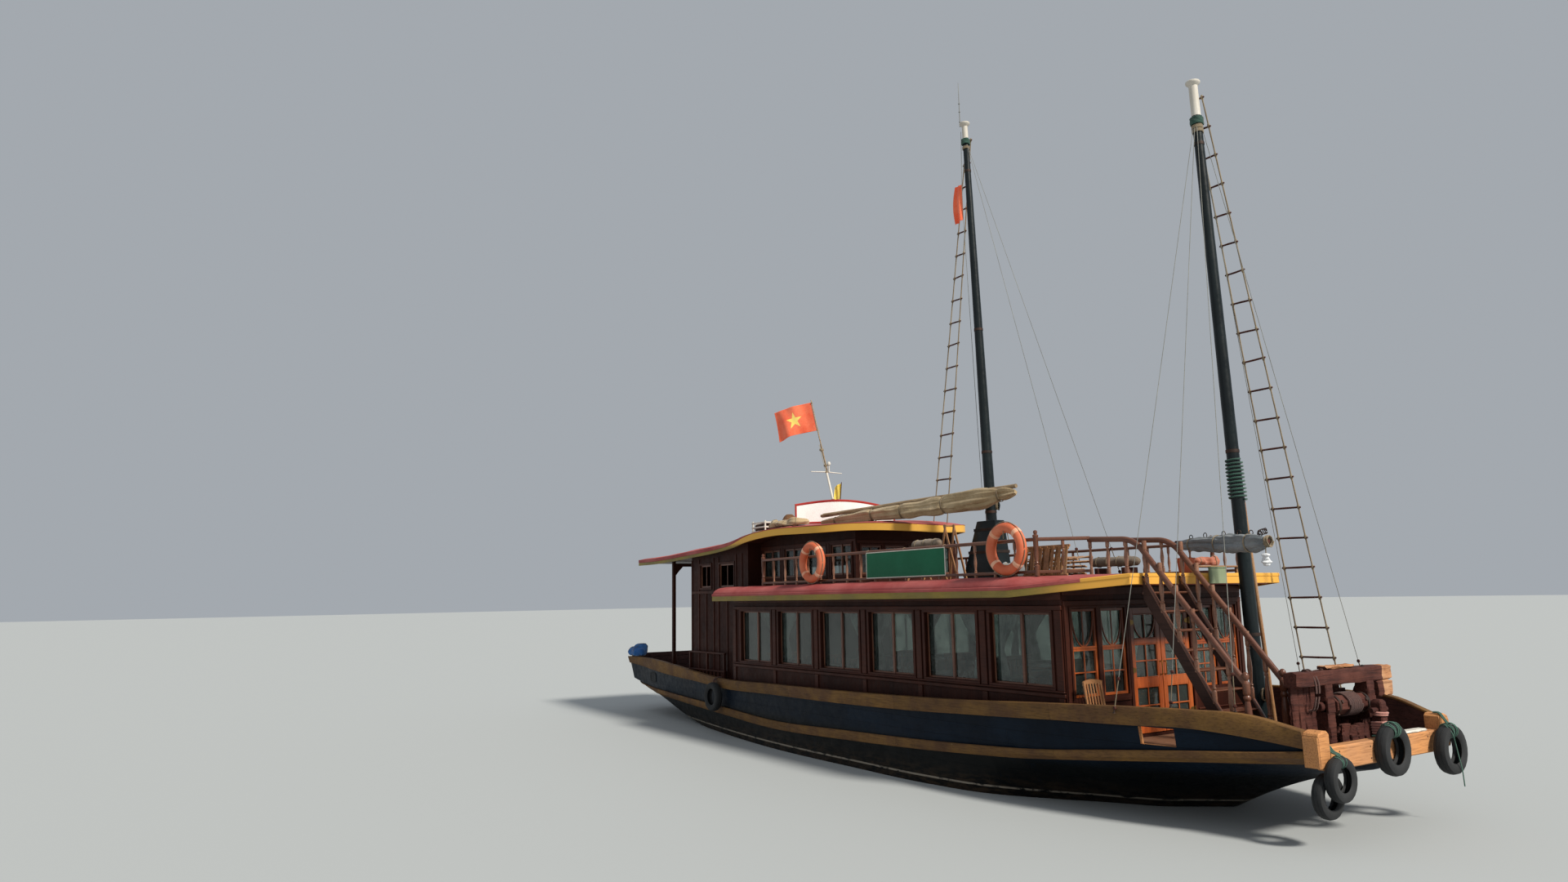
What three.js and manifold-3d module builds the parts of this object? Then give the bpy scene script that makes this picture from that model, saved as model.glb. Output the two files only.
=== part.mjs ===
// A wooden two-masted junk that carries passengers: a decked hull with a glazed saloon, a pilothouse
// and a tall stern house, two masts with their sails rolled on the booms, and tyre fenders.
// Millimetres. +X points to the bow, +Y to port and +Z up. The origin is on the centreline at the
// waterline.
import * as THREE from "three";
import { mergeVertices } from "three/addons/utils/BufferGeometryUtils.js";
import Module from "manifold-3d";

const wasm = await Module();
wasm.setup();

// Driving dimensions
const GAP = 0.3; // between pieces that rest on each other
const BOW = 7380; // front face of the hull
const DECK_Z = 800; // flat main deck amidships
const BULWARK = 60; // thickness of the planking above the deck
const PORT = { aft: 5590, front: 6030, low: 950, high: 1160 }; // for mooring ropes, in each bulwark
const CABIN = { aft: -4300, front: 4500, half: 1930, wall: 50, top: 2850 };
const BAY = { first: -3988, pitch: 1435, width: 1137, low: 1533, high: 2509, count: 6 };
const DOORWAY = { starboard: -620, meet: 20, port: 660, top: 2560, sill: 40 };
const ROOF_TOP = 3000; // upper deck
const ROOF = { aft: -4600, knee: 3900, front: 5390, half: 2250, frontHalf: 1600, edge: 2860 };
const FASCIA = { height: 140, thick: 30 };
const RAIL = { y: 2000, height: 500, pitch: 412, aft: -3093, front: 4150 };
const STAIR = { starboard: -1370, port: -640, top: 5430, foot: 6745, newel: 905 };
const PILOT = { aft: -4440, front: -1000, half: 1200, wall: 45 };
const STERN = { aft: -7000, front: -4400, half: 1520, wall: 50 };
const MAST = { x: 1310, lean: -200, top: 11320, base: 4010, foot: 95, head: 52 };
const FOREMAST = { x: 6010, lean: -210, top: 9920, foot: 97, head: 62 };
const WINDLASS = { x: 7020, z: 1400, posts: [-300, 600], post: 80, log: 120, pin: 55, beam: [-950, 1100] };
const BOLLARD = { x: 7260, y: 420, half: 65, top: 1450 };
const RUDDER = { x: -7960, stock: 40, top: 300, low: -1000, chord: 640 };
const SHAFT = { z: -620, x: -7050, blade: 250, blades: 3 };
const RUNG = 15; // half thickness of a ladder's rungs
const COLLAR = 70; // height of the collar by which a boom goes round its mast
const MAIN_BOOM = {
  aft: [-2420, -980, 4350],
  front: [2330, -400, 4490],
  thick: 150,
  x: 1298,
  z: 4460,
  hole: 105,
};
const FORE_BOOM = {
  aft: [4940, -40, 3420],
  front: [6590, -440, 3360],
  thick: 125,
  x: 5951,
  z: 3390,
  hole: 108,
};
const TYRE = { outer: 295, inner: 165, width: 150, small: 0.84 };
// Tyres at the bow: each middle, and the end of its lashing. Those of the pair are small ones.
const BOW_TYRES = {
  front: [7623.3, -1160, 740],
  rear: [7500, -1220, 555],
  pairTie: [7500, -1140, 1070],
  middle: [7595.3, 0, 940],
  middleTie: [7460, 0, 1068],
  port: [7635.3, 1210, 840],
  portTie: [7540, 1240, 1245],
};
const BUOY = { outer: 372, tube: 75, y: 2035.3, z: 3390 };
const STAY = {
  mainZ: 10850,
  main: [
    [4300, -420, 3010],
    [4000, -850, 3010],
  ],
  foreZ: 9250,
  starboard: [
    [5370, -2035, 1300],
    [5980, -1740, 1400],
    [6710, -1565, 1390],
  ],
  port: [
    [5370, -2035, 1300],
    [6500, -1620, 1395],
  ],
}; // heights of the hoops and the places of the stays' feet, those to port given as on starboard
const KNUCKLE = { radius: 10, height: 90 }; // of the door hinges

// Hull stations from the stern to the bow, each a half section from the keel line to the rail.
// x, keel z, low y, low z, mid y, mid z, wale y, wale z, rail y, rail z
const STATIONS = [
  [-11200, 640, 600, 660, 1000, 740, 1240, 810, 1300, 1285],
  [-10300, 440, 650, 480, 1080, 570, 1300, 700, 1350, 1300],
  [-9000, 210, 750, 270, 1250, 380, 1490, 570, 1530, 1300],
  [-7500, -60, 900, 30, 1420, 130, 1660, 530, 1720, 1245],
  [-6000, -330, 1000, -200, 1640, 0, 1830, 500, 1900, 1170],
  [-4500, -500, 1100, -400, 1880, 0, 1980, 480, 2040, 1115],
  [-2500, -600, 1200, -520, 2100, 0, 2110, 445, 2140, 1150],
  [0, -640, 1300, -570, 2150, 0, 2170, 500, 2200, 1185],
  [2000, -640, 1150, -570, 2110, 0, 2160, 570, 2180, 1230],
  [3000, -640, 1000, -480, 1930, 0, 2110, 610, 2150, 1262],
  [3800, -600, 800, -320, 1500, 0, 2070, 650, 2120, 1300],
  [4400, -500, 600, -220, 1100, 0, 2020, 690, 2080, 1325],
  [4950, -350, 400, -170, 780, 0, 1930, 735, 2020, 1345],
  [5500, -20, 400, 130, 900, 340, 1830, 785, 1920, 1360],
  [6200, 330, 500, 450, 1050, 600, 1700, 850, 1770, 1370],
  [6900, 580, 500, 640, 950, 730, 1490, 910, 1560, 1345],
  [BOW, 700, 500, 745, 850, 800, 1300, 945, 1370, 1215],
];
// Undersides of the ochre rail strake and of the wale, and the wale's top, along the hull.
// x, strake low, wale high, wale low
const BANDS = [
  [-11200, 1170, 700, 560],
  [-10300, 1130, 680, 545],
  [-9000, 1070, 640, 510],
  [-7500, 1020, 610, 480],
  [-6000, 1000, 590, 450],
  [-4500, 955, 570, 420],
  [-2500, 985, 515, 370],
  [0, 1010, 580, 430],
  [2000, 1055, 640, 500],
  [3000, 1092, 680, 545],
  [3800, 1120, 720, 585],
  [4400, 1145, 765, 635],
  [4950, 1155, 820, 680],
  [5500, 1165, 870, 725],
  [6200, 1185, 930, 780],
  [6900, 1120, 980, 820],
  [BOW, 1040, 1020, 850],
];
// Upper roof from the stern to its rounded front. x, half width, fascia low, crown
const UPPER_ROOF = [
  [-10000, 1500, 3640, 3900],
  [-8700, 1650, 3630, 3930],
  [-6500, 1740, 3700, 4050],
  [-5200, 1740, 3770, 4095],
  [-4600, 1740, 3830, 4150],
  [-4200, 1735, 3900, 4200],
  [-3600, 1720, 3960, 4240],
  [-3000, 1700, 3985, 4245],
  [-2200, 1650, 3970, 4210],
  [-1500, 1580, 3955, 4175],
  [-900, 1300, 3960, 4170],
  [-450, 950, 3940, 4140],
  [-120, 500, 3910, 4090],
  [0, 160, 3890, 4060],
];
// Board across the roof: front face, half length, foot, height of its ends, rise of its arch
const NAME_BOARD = { x: -2920, half: 1280, foot: 4000, end: 4630, arch: 140, thick: 30 };

// Value of one column of a table at x, in a straight line between its rows.
function at(table, x, column) {
  let i = 1;
  while (i < table.length - 1 && table[i][0] < x) i += 1;
  const [a, b] = [table[i - 1], table[i]];
  return a[column] + ((b[column] - a[column]) * (x - a[0])) / (b[0] - a[0]);
}

// Half-breadth of the hull at x and height z.
function breadth(x, z) {
  const points = [];
  for (let c = 2; c < 10; c += 2) points.push([at(STATIONS, x, c), at(STATIONS, x, c + 1)]);
  let i = 1;
  while (i < points.length - 1 && points[i][1] < z) i += 1;
  const [a, b] = [points[i - 1], points[i]];
  return a[0] + ((b[0] - a[0]) * (z - a[1])) / (b[1] - a[1]);
}

// Geometry to solid and back

function solid(geometry) {
  const bare = geometry.index ? geometry.toNonIndexed() : geometry.clone();
  bare.deleteAttribute("normal");
  bare.deleteAttribute("uv");
  const merged = mergeVertices(bare, 1e-3);
  const mesh = new wasm.Mesh({
    numProp: 3,
    vertProperties: merged.attributes.position.array,
    triVerts: new Uint32Array(merged.index.array),
  });
  return new wasm.Manifold(mesh);
}

function geometryOf(body) {
  const mesh = body.getMesh();
  const geometry = new THREE.BufferGeometry();
  geometry.setAttribute("position", new THREE.BufferAttribute(mesh.vertProperties, 3));
  geometry.setIndex(new THREE.BufferAttribute(mesh.triVerts, 1));
  const flat = geometry.toNonIndexed();
  flat.computeVertexNormals();
  return flat;
}

function join(bodies) {
  return bodies.reduce((whole, body) => whole.add(body));
}

// The largest piece of a body, without the slivers that a cut along a skin leaves.
function largest(body) {
  return body.decompose().sort((a, b) => b.volume() - a.volume())[0];
}

// Shapes

function box(x0, x1, y0, y1, z0, z1) {
  const g = new THREE.BoxGeometry(x1 - x0, y1 - y0, z1 - z0);
  return solid(g.translate((x0 + x1) / 2, (y0 + y1) / 2, (z0 + z1) / 2));
}

// A round bar from a to b, with a radius at each end.
function rod(a, b, ra, rb = ra, sides = 8) {
  const [from, to] = [new THREE.Vector3(...a), new THREE.Vector3(...b)];
  const along = to.clone().sub(from);
  const g = new THREE.CylinderGeometry(rb, ra, along.length(), sides);
  const up = new THREE.Vector3(0, 1, 0);
  g.applyQuaternion(new THREE.Quaternion().setFromUnitVectors(up, along.normalize()));
  return solid(g.translate(...from.add(to).multiplyScalar(0.5).toArray()));
}

// A flat-sided bar from a to b. Its width is level and its depth is square to that.
function bar(a, b, width, depth) {
  const [from, to] = [new THREE.Vector3(...a), new THREE.Vector3(...b)];
  const along = to.clone().sub(from);
  const length = along.length();
  const x = along.normalize();
  const y = new THREE.Vector3(0, 0, 1).cross(x).normalize();
  const turn = new THREE.Matrix4().makeBasis(x, y, x.clone().cross(y));
  const g = new THREE.BoxGeometry(length, width, depth).applyMatrix4(turn);
  return solid(g.translate(...from.add(to).multiplyScalar(0.5).toArray()));
}

// A square upright, such as a baluster before it is turned.
const post = (x, y, z0, z1, half = 18) => box(x - half, x + half, y - half, y + half, z0, z1);

// A skin over rings of points, closed by its first and last ring, which are flat.
function skin(rings) {
  const count = rings[0].length;
  const points = rings.flat();
  const faces = [];
  for (let i = 0; i < rings.length - 1; i += 1)
    for (let j = 0; j < count; j += 1) {
      const k = (j + 1) % count;
      const [a, b, c, d] = [i * count + j, i * count + k, (i + 1) * count + k, (i + 1) * count + j];
      faces.push([a, b, c], [a, c, d]);
    }
  for (const end of [0, rings.length - 1])
    for (const [a, b, c] of capFaces(rings[end])) {
      const face = [a, b, c].map((v) => v + end * count);
      faces.push(end ? face : face.reverse());
    }
  const volume = faces.reduce((sum, f) => {
    const [a, b, c] = f.map((v) => new THREE.Vector3(...points[v]));
    return sum + a.dot(b.cross(c));
  }, 0);
  const out = volume > 0 ? faces : faces.map((f) => [...f].reverse());
  const g = new THREE.BufferGeometry();
  g.setAttribute("position", new THREE.Float32BufferAttribute(points.flat(), 3));
  g.setIndex(out.flat());
  return solid(g);
}

// Triangles over one flat ring, turned the way the ring runs.
function capFaces(ring) {
  const normal = new THREE.Vector3();
  ring.forEach((p, i) => {
    const q = ring[(i + 1) % ring.length];
    normal.add(new THREE.Vector3(...p).cross(new THREE.Vector3(...q)));
  });
  const turn = new THREE.Quaternion().setFromUnitVectors(
    normal.normalize(),
    new THREE.Vector3(0, 0, 1),
  );
  const flat = ring.map((p) => {
    const v = new THREE.Vector3(...p).applyQuaternion(turn);
    return new THREE.Vector2(v.x, v.y);
  });
  return THREE.ShapeUtils.triangulateShape(flat, []);
}

// A flat outline pushed along one axis. Its points are given in the other two, in the order XYZ.
function prism(outline, axis, from, to) {
  const place = {
    x: (p, t) => [t, p[0], p[1]],
    y: (p, t) => [p[0], t, p[1]],
    z: (p, t) => [p[0], p[1], t],
  }[axis];
  return skin([outline.map((p) => place(p, from)), outline.map((p) => place(p, to))]);
}

// A ring with a round or flat section, turned about the given axis.
function ring(profile, centre, axis, steps) {
  const closed = [...profile, profile[0]].map(([r, h]) => new THREE.Vector2(r, h));
  const g = new THREE.LatheGeometry(closed, steps);
  const up = new THREE.Vector3(0, 1, 0);
  g.applyQuaternion(new THREE.Quaternion().setFromUnitVectors(up, new THREE.Vector3(...axis)));
  const made = solid(g.translate(...centre));
  return made.volume() > 0 ? made : solid(reversed(g));
}

function reversed(geometry) {
  const g = geometry.clone();
  const index = Array.from(g.index.array);
  for (let i = 0; i < index.length; i += 3) [index[i], index[i + 1]] = [index[i + 1], index[i]];
  g.setIndex(index);
  return g;
}

// A board that follows a line in plan, from its inner to its outer offset. Points are x, y, low, high.
function band(path, inner, outer) {
  const rings = path.map((p, i) => {
    const before = path[Math.max(i - 1, 0)];
    const after = path[Math.min(i + 1, path.length - 1)];
    const sides = [
      [before, p],
      [p, after],
    ]
      .filter(([a, b]) => a !== b)
      .map(([a, b]) => new THREE.Vector2(b[1] - a[1], a[0] - b[0]).normalize());
    const mitre = sides.reduce((sum, s) => sum.add(s), new THREE.Vector2()).normalize();
    mitre.divideScalar(mitre.dot(sides[0]));
    const side = (offset, z) => [p[0] + mitre.x * offset, p[1] + mitre.y * offset, z];
    return [side(inner, p[2]), side(outer, p[2]), side(outer, p[3]), side(inner, p[3])];
  });
  return skin(rings);
}

const mirrored = (body) => body.mirror([0, 1, 0]);

// Hull

// The planked shape up to the rail, one half and its mirror image, grown by the given amount.
function planking(grow) {
  const half = skin(
    STATIONS.map(([x, keel, ...points]) => {
      const side = [[x, 0, keel - grow], [x, -60 - grow, keel - grow]];
      for (let i = 0; i < points.length; i += 2) side.push([x, -points[i] - grow, points[i + 1]]);
      return [...side, [x, 0, points.at(-1)]];
    }),
  );
  return half.add(mirrored(half));
}

// The side of the raked transom that is kept: everything forward of it.
const RAKE = [
  [-10330 - 260, 0],
  [-11080, 1500],
  [BOW + 500, 1500],
  [BOW + 500, -1500],
  [-10330 - 260, -1500],
];
// Deck line along the centre: raised a little to the bow and to the stern.
const DECK_LINE = [
  [-11300, 960],
  [-8600, 880],
  [-7000, DECK_Z],
  [5500, DECK_Z],
  [BOW, 930],
  [BOW + 500, 930],
];
const deckAt = (x) => at(DECK_LINE, x, 1);

const ahead = prism(RAKE, "y", -3000, 3000);
const outer = planking(0).intersect(ahead);
const plankingRoom = planking(GAP).add(planking(GAP).translate([0, 0, GAP]));
const belowDeck = prism(
  [...DECK_LINE, [BOW + 500, -1500], [-11300, -1500]],
  "y",
  -3000,
  3000,
);
const aboveDeck = prism(
  [...DECK_LINE.map(([x, z]) => [x, z + GAP]), [BOW + 500, 1600], [-11300, 1600]],
  "y",
  -3000,
  3000,
);
const overhead = box(-12000, 9000, -3000, 3000, 1500, 13000);
const stockBore = rod([RUDDER.x, 0, -200], [RUDDER.x, 0, 320], RUDDER.stock + 1, RUDDER.stock + 1, 16);
const hull = outer.intersect(belowDeck).subtract(stockBore);
const onDeck = (body) => body.intersect(aboveDeck.add(overhead));

// The hollow between the bulwarks, at a distance inside the planking.
function insidePlanking(inset) {
  const half = skin(
    STATIONS.map(([x]) => {
      const foot = deckAt(x) - 10;
      const low = breadth(x, foot) - inset;
      const high = breadth(x, at(STATIONS, x, 9)) - inset;
      return [
        [x, 0, foot - 50],
        [x, -low, foot - 50],
        [x, -high, 1500],
        [x, 0, 1500],
      ];
    }),
  );
  return half.add(mirrored(half));
}

function bulwark() {
  const walls = outer.intersect(aboveDeck).subtract(insidePlanking(BULWARK));
  const port = box(PORT.aft, PORT.front, -3000, -1000, PORT.low, PORT.high);
  return largest(walls.intersect(box(-12000, BOW + 10, -3000, -200, 0, 2000)).subtract(port));
}

// The board across the stern between the bulwarks, raked as the transom is.
function sternBoard() {
  const thick = 60;
  const outline = [
    [-10878, 900],
    [-11032, 1370],
    [-11032 + thick, 1370],
    [-10878 + thick, 900],
  ];
  const slab = prism(outline, "y", -1400, 1400);
  return largest(slab.intersect(aboveDeck).intersect(insidePlanking(BULWARK + GAP)));
}

// The ochre strake along the rail, with the cap that covers the bulwark's top.
function railStrake() {
  const capIn = 65;
  const capOut = 50;
  const proud = 40;
  const rings = BANDS.map(([x, low]) => {
    const rail = at(STATIONS, x, 9);
    const [b, t] = [breadth(x, low), breadth(x, rail)];
    return [
      [x, -(b - 30), low],
      [x, -(b + proud), low],
      [x, -(t + capOut), rail + 30],
      [x, -(t - capIn), rail + 30],
      [x, -(t - capIn), rail + GAP],
      [x, -(t - 30), rail + GAP],
    ];
  });
  return largest(skin(rings).subtract(plankingRoom).intersect(ahead));
}

// The wale, bent where the hull's side is.
function wale() {
  const proud = 45;
  const rings = BANDS.map(([x, , high, low]) => {
    const bend = Math.min(Math.max(at(STATIONS, x, 7), low + 10), high - 10);
    const [b, k, t] = [breadth(x, low), breadth(x, bend), breadth(x, high)];
    return [
      [x, -(b - 30), low],
      [x, -(b + proud), low],
      [x, -(k + proud), bend],
      [x, -(t + proud), high],
      [x, -(t - 30), high],
    ];
  });
  return largest(skin(rings).subtract(plankingRoom).intersect(ahead));
}

// Keel, deadwood and sternpost, cut to the hull's bottom, with the gap for the propeller.
function keel() {
  const outline = [
    [5150, -200],
    [4600, -700],
    [3600, -900],
    [-6500, -1000],
    [-6700, -1000],
    [-6700, -150],
    [-3000, -400],
    [3000, -500],
  ];
  return prism(outline, "y", -60, 60).subtract(planking(GAP));
}

// The beam across the bow, with the short posts that close the bulwarks' ends.
function bowBeam() {
  const post = [
    [-1405, 860],
    [-1190, 845],
    [-1190, 1225],
    [-1330, 1250],
    [-1415, 1200],
  ];
  const end = prism(post, "x", BOW + GAP, BOW + 180);
  const beam = box(BOW + GAP, BOW + 140, -1210, 1210, 810, 1060);
  return join([beam, end, mirrored(end)]);
}

// Saloon

function sideWall() {
  const { aft, front, half, wall, top } = CABIN;
  let body = underLowerRoof(box(aft, front, -half, -half + wall, DECK_Z + GAP, top + 60));
  for (let i = 0; i < BAY.count; i += 1) {
    const x = BAY.first + i * BAY.pitch;
    body = body.subtract(box(x, x + BAY.width, -half - 10, -half + wall + 10, BAY.low, BAY.high));
  }
  return body;
}

// Sliding sashes on one track behind the wall: every bay has two panes with a stile between them.
function sashes() {
  const y = -CABIN.half + CABIN.wall + GAP;
  const edge = 40;
  const depth = 30;
  const [x0, x1] = [BAY.first - edge, BAY.first + (BAY.count - 1) * BAY.pitch + BAY.width + edge];
  let body = box(x0, x1, y, y + depth, BAY.low - 30, BAY.high + 30);
  for (let i = 0; i < BAY.count; i += 1)
    for (const pane of [0, 1]) {
      const x = BAY.first + i * BAY.pitch + (pane * BAY.width) / 2;
      const cut = [x + edge / 2, x + BAY.width / 2 - edge / 2];
      body = body.subtract(box(...cut, y - 10, y + depth + 10, BAY.low + edge, BAY.high - edge));
    }
  return body;
}

// One sheet behind the side windows that turns the corner behind the sidelights.
function cabinGlass(side) {
  const y = -CABIN.half + CABIN.wall + 30 + 2 * GAP;
  const x1 = CABIN.front - GAP;
  const along = box(BAY.first - 30, x1, y, y + 6, BAY.low - 20, BAY.high + 20);
  const inner = side < 0 ? -700 : -740;
  return join([along, box(x1 - 6, x1, y, inner, BAY.low - 120, BAY.high + 60)]);
}

const FRONT_X = CABIN.front + GAP;
const SIDELIGHTS = [
  [-1780, -1290],
  [-1210, -720],
  [760, 1240],
  [1310, 1780],
];

function frontWall() {
  const { half, wall, top } = CABIN;
  let body = underLowerRoof(
    box(FRONT_X, FRONT_X + wall, -half, half, DECK_Z + GAP, top + 60),
  );
  const cut = (y0, y1, z0, z1) => box(FRONT_X - 10, FRONT_X + wall + 10, y0, y1, z0, z1);
  const sill = DECK_Z + DOORWAY.sill;
  body = body.subtract(cut(DOORWAY.starboard, DOORWAY.port, sill, DOORWAY.top));
  for (const [y0, y1] of SIDELIGHTS) body = body.subtract(cut(y0, y1, 1400, 2560));
  return body;
}

// Hinge knuckles that turn on a jamb's face, each with the strap that holds it to the leaf.
function knuckles(face, out, jamb, inward, heights) {
  const { radius, height } = KNUCKLE;
  const x = face + out * (radius + GAP);
  const y = jamb - inward * 2;
  const between = (a, b) => [Math.min(a, b), Math.max(a, b)];
  return join(
    heights.flatMap((middle) => {
      const z = [middle - height / 2, middle + height / 2];
      return [
        rod([x, y, z[0]], [x, y, z[1]], radius, radius, 12),
        box(...between(face + out * 2, x), ...between(y, y + inward * 60), ...z),
        box(...between(face - out * 8, x), ...between(jamb + inward * 10, y + inward * 60), ...z),
      ];
    }),
  );
}

// One glazed leaf: stiles and rails, open where its three lights are.
function doorLeaf(y0, y1) {
  const [low, high] = [DECK_Z + DOORWAY.sill + 8, DOORWAY.top - 8];
  const [x0, x1] = [FRONT_X + 5, FRONT_X + 45];
  let body = box(x0, x1, y0, y1, low, high);
  const lights = [
    [low + 110, low + 620],
    [low + 740, low + 1200],
    [low + 1270, high - 90],
  ];
  for (const [z0, z1] of lights)
    body = body.subtract(box(x0 - 10, x1 + 10, y0 + 80, y1 - 80, z0, z1));
  return body;
}

// A front door: its leaf between the doorway's middle and its jamb, hung on the jamb.
function frontDoor(jamb) {
  const side = Math.sign(jamb);
  const edges = [DOORWAY.meet + side * 5.5, jamb - side * 6].sort((a, b) => a - b);
  const hinge = knuckles(FRONT_X + CABIN.wall, 1, jamb, -side, [1100, 1700, 2350]);
  return doorLeaf(...edges).add(hinge);
}

// Bulkhead between the saloon and the stern house, with a doorway.
function aftBulkhead() {
  const { aft, half, wall, top } = CABIN;
  const body = box(aft - wall - GAP, aft - GAP, -half, half, DECK_Z + GAP, top);
  return body.subtract(box(aft - wall - 10, aft + 10, -350, 350, DECK_Z + 40, 2600));
}

// One row of tables and benches on its floor board, seen through the windows.
function furnitureRow() {
  const floor = DECK_Z + GAP;
  const [y0, y1] = [-1480, -700];
  const middle = (y0 + y1) / 2;
  const parts = [box(-3720, 3460, y0, y1, floor, floor + 18)];
  for (let i = 0; i < 5; i += 1) {
    const x = -3000 + i * BAY.pitch;
    parts.push(box(x - 330, x + 330, y0, y1, floor + 700, floor + 740));
    parts.push(box(x - 60, x + 60, middle - 60, middle + 60, floor, floor + 720));
    for (const side of [-1, 1]) {
      const c = x + side * 560;
      const back = c + side * 140;
      parts.push(box(c - 160, c + 160, y0, y1, floor + 10, floor + 430));
      parts.push(box(back - 20, back + 20, y0, y1, floor, floor + 880));
    }
  }
  return join(parts);
}

// Lower roof and upper deck

const roofHalf = (x) =>
  x < ROOF.knee
    ? ROOF.half
    : ROOF.half + ((ROOF.frontHalf - ROOF.half) * (x - ROOF.knee)) / (ROOF.front - ROOF.knee);
const roofEdge = (x) =>
  x < ROOF.knee
    ? ROOF.edge
    : ROOF.edge + ((ROOF_TOP - ROOF.edge) * (x - ROOF.knee)) / (ROOF.front - ROOF.knee);

function lowerRoof() {
  return skin(
    [ROOF.aft, ROOF.knee, ROOF.front].map((x) => {
      const [w, edge] = [roofHalf(x), roofEdge(x)];
      const half = [
        [w - 250, CABIN.top + GAP],
        [w, edge - 30],
        [w, edge],
        [w - 160, edge + (ROOF_TOP - edge) * 0.72],
        [w - 320, ROOF_TOP],
      ];
      const port = half.map(([y, z]) => [x, y, z]);
      return [...port, ...port.map(([, y, z]) => [x, -y, z]).reverse()];
    }),
  );
}

// What stands under the lower roof is cut by it.
function underLowerRoof(body) {
  const roof = lowerRoof();
  return largest(body.subtract(roof.add(roof.translate([0, 0, -GAP]))));
}

function lowerFascia() {
  const side = [
    [ROOF.aft, -ROOF.half, roofEdge(ROOF.aft)],
    [ROOF.knee, -ROOF.half, roofEdge(ROOF.knee)],
    [ROOF.front, -ROOF.frontHalf, roofEdge(ROOF.front)],
  ];
  const path = [...side, ...side.map(([x, y, e]) => [x, -y, e]).reverse()];
  return band(
    path.map(([x, y, e]) => [x, y, e - FASCIA.height, e + 4]),
    GAP,
    FASCIA.thick,
  );
}

// A run of balusters between a foot rail and a handrail, along a line in plan.
function railing(path, foot, height, pitch, hand = 30) {
  const parts = [];
  for (let i = 0; i < path.length - 1; i += 1) {
    const [a, b] = [path[i], path[i + 1]];
    const length = Math.hypot(b[0] - a[0], b[1] - a[1]);
    parts.push(bar([...a, foot + height], [...b, foot + height], 2 * hand, 50));
    parts.push(bar([...a, foot + 60], [...b, foot + 60], 44, 40));
    const steps = Math.max(1, Math.round(length / pitch));
    for (let k = i ? 1 : 0; k <= steps; k += 1) {
      const t = k / steps;
      const p = [a[0] + (b[0] - a[0]) * t, a[1] + (b[1] - a[1]) * t];
      parts.push(post(...p, foot + GAP, foot + height));
    }
  }
  return join(parts);
}

const railPath = (side) => [
  [RAIL.aft, side * RAIL.y],
  [RAIL.front, side * RAIL.y],
];

// The starboard railing turns inboard and runs on down the stairs.
function starboardRailing() {
  const path = [...railPath(-1).map(([x, y]) => [x, y + 70]), [4600, STAIR.starboard]];
  const rail = railing(path, ROOF_TOP, RAIL.height, RAIL.pitch);
  return join([rail, stairRail(STAIR.starboard)]);
}

function portRailing() {
  const path = [...railPath(1).map(([x, y]) => [x, y - 70]), [5180, 1330]];
  return railing(path, ROOF_TOP, RAIL.height, RAIL.pitch);
}

// Stairs from the foredeck to the upper deck, to starboard of the foremast

const STAIR_RISE = (ROOF_TOP - DECK_Z) / (STAIR.foot - STAIR.top);
const stairZ = (x) => DECK_Z + (STAIR.foot - x) * STAIR_RISE;

function stringer(y, grow) {
  const [x0, x1] = [STAIR.top, STAIR.foot];
  const outline = [
    [x0, stairZ(x0) - 30 + grow],
    [x1 - 60 + grow, deckAt(x1) - 40],
    [x1 - 240, deckAt(x1) - 40],
    [x0, stairZ(x0) - 330],
  ];
  return prism(outline, "y", y - 25 - grow, y + 25 + grow);
}

function stairs() {
  const parts = [stringer(STAIR.starboard, 0), stringer(STAIR.port, 0)];
  const steps = 9;
  const low = deckAt(STAIR.foot);
  for (let i = 1; i < steps; i += 1) {
    const z = low + ((ROOF_TOP - low) * i) / steps;
    const x = STAIR.foot - (z - DECK_Z) / STAIR_RISE;
    parts.push(box(x - 190, x - 10, STAIR.starboard + 23, STAIR.port - 23, z - 30, z));
  }
  return onDeck(join(parts));
}

// Newel, sloping handrail, the level rail on the upper deck, and balusters on one stringer.
function stairRail(y) {
  const low = deckAt(STAIR.foot);
  const top = low + STAIR.newel;
  const [bendX, bendZ, endX] = [STAIR.top + 50, ROOF_TOP + 420, 4600];
  const handLow = top - 90;
  const slope = (bendZ - handLow) / (STAIR.foot - bendX);
  const level = (x) => bendZ + (60 * (bendX - x)) / (bendX - endX);
  const parts = [
    rod([STAIR.foot, y, low - 30], [STAIR.foot, y, top - 40], 45, 45, 8),
    rod([STAIR.foot, y, top - 50], [STAIR.foot, y, top], 52, 25, 8),
    bar([STAIR.foot, y, handLow], [bendX - 10, y, bendZ + 8], 54, 50),
    bar([bendX + 10, y, bendZ], [endX - 20, y, level(endX)], 54, 50),
  ];
  for (let i = 1; i < 7; i += 1) {
    const x = STAIR.foot - (i * (STAIR.foot - bendX)) / 6;
    parts.push(post(x, y, stairZ(x) - 100, handLow + (STAIR.foot - x) * slope));
  }
  for (const x of [endX, 4890, 5180]) parts.push(post(x, y, ROOF_TOP + GAP, level(x)));
  return onDeck(join(parts).subtract(stringer(y, GAP)));
}

// Upper roof, pilothouse and stern house

function upperRoof() {
  return skin(
    UPPER_ROOF.map(([x, w, low, crown]) => {
      const rim = low + FASCIA.height;
      const half = [
        [w, low + 50],
        [w, rim],
        [w * 0.62, rim + (crown - rim) * 0.72],
        [w * 0.2, crown],
      ];
      const port = half.map(([y, z]) => [x, y, z]);
      return [...port, ...port.map(([, y, z]) => [x, -y, z]).reverse()];
    }),
  );
}

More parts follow.
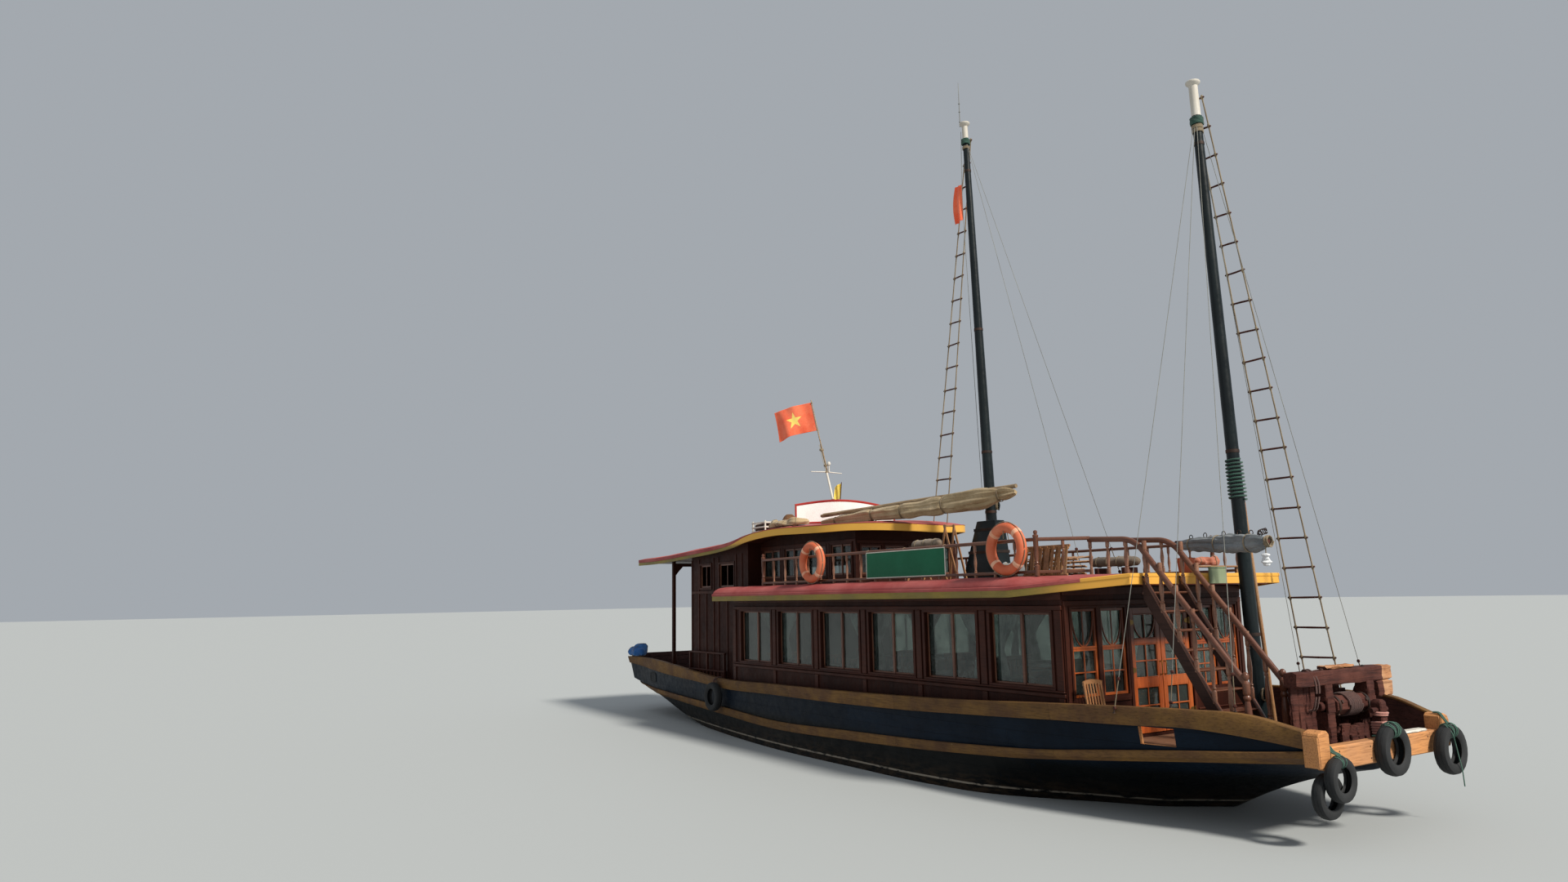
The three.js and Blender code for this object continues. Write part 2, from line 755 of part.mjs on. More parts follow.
function upperFascia() {
  const side = UPPER_ROOF.map(([x, w, low]) => [x, -w, low, low + FASCIA.height + 4]);
  const path = [...side, ...side.map(([x, y, ...z]) => [x, -y, ...z]).reverse()];
  return band(path, GAP, FASCIA.thick);
}

// What stands on the upper roof is cut by it.
function onUpperRoof(body) {
  const roof = upperRoof();
  return largest(body.subtract(roof.add(roof.translate([0, 0, GAP]))));
}

// Everything under the upper roof: what stands below it is cut by this.
function underUpperRoof() {
  const line = UPPER_ROOF.map(([x, , low]) => [x, low + 50 - GAP]);
  const outline = [[-12000, line[0][1]], ...line, [600, line.at(-1)[1]], [600, 0], [-12000, 0]];
  return prism(outline, "y", -3000, 3000);
}

function pilothouse() {
  const { aft, front, half, wall } = PILOT;
  const [z0, z1] = [ROOF_TOP + GAP, 4100];
  let body = box(aft, front, -half, half, z0, z1).subtract(
    box(aft - 10, front - wall, -half + wall, half - wall, z0 - 10, z1 + 10),
  );
  for (let i = 0; i < 4; i += 1) {
    const x = aft + 170 + i * 830;
    body = body.subtract(box(x, x + 640, -half - 10, half + 10, 3170, 3740));
  }
  for (const y of [-1080, -520, 40, 600])
    body = body.subtract(box(front - wall - 10, front + 10, y, y + 480, 3170, 3700));
  return body.intersect(underUpperRoof());
}

function pilotGlass() {
  const { aft, front, half, wall } = PILOT;
  const inner = half - wall - GAP;
  const end = front - wall - GAP;
  return box(aft + 50, end, -inner, inner, 3140, 3770).subtract(
    box(aft, end - 6, -inner + 6, inner - 6, 3000, 3900),
  );
}

function sternHouse() {
  const { aft, front, half, wall } = STERN;
  const z0 = DECK_Z + GAP;
  let body = box(aft, front, -half, half, z0, 4000).subtract(
    box(aft + wall, front + 10, -half + wall, half - wall, z0 - 10, 4100),
  );
  for (const [x0, x1, low, high] of [
    [-6550, -6050, 3020, 3520],
    [-5650, -5000, 3020, 3520],
  ])
    body = body.subtract(box(x0, x1, -half - 10, half + 10, low, high));
  body = body.subtract(box(aft - 10, aft + wall + 10, -380, 380, z0 + 60, z0 + 1900));
  const cheek = box(front - wall, front, -half, -PILOT.half - GAP, ROOF_TOP + 5, 4000);
  body = join([body, cheek, mirrored(cheek)]);
  return body.intersect(underUpperRoof()).subtract(lowerRoofSpace());
}

// The place of the lower roof and its fascia, which the stern house is cut to.
function lowerRoofSpace() {
  return box(ROOF.aft - 5, 0, -3000, 3000, CABIN.top - 160, ROOF_TOP + 5);
}

function sternDoor() {
  const x = STERN.aft;
  const leaf = box(x + 4, x + 44, -371, 374, DECK_Z + 68, DECK_Z + 1892);
  return leaf.add(knuckles(x, -1, 380, -1, [1150, 1750, 2350]));
}

function aftPostFrame() {
  const [x, y] = [-8400, 1300];
  const low = deckAt(x) - 60;
  const posts = [-y, y].map((s) => box(x - 40, x + 40, s - 40, s + 40, low, 4000));
  const beam = box(x - 40, x + 40, -y, y, 3560, 3640);
  return onDeck(join([...posts, beam]).intersect(underUpperRoof()));
}

// Masts, booms and rigging

const mastAt = (mast, z, foot) => mast.x + (mast.lean * (z - foot)) / (mast.top - foot);

// Where a ladder's top rung, of the given half thickness, rests on the port side of a mast.
function mastSide(mast, z, foot, half) {
  const radius = mast.foot + ((mast.head - mast.foot) * (z - foot)) / (mast.top - foot);
  return [mastAt(mast, z, foot), radius + half + GAP, z];
}

function tabernacle() {
  const base = ROOF_TOP + GAP;
  const rings = [
    [base, 620, 290, 170],
    [MAST.base, 250, 190, 120],
  ].map(([z, aft, fore, half]) => [
    [MAST.x - aft, -half, z],
    [MAST.x + fore, -half, z],
    [MAST.x + fore, half, z],
    [MAST.x - aft, half, z],
  ]);
  return skin(rings);
}

function mainMast() {
  const foot = MAST.base - 30;
  const x = mastAt(MAST, MAST.top, foot);
  const step = box(0, 3000, -500, 500, 3000, MAST.base + GAP);
  return join([
    rod([MAST.x, 0, foot], [x, 0, MAST.top], MAST.foot, MAST.head, 12),
    rod([x, 0, MAST.top - 5], [x, 0, MAST.top + 30], 95, 95, 12),
    rod([x - 120, 0, MAST.top + 20], [x - 120, 0, 12200], 8, 5, 6),
    box(x - 130, x + 20, -10, 10, MAST.top + 5, MAST.top + 25),
    saddle(MAIN_BOOM.x, MAIN_BOOM.z, MAIN_BOOM.hole + 25),
  ]).subtract(step);
}

function foreMast() {
  const foot = deckAt(FOREMAST.x) - 40;
  const x = mastAt(FOREMAST, FOREMAST.top, foot);
  const body = join([
    rod([FOREMAST.x, 0, foot], [x, 0, FOREMAST.top], FOREMAST.foot, FOREMAST.head, 12),
    rod([x, 0, FOREMAST.top - 5], [x, 0, FOREMAST.top + 30], 100, 100, 12),
    saddle(FORE_BOOM.x, FORE_BOOM.z, FORE_BOOM.hole + 20),
  ]);
  return onDeck(body);
}

// A flat ring round a mast, its middle at height z.
function hoop(x, z, inner, outer, height) {
  const profile = [
    [inner, -height / 2],
    [outer, -height / 2],
    [outer, height / 2],
    [inner, height / 2],
  ];
  return ring(profile, [x, 0, z], [0, 0, 1], 14);
}

// The saddle on a mast that a boom's collar rests and turns on.
function saddle(x, z, radius) {
  const top = z - COLLAR / 2 - GAP;
  return rod([x, 0, top - 60], [x, 0, top], radius * 0.8, radius, 14);
}

// A sail rolled round its boom: a thick middle with thin ends, and a ring that goes round the mast.
function rolledSail(a, b, thick, mastX, z, hole) {
  const steps = [
    [0, 0.35],
    [0.08, 0.75],
    [0.3, 1],
    [0.62, 0.95],
    [0.88, 0.6],
    [1, 0.25],
  ];
  const place = (t) => a.map((v, i) => v + (b[i] - v) * t);
  const along = new THREE.Vector3(...b).sub(new THREE.Vector3(...a)).normalize();
  const level = new THREE.Vector3(0, 0, 1).cross(along).normalize();
  const lift = along.clone().cross(level);
  const sides = 10;
  const rings = steps.map(([t, r]) =>
    Array.from({ length: sides }, (_, k) => {
      const turn = (2 * Math.PI * k) / sides;
      const out = level.clone().multiplyScalar(Math.cos(turn) * r * thick);
      out.addScaledVector(lift, Math.sin(turn) * r * thick);
      return new THREE.Vector3(...place(t)).add(out).toArray();
    }),
  );
  const parts = [skin(rings)];
  const t = (mastX - a[0]) / (b[0] - a[0]);
  const y = a[1] + (b[1] - a[1]) * t;
  parts.push(hoop(mastX, z, hole, hole + 30, COLLAR));
  parts.push(rod([mastX, -hole - 10, z], [mastX, y, z], 24, 24, 8));
  const bore = rod([mastX, 0, z - 300], [mastX, 0, z + 300], hole, hole, 14);
  return largest(join(parts).subtract(bore));
}

// Two ropes with rungs between them. Each end is a centre and a half width along x.
function ladder(top, topHalf, low, lowHalf, pitch) {
  const side = (s) => [
    [top[0] + s * topHalf, top[1], top[2]],
    [low[0] + s * lowHalf, low[1], low[2]],
  ];
  const parts = [bar(...side(-1), 22, 22), bar(...side(1), 22, 22)];
  const count = Math.floor((top[2] - low[2]) / pitch);
  for (let i = 0; i < count; i += 1) {
    const t = i / count;
    const [a, b] = [side(-1), side(1)].map(([p, q]) => p.map((v, k) => v + (q[k] - v) * t));
    parts.push(bar(a, b, 2 * RUNG, 34));
  }
  return join(parts);
}

// Wires from a hoop under a mast's head to their feet, each of which ends in an eye plate.
function stays(mast, bottom, z, feet) {
  const wire = 6;
  const x = mastAt(mast, z, bottom);
  const head = [mastAt(mast, mast.top, bottom), 0, mast.top];
  const reach = mast.head + 20;
  const parts = [rod([x, 0, z - 15], [x, 0, z + 15], reach, reach, 14)];
  for (const foot of feet) {
    parts.push(rod([x, 0, z], foot, wire, wire, 6));
    parts.push(box(foot[0] - 22, foot[0] + 22, foot[1] - 22, foot[1] + 22, foot[2] - 20, foot[2] + 20));
  }
  const room = rod([mast.x, 0, bottom], head, mast.foot + GAP, mast.head + GAP, 12);
  return join(parts).subtract(room);
}

// From the main mast forward to the upper deck.
function mainStays() {
  const roof = lowerRoof();
  const body = stays(MAST, MAST.base - 30, STAY.mainZ, STAY.main);
  return largest(body.subtract(roof.add(roof.translate([0, 0, GAP]))));
}

// From the foremast down to the outer face of the rail strake or the top of its cap.
function foreStays(feet) {
  const strake = railStrake();
  const body = stays(FOREMAST, deckAt(FOREMAST.x) - 40, STAY.foreZ, feet);
  const room = strake.add(strake.translate([0, 0, GAP])).add(strake.translate([0, -GAP, 0]));
  return largest(body.subtract(room));
}

function mainBoom() {
  const { aft, front, thick, x, z, hole } = MAIN_BOOM;
  return rolledSail(aft, front, thick, x, z, hole);
}

function foreBoom() {
  const { aft, front, thick, x, z, hole } = FORE_BOOM;
  return rolledSail(aft, front, thick, x, z, hole);
}

// From the masthead down and aft to the pilothouse roof.
function mainLadder() {
  const top = mastSide(MAST, 11000, MAST.base - 30, RUNG);
  return onUpperRoof(ladder(top, 60, [-250, 205, 4030], 190, 400));
}

// From the foremast's head down to the port bulwark.
function foreLadder() {
  const top = mastSide(FOREMAST, 9700, deckAt(FOREMAST.x) - 40, RUNG);
  const strake = mirrored(railStrake());
  const body = ladder(top, 70, [5800, 1818, 1385], 240, 400);
  return largest(body.subtract(strake.add(strake.translate([0, 0, GAP]))));
}

// Fittings

// The bare name board faces forward across the roof, with a low arch along its top.
function nameBoard() {
  const { x, half, foot, end, arch, thick } = NAME_BOARD;
  const points = [[-half, foot], [half, foot]];
  const steps = 14;
  for (let i = 0; i <= steps; i += 1) {
    const t = i / steps;
    points.push([half - 2 * half * t, end + arch * Math.sin(Math.PI * t)]);
  }
  return onUpperRoof(prism(points, "x", x - thick, x));
}

function flagpole() {
  const parts = [
    rod([-3400, 0, 4150], [-3400, 0, 4800], 40, 30, 8),
    rod([-3400, 0, 4790], [-4160, 0, 7080], 18, 12, 8),
    rod([-3610, -315, 5410], [-3610, 315, 5410], 14, 14, 6),
  ];
  return onUpperRoof(join(parts));
}

function flag() {
  const pole = (z) => -3400 - (760 * (z - 4790)) / (7080 - 4790);
  const [z0, z1] = [6380, 7000];
  const rings = [0, 1, 2, 3, 4, 5, 6].map((i) => {
    const t = i / 6;
    const x = (z) => pole(z) - 4 - 880 * t;
    const y = 60 * Math.sin(t * 7) * t;
    return [
      [x(z0), y - 4, z0 - 60 * t],
      [x(z0), y + 4, z0 - 60 * t],
      [x(z1), y + 4, z1 - 40 * t],
      [x(z1), y - 4, z1 - 40 * t],
    ];
  });
  const room = rod([-3400, 0, 4790], [-4160, 0, 7080], 18 + GAP, 12 + GAP, 8);
  return largest(skin(rings).subtract(room));
}

// A round section as profile points at a distance from the axis.
function disc(distance, radius, count, flat = 1) {
  return Array.from({ length: count }, (_, i) => {
    const t = (2 * Math.PI * i) / count;
    return [distance + radius * Math.cos(t), radius * flat * Math.sin(t)];
  });
}

function lifebuoy(x, side) {
  const middle = BUOY.outer - BUOY.tube;
  return ring(disc(middle, BUOY.tube, 8), [x, side * BUOY.y, BUOY.z], [0, 1, 0], 20);
}

function tyre(centre, axis, scale = 1) {
  const [out, inner, width] = [TYRE.outer, TYRE.inner, TYRE.width].map((size) => size * scale);
  const half = width / 2;
  const profile = [
    [inner, -half * 0.7],
    [out - 60, -half],
    [out - 15, -half * 0.75],
    [out, 0],
    [out - 15, half * 0.75],
    [out - 60, half],
    [inner, half * 0.7],
    [inner + 20, half * 0.4],
    [out - 45, half * 0.4],
    [out - 45, -half * 0.4],
    [inner + 20, -half * 0.4],
  ];
  return ring(profile, centre, axis, 20);
}

function windlassFrame() {
  const [x0, x1] = [WINDLASS.x - 90, WINDLASS.x + 90];
  const parts = [box(x0, x1, WINDLASS.beam[0], WINDLASS.beam[1], 1640, 1820)];
  for (const y of WINDLASS.posts) {
    const outline = [
      [x0 - 300, deckAt(x0 - 300) - 40],
      [x1, deckAt(x1) - 40],
      [x1, 1660],
      [x0, 1660],
    ];
    parts.push(prism(outline, "y", y - WINDLASS.post, y + WINDLASS.post));
  }
  parts.push(box(x0, x1, ...WINDLASS.posts, deckAt(x0) - 20, deckAt(x0) + 140));
  parts.push(box(x0 + 20, x0 + 80, WINDLASS.beam[0] + 20, -460, 1000, 1660));
  parts.push(box(x0, x1, 760, WINDLASS.beam[1], 1440, 1660));
  const hole = WINDLASS.pin + 2 * GAP;
  const bore = rod([WINDLASS.x, -900, WINDLASS.z], [WINDLASS.x, 900, WINDLASS.z], hole, hole, 32);
  return onDeck(join(parts)).subtract(bore);
}

// The barrel turns on its pins in the two posts.
function windlassBarrel() {
  const [a, b] = WINDLASS.posts;
  const { x, z, post, pin } = WINDLASS;
  const log = rod([x, a + post + 15, z], [x, b - post - 15, z], WINDLASS.log, WINDLASS.log, 8);
  const ends = rod([x, a - post - 60, z], [x, b + post + 60, z], pin, pin, 32);
  return join([log, ends]);
}

function bollard() {
  const { x, y, half, top } = BOLLARD;
  return onDeck(
    join([
      box(x - half, x + half, y - half, y + half, 850, top),
      rod([x, y - 170, top - 120], [x, y + 170, top - 120], 35, 35, 8),
    ]),
  );
}

// A short rope from a tyre up over what it hangs on.
function lashing(from, to) {
  return rod(from, to, 14, 14, 6);
}

// What hangs on the bow beam is cut by it.
function offBowBeam(body) {
  const beam = bowBeam();
  return largest(body.subtract(beam.add(beam.translate([GAP, 0, 0]))));
}

function bowFenderPair() {
  const { front, rear, pairTie } = BOW_TYRES;
  const [x, y, z] = front;
  return offBowBeam(
    join([
      tyre(front, [1, 0, 0], TYRE.small),
      tyre(rear, [1, 0, 0], TYRE.small),
      lashing([x, y, z + TYRE.outer * TYRE.small - 30], pairTie),
    ]),
  );
}

function bowFender(centre, tie) {
  const [x, y, z] = centre;
  return offBowBeam(join([tyre(centre, [1, 0, 0]), lashing([x, y, z + TYRE.outer - 70], tie)]));
}

function quarterFender() {
  const x = -4800;
  const rail = at(STATIONS, x, 9);
  const edge = -breadth(x, rail) - 50;
  const y = edge - TYRE.width / 2 - 15;
  const over = rail + 30 + 14 + GAP;
  return join([
    tyre([x, y, 780], [0, 1, 0]),
    lashing([x, edge - 22, 900], [x, edge - 22, over]),
    lashing([x, edge - 30, over], [x, edge + 60, over]),
  ]);
}

function rudder() {
  const { x, stock, top, low, chord } = RUDDER;
  const outline = [
    [x, low],
    [x, -80],
    [x - 100, -60],
    [x - chord, -60],
    [x - chord - 90, low],
  ];
  return join([
    prism(outline, "y", -28, 28),
    rod([x, 0, low], [x, 0, top], stock, stock, 16),
  ]);
}

function propeller() {
  const { x, z, blade, blades } = SHAFT;
  const parts = [
    rod([x - 90, 0, z], [x + 70, 0, z], 45, 60, 12),
    rod([x, 0, z], [-6700 - GAP, 0, z], 30, 30, 12),
  ];
  for (let i = 0; i < blades; i += 1) {
    const turn = (2 * Math.PI * i) / blades;
    const out = (r, lift) => [
      r * Math.cos(turn) - lift * Math.sin(turn),
      z + r * Math.sin(turn) + lift * Math.cos(turn),
    ];
    const rings = [
      [30, 45, 40],
      [150, 95, 45],
      [blade, 60, 25],
    ].map(([r, w, twist]) => {
      const corner = (dx, dl) => [x + dx, ...out(r, dl)];
      return [corner(-twist, -w), corner(-twist + 14, -w), corner(twist, w), corner(twist - 14, w)];
    });
    parts.push(skin(rings));
  }
  return join(parts);
}

const materials = {
  navy: { color: 0x141a26, roughness: 0.6 },
  ochre: { color: 0x8f7a3a, roughness: 0.65 },
  yellow: { color: 0xe0a92c, roughness: 0.6 },
  wood: { color: 0x4a2318, roughness: 0.5 },
  varnish: { color: 0xb4551d, roughness: 0.35 },
  red: { color: 0xa84a4c, roughness: 0.7 },
  glass: { color: 0x9fb4b0, roughness: 0.1 },
  black: { color: 0x16201e, roughness: 0.5 },
  canvas: { color: 0x9a8c72, roughness: 0.9 },
  rope: { color: 0x8a7c60, roughness: 0.9 },
  rubber: { color: 0x2a2c2d, roughness: 0.85 },
  orange: { color: 0xc4552e, roughness: 0.7 },
  green: { color: 0x0f5a3c, roughness: 0.6 },
  white: { color: 0xd8d4c8, roughness: 0.6 },
  timber: { color: 0x3a211c, roughness: 0.85 },
  bronze: { color: 0x8a6a34, roughness: 0.4, metalness: 1 },
};

const model = new THREE.Group();

function place(name, body, finish) {
  const mesh = new THREE.Mesh(
    geometryOf(body),
    new THREE.MeshStandardMaterial(materials[finish]),
  );
  mesh.name = name;
  model.add(mesh);
}

function placePair(name, body, finish) {
  place(name + "_starboard", body, finish);
  place(name + "_port", mirrored(body), finish);
}

place("hull", hull, "navy");
place("keel", keel(), "navy");
placePair("bulwark", bulwark(), "navy");
place("stern_board", sternBoard(), "navy");
placePair("rail_strake", railStrake(), "ochre");
placePair("wale", wale(), "ochre");
place("bow_beam", bowBeam(), "yellow");
place("windlass_frame", windlassFrame(), "timber");
place("windlass_barrel", windlassBarrel(), "timber");
place("bollard", bollard(), "timber");
placePair("cabin_wall", sideWall(), "wood");
placePair("cabin_sashes", sashes(), "wood");
place("cabin_glass_starboard", cabinGlass(-1), "glass");
place("cabin_glass_port", mirrored(cabinGlass(1)), "glass");
place("cabin_front_wall", frontWall(), "wood");
place("front_door_starboard", frontDoor(DOORWAY.starboard), "varnish");
place("front_door_port", frontDoor(DOORWAY.port), "varnish");
place("cabin_aft_bulkhead", aftBulkhead(), "wood");
placePair("saloon_furniture", furnitureRow(), "wood");
place("lower_roof", lowerRoof(), "red");
place("lower_fascia", lowerFascia(), "yellow");
place("railing_starboard", starboardRailing(), "wood");
place("railing_port", portRailing(), "wood");
place("stairs", stairs(), "wood");
place("stair_rail_port", stairRail(STAIR.port), "wood");
place("sign_board", box(330, 2320, -1965, -1960.6, 3060, 3490), "green");
place("lifebuoy_forward", lifebuoy(3690, -1), "orange");
place("lifebuoy_aft", lifebuoy(-1200, -1), "orange");
place("pilothouse", pilothouse(), "wood");
place("pilothouse_glass", pilotGlass(), "glass");
place("stern_house", sternHouse(), "wood");
place("stern_door", sternDoor(), "wood");
place("upper_roof", upperRoof(), "red");
place("upper_fascia", upperFascia(), "yellow");
place("aft_post_frame", aftPostFrame(), "wood");
place("name_board", nameBoard(), "white");
place("flagpole", flagpole(), "white");
place("flag", flag(), "orange");
place("main_tabernacle", tabernacle(), "black");
place("main_mast", mainMast(), "black");
place("foremast", foreMast(), "black");
place("main_boom", mainBoom(), "canvas");
place("fore_boom", foreBoom(), "canvas");
place("main_ladder", mainLadder(), "rope");
place("fore_ladder", foreLadder(), "rope");
place("main_stays", mainStays(), "rope");
place("fore_stays_starboard", foreStays(STAY.starboard), "rope");
place("fore_stays_port", mirrored(foreStays(STAY.port)), "rope");
place("fender_bow_starboard", bowFenderPair(), "rubber");
place("fender_bow_middle", bowFender(BOW_TYRES.middle, BOW_TYRES.middleTie), "rubber");
place("fender_bow_port", bowFender(BOW_TYRES.port, BOW_TYRES.portTie), "rubber");
place("fender_quarter", quarterFender(), "rubber");
place("rudder", rudder(), "timber");
place("propeller", propeller(), "bronze");
export default model;
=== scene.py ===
# Two-masted wooden junk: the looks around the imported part.
# Metres, +X to the bow, +Y to port, +Z up. The water's surface is z = 0.
from math import cos, pi, radians, sin, sqrt
import bmesh
import bpy
import numpy as np
from mathutils import Matrix, Vector


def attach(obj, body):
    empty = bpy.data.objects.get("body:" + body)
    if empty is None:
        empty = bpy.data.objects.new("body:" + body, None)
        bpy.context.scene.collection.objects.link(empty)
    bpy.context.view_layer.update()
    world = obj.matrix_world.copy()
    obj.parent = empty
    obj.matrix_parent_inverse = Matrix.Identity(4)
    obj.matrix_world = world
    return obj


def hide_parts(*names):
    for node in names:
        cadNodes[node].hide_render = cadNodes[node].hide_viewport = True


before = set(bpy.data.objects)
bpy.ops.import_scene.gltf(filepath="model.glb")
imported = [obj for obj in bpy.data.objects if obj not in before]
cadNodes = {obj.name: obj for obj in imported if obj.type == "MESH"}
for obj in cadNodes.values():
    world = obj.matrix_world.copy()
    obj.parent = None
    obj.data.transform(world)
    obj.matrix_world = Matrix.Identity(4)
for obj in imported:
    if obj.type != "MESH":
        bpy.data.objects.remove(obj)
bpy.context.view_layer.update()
print("frame loaded:", len(cadNodes), "nodes")


# Camera, light and floor.

cameraView = {
    "place": (13.936, -12.125, 2.773),
    "yaw": 147.793,
    "pitch": 8.887,
    "roll": -0.979,
    "lens": 22.97,
}
studio = {
    "keyFrom": (0.75, 0.12, 0.655),
    "keyStrength": 4.6,
    "keyAngle": 9,
    "fillFrom": (0.45, -0.8, 0.4),
    "fillStrength": 0.12,
    "fillAngle": 60,
    "sky": (0.8, 0.86, 0.93),
    "skyStrength": 0.46,
    "floor": (0.4, 0.42, 0.42),
}


# Turns a camera whose view is level along yaw, raised by pitch and rolled about its own axis.
def makeCamera(settings):
    y, p, r = (radians(settings[k]) for k in ("yaw", "pitch", "roll"))
    forward = np.array([cos(p) * cos(y), cos(p) * sin(y), sin(p)])
    right = np.array([sin(y), -cos(y), 0])
    up = np.cross(right, forward)
    turned = [right * cos(r) + up * sin(r), up * cos(r) - right * sin(r), -forward]
    data = bpy.data.cameras.new("camera")
    data.lens = settings["lens"]
    data.sensor_width = 36
    data.clip_end = 1000
    camera = bpy.data.objects.new("camera", data)
    bpy.context.scene.collection.objects.link(camera)
    grid = np.eye(4)
    grid[:3, :3] = np.array(turned).T
    grid[:3, 3] = settings["place"]
    camera.matrix_world = Matrix(grid.tolist())
    bpy.context.scene.camera = camera


# A far lamp that shines from a direction, soft by its angle.
def makeLamp(name, source, strength, angle, colour=(1, 1, 1)):
    data = bpy.data.lights.new(name, "SUN")
    data.energy = strength
    data.angle = radians(angle)
    data.color = colour
    lamp = bpy.data.objects.new(name, data)
    bpy.context.scene.collection.objects.link(lamp)
    lamp.rotation_mode = "QUATERNION"
    lamp.rotation_quaternion = Vector(source).to_track_quat("Z", "Y")


def makeStudio(settings):
    makeLamp("keyLamp", settings["keyFrom"], settings["keyStrength"], settings["keyAngle"], (1, 0.95, 0.87))
    makeLamp("fillLamp", settings["fillFrom"], settings["fillStrength"], settings["fillAngle"])
    world = bpy.data.worlds.new("studio")
    world.use_nodes = True
    background = world.node_tree.nodes["Background"]
    background.inputs["Color"].default_value = (*settings["sky"], 1)
    background.inputs["Strength"].default_value = settings["skyStrength"]
    bpy.context.scene.world = world


makeCamera(cameraView)
makeStudio(studio)
bpy.context.scene.view_settings.view_transform = "Standard"
print("camera and light made")


# Shapes: every shape is (points, faces, finish number).

# A colour given in the 0 to 255 steps of a paint card, as linear light.
def paint(r, g, b):
    c = np.array([r, g, b]) / 255
    return tuple(np.where(c < 0.04045, c / 12.92, ((c + 0.055) / 1.055) ** 2.4))


# A column of a table at x: a cubic between the rows, whose slope at a row is the mean of those beside it.
def along(table, column, x):
    rows = np.asarray(table, float)
    xs, ys = rows[:, 0], rows[:, column]
    slope = np.gradient(ys, xs)
    i = np.clip(np.searchsorted(xs, x) - 1, 0, len(xs) - 2)
    h = xs[i + 1] - xs[i]
    s = np.clip((x - xs[i]) / h, 0, 1)
    before = (1 + 2 * s) * (1 - s) ** 2 * ys[i] + s * (1 - s) ** 2 * h * slope[i]
    return before + s * s * (3 - 2 * s) * ys[i + 1] + s * s * (s - 1) * h * slope[i + 1]


# Angles evenly round a circle.
def around(steps):
    return np.linspace(0, 2 * pi, steps, endpoint=False)


# Coordinates side by side as points; single numbers are repeated.
def columns(*parts):
    return np.stack(np.broadcast_arrays(*parts), -1)


# A vector or a row of vectors at length one.
def unit(v):
    v = np.asarray(v, float)
    return v / np.linalg.norm(v, axis=-1, keepdims=True)


# Quads between neighbours on a grid of n by m points; wrap joins its last column to its first.
def gridFaces(n, m, wrap):
    i, j = np.meshgrid(np.arange(n - 1), np.arange(m if wrap else m - 1), indexing="ij")
    k = (j + 1) % m
    return columns(i * m + j, i * m + k, (i + 1) * m + k, (i + 1) * m + j).reshape(-1, 4).tolist()


# An open sheet over a grid of points (n, m, 3).
def sheetOf(grid):
    n, m = grid.shape[:2]
    return grid.reshape(-1, 3), gridFaces(n, m, False), 0


# A closed section carried through n places, with a flat cap on each end.
def carried(rings, finish=0):
    n, m = rings.shape[:2]
    faces = gridFaces(n, m, True)
    faces += [list(range(m))[::-1], list(range((n - 1) * m, n * m))]
    return rings.reshape(-1, 3), faces, finish


# A round bar along a path: at each point a circle square to the path, of the radius given there.
def tube(path, radius, sides=8, finish=0):
    path = np.asarray(path, float)
    t = unit(np.gradient(path, axis=0))
    least = np.eye(3)[np.argmin(np.abs(t).max(0))]
    a = unit(np.cross(t, least))
    b = np.cross(t, a)
    w = around(sides)[None, :, None]
    ring = np.cos(w) * a[:, None] + np.sin(w) * b[:, None]
    r = np.broadcast_to(radius, len(path))[:, None, None]
    return carried(path[:, None] + ring * r, finish)


# Boards from points a to points b (k, 3), with a cut corner all round; up says which way the depth lies.
def boards(a, b, width, depth, corner=0.005, up=(0, 0, 1), finish=0):
    a, b = np.atleast_2d(np.asarray(a, float)), np.atleast_2d(np.asarray(b, float))
    t = unit(b - a)
    side = unit(np.cross(np.broadcast_to(up, t.shape), t))
    lift = np.cross(t, side)
    w, d, c = width / 2, depth / 2, corner
    half = np.array([[w - c, d], [w, d - c], [w, c - d], [w - c, -d]])
    section = np.concatenate([half, -half])
    small = section * [(w - c) / w, (d - c) / d]
    length = np.linalg.norm(b - a, axis=1)[:, None]
    steps = np.concatenate([0 * length, 0 * length + c, length - c, length], 1)
    shapes = np.stack([small, section, section, small])
    points = a[:, None, None] + t[:, None, None] * steps[:, :, None, None]
    points = points + side[:, None, None] * shapes[None, :, :, :1] + lift[:, None, None] * shapes[None, :, :, 1:]
    one = carried(points[0])[1]
    faces = [[v + 32 * k for v in f] for k in range(len(a)) for f in one]
    return points.reshape(-1, 3), faces, finish


# Boards that stand on points, all of one height.
def upright(feet, height, *sizes):
    return boards(feet, feet + [0, 0, height], *sizes)


# A profile of (radius, height) turned about an upright axis through a place.
def turned(profile, place=(0, 0, 0), sides=16, axis=2, finish=0):
    profile = np.asarray(profile, float)
    w = around(sides)
    r, h = profile[:, :1], profile[:, 1:]
    grid = columns(r * np.cos(w), r * np.sin(w), h)
    grid = np.roll(grid, axis + 1, axis=2) + np.asarray(place, float)
    return grid.reshape(-1, 3), gridFaces(len(profile), sides, True), finish


# The shape on the other side of the centreline.
def otherSide(shape):
    points, faces, finish = shape
    return points * [1, -1, 1], [f[::-1] for f in faces], finish


def bothSides(shapes):
    return list(shapes) + [otherSide(s) for s in shapes]


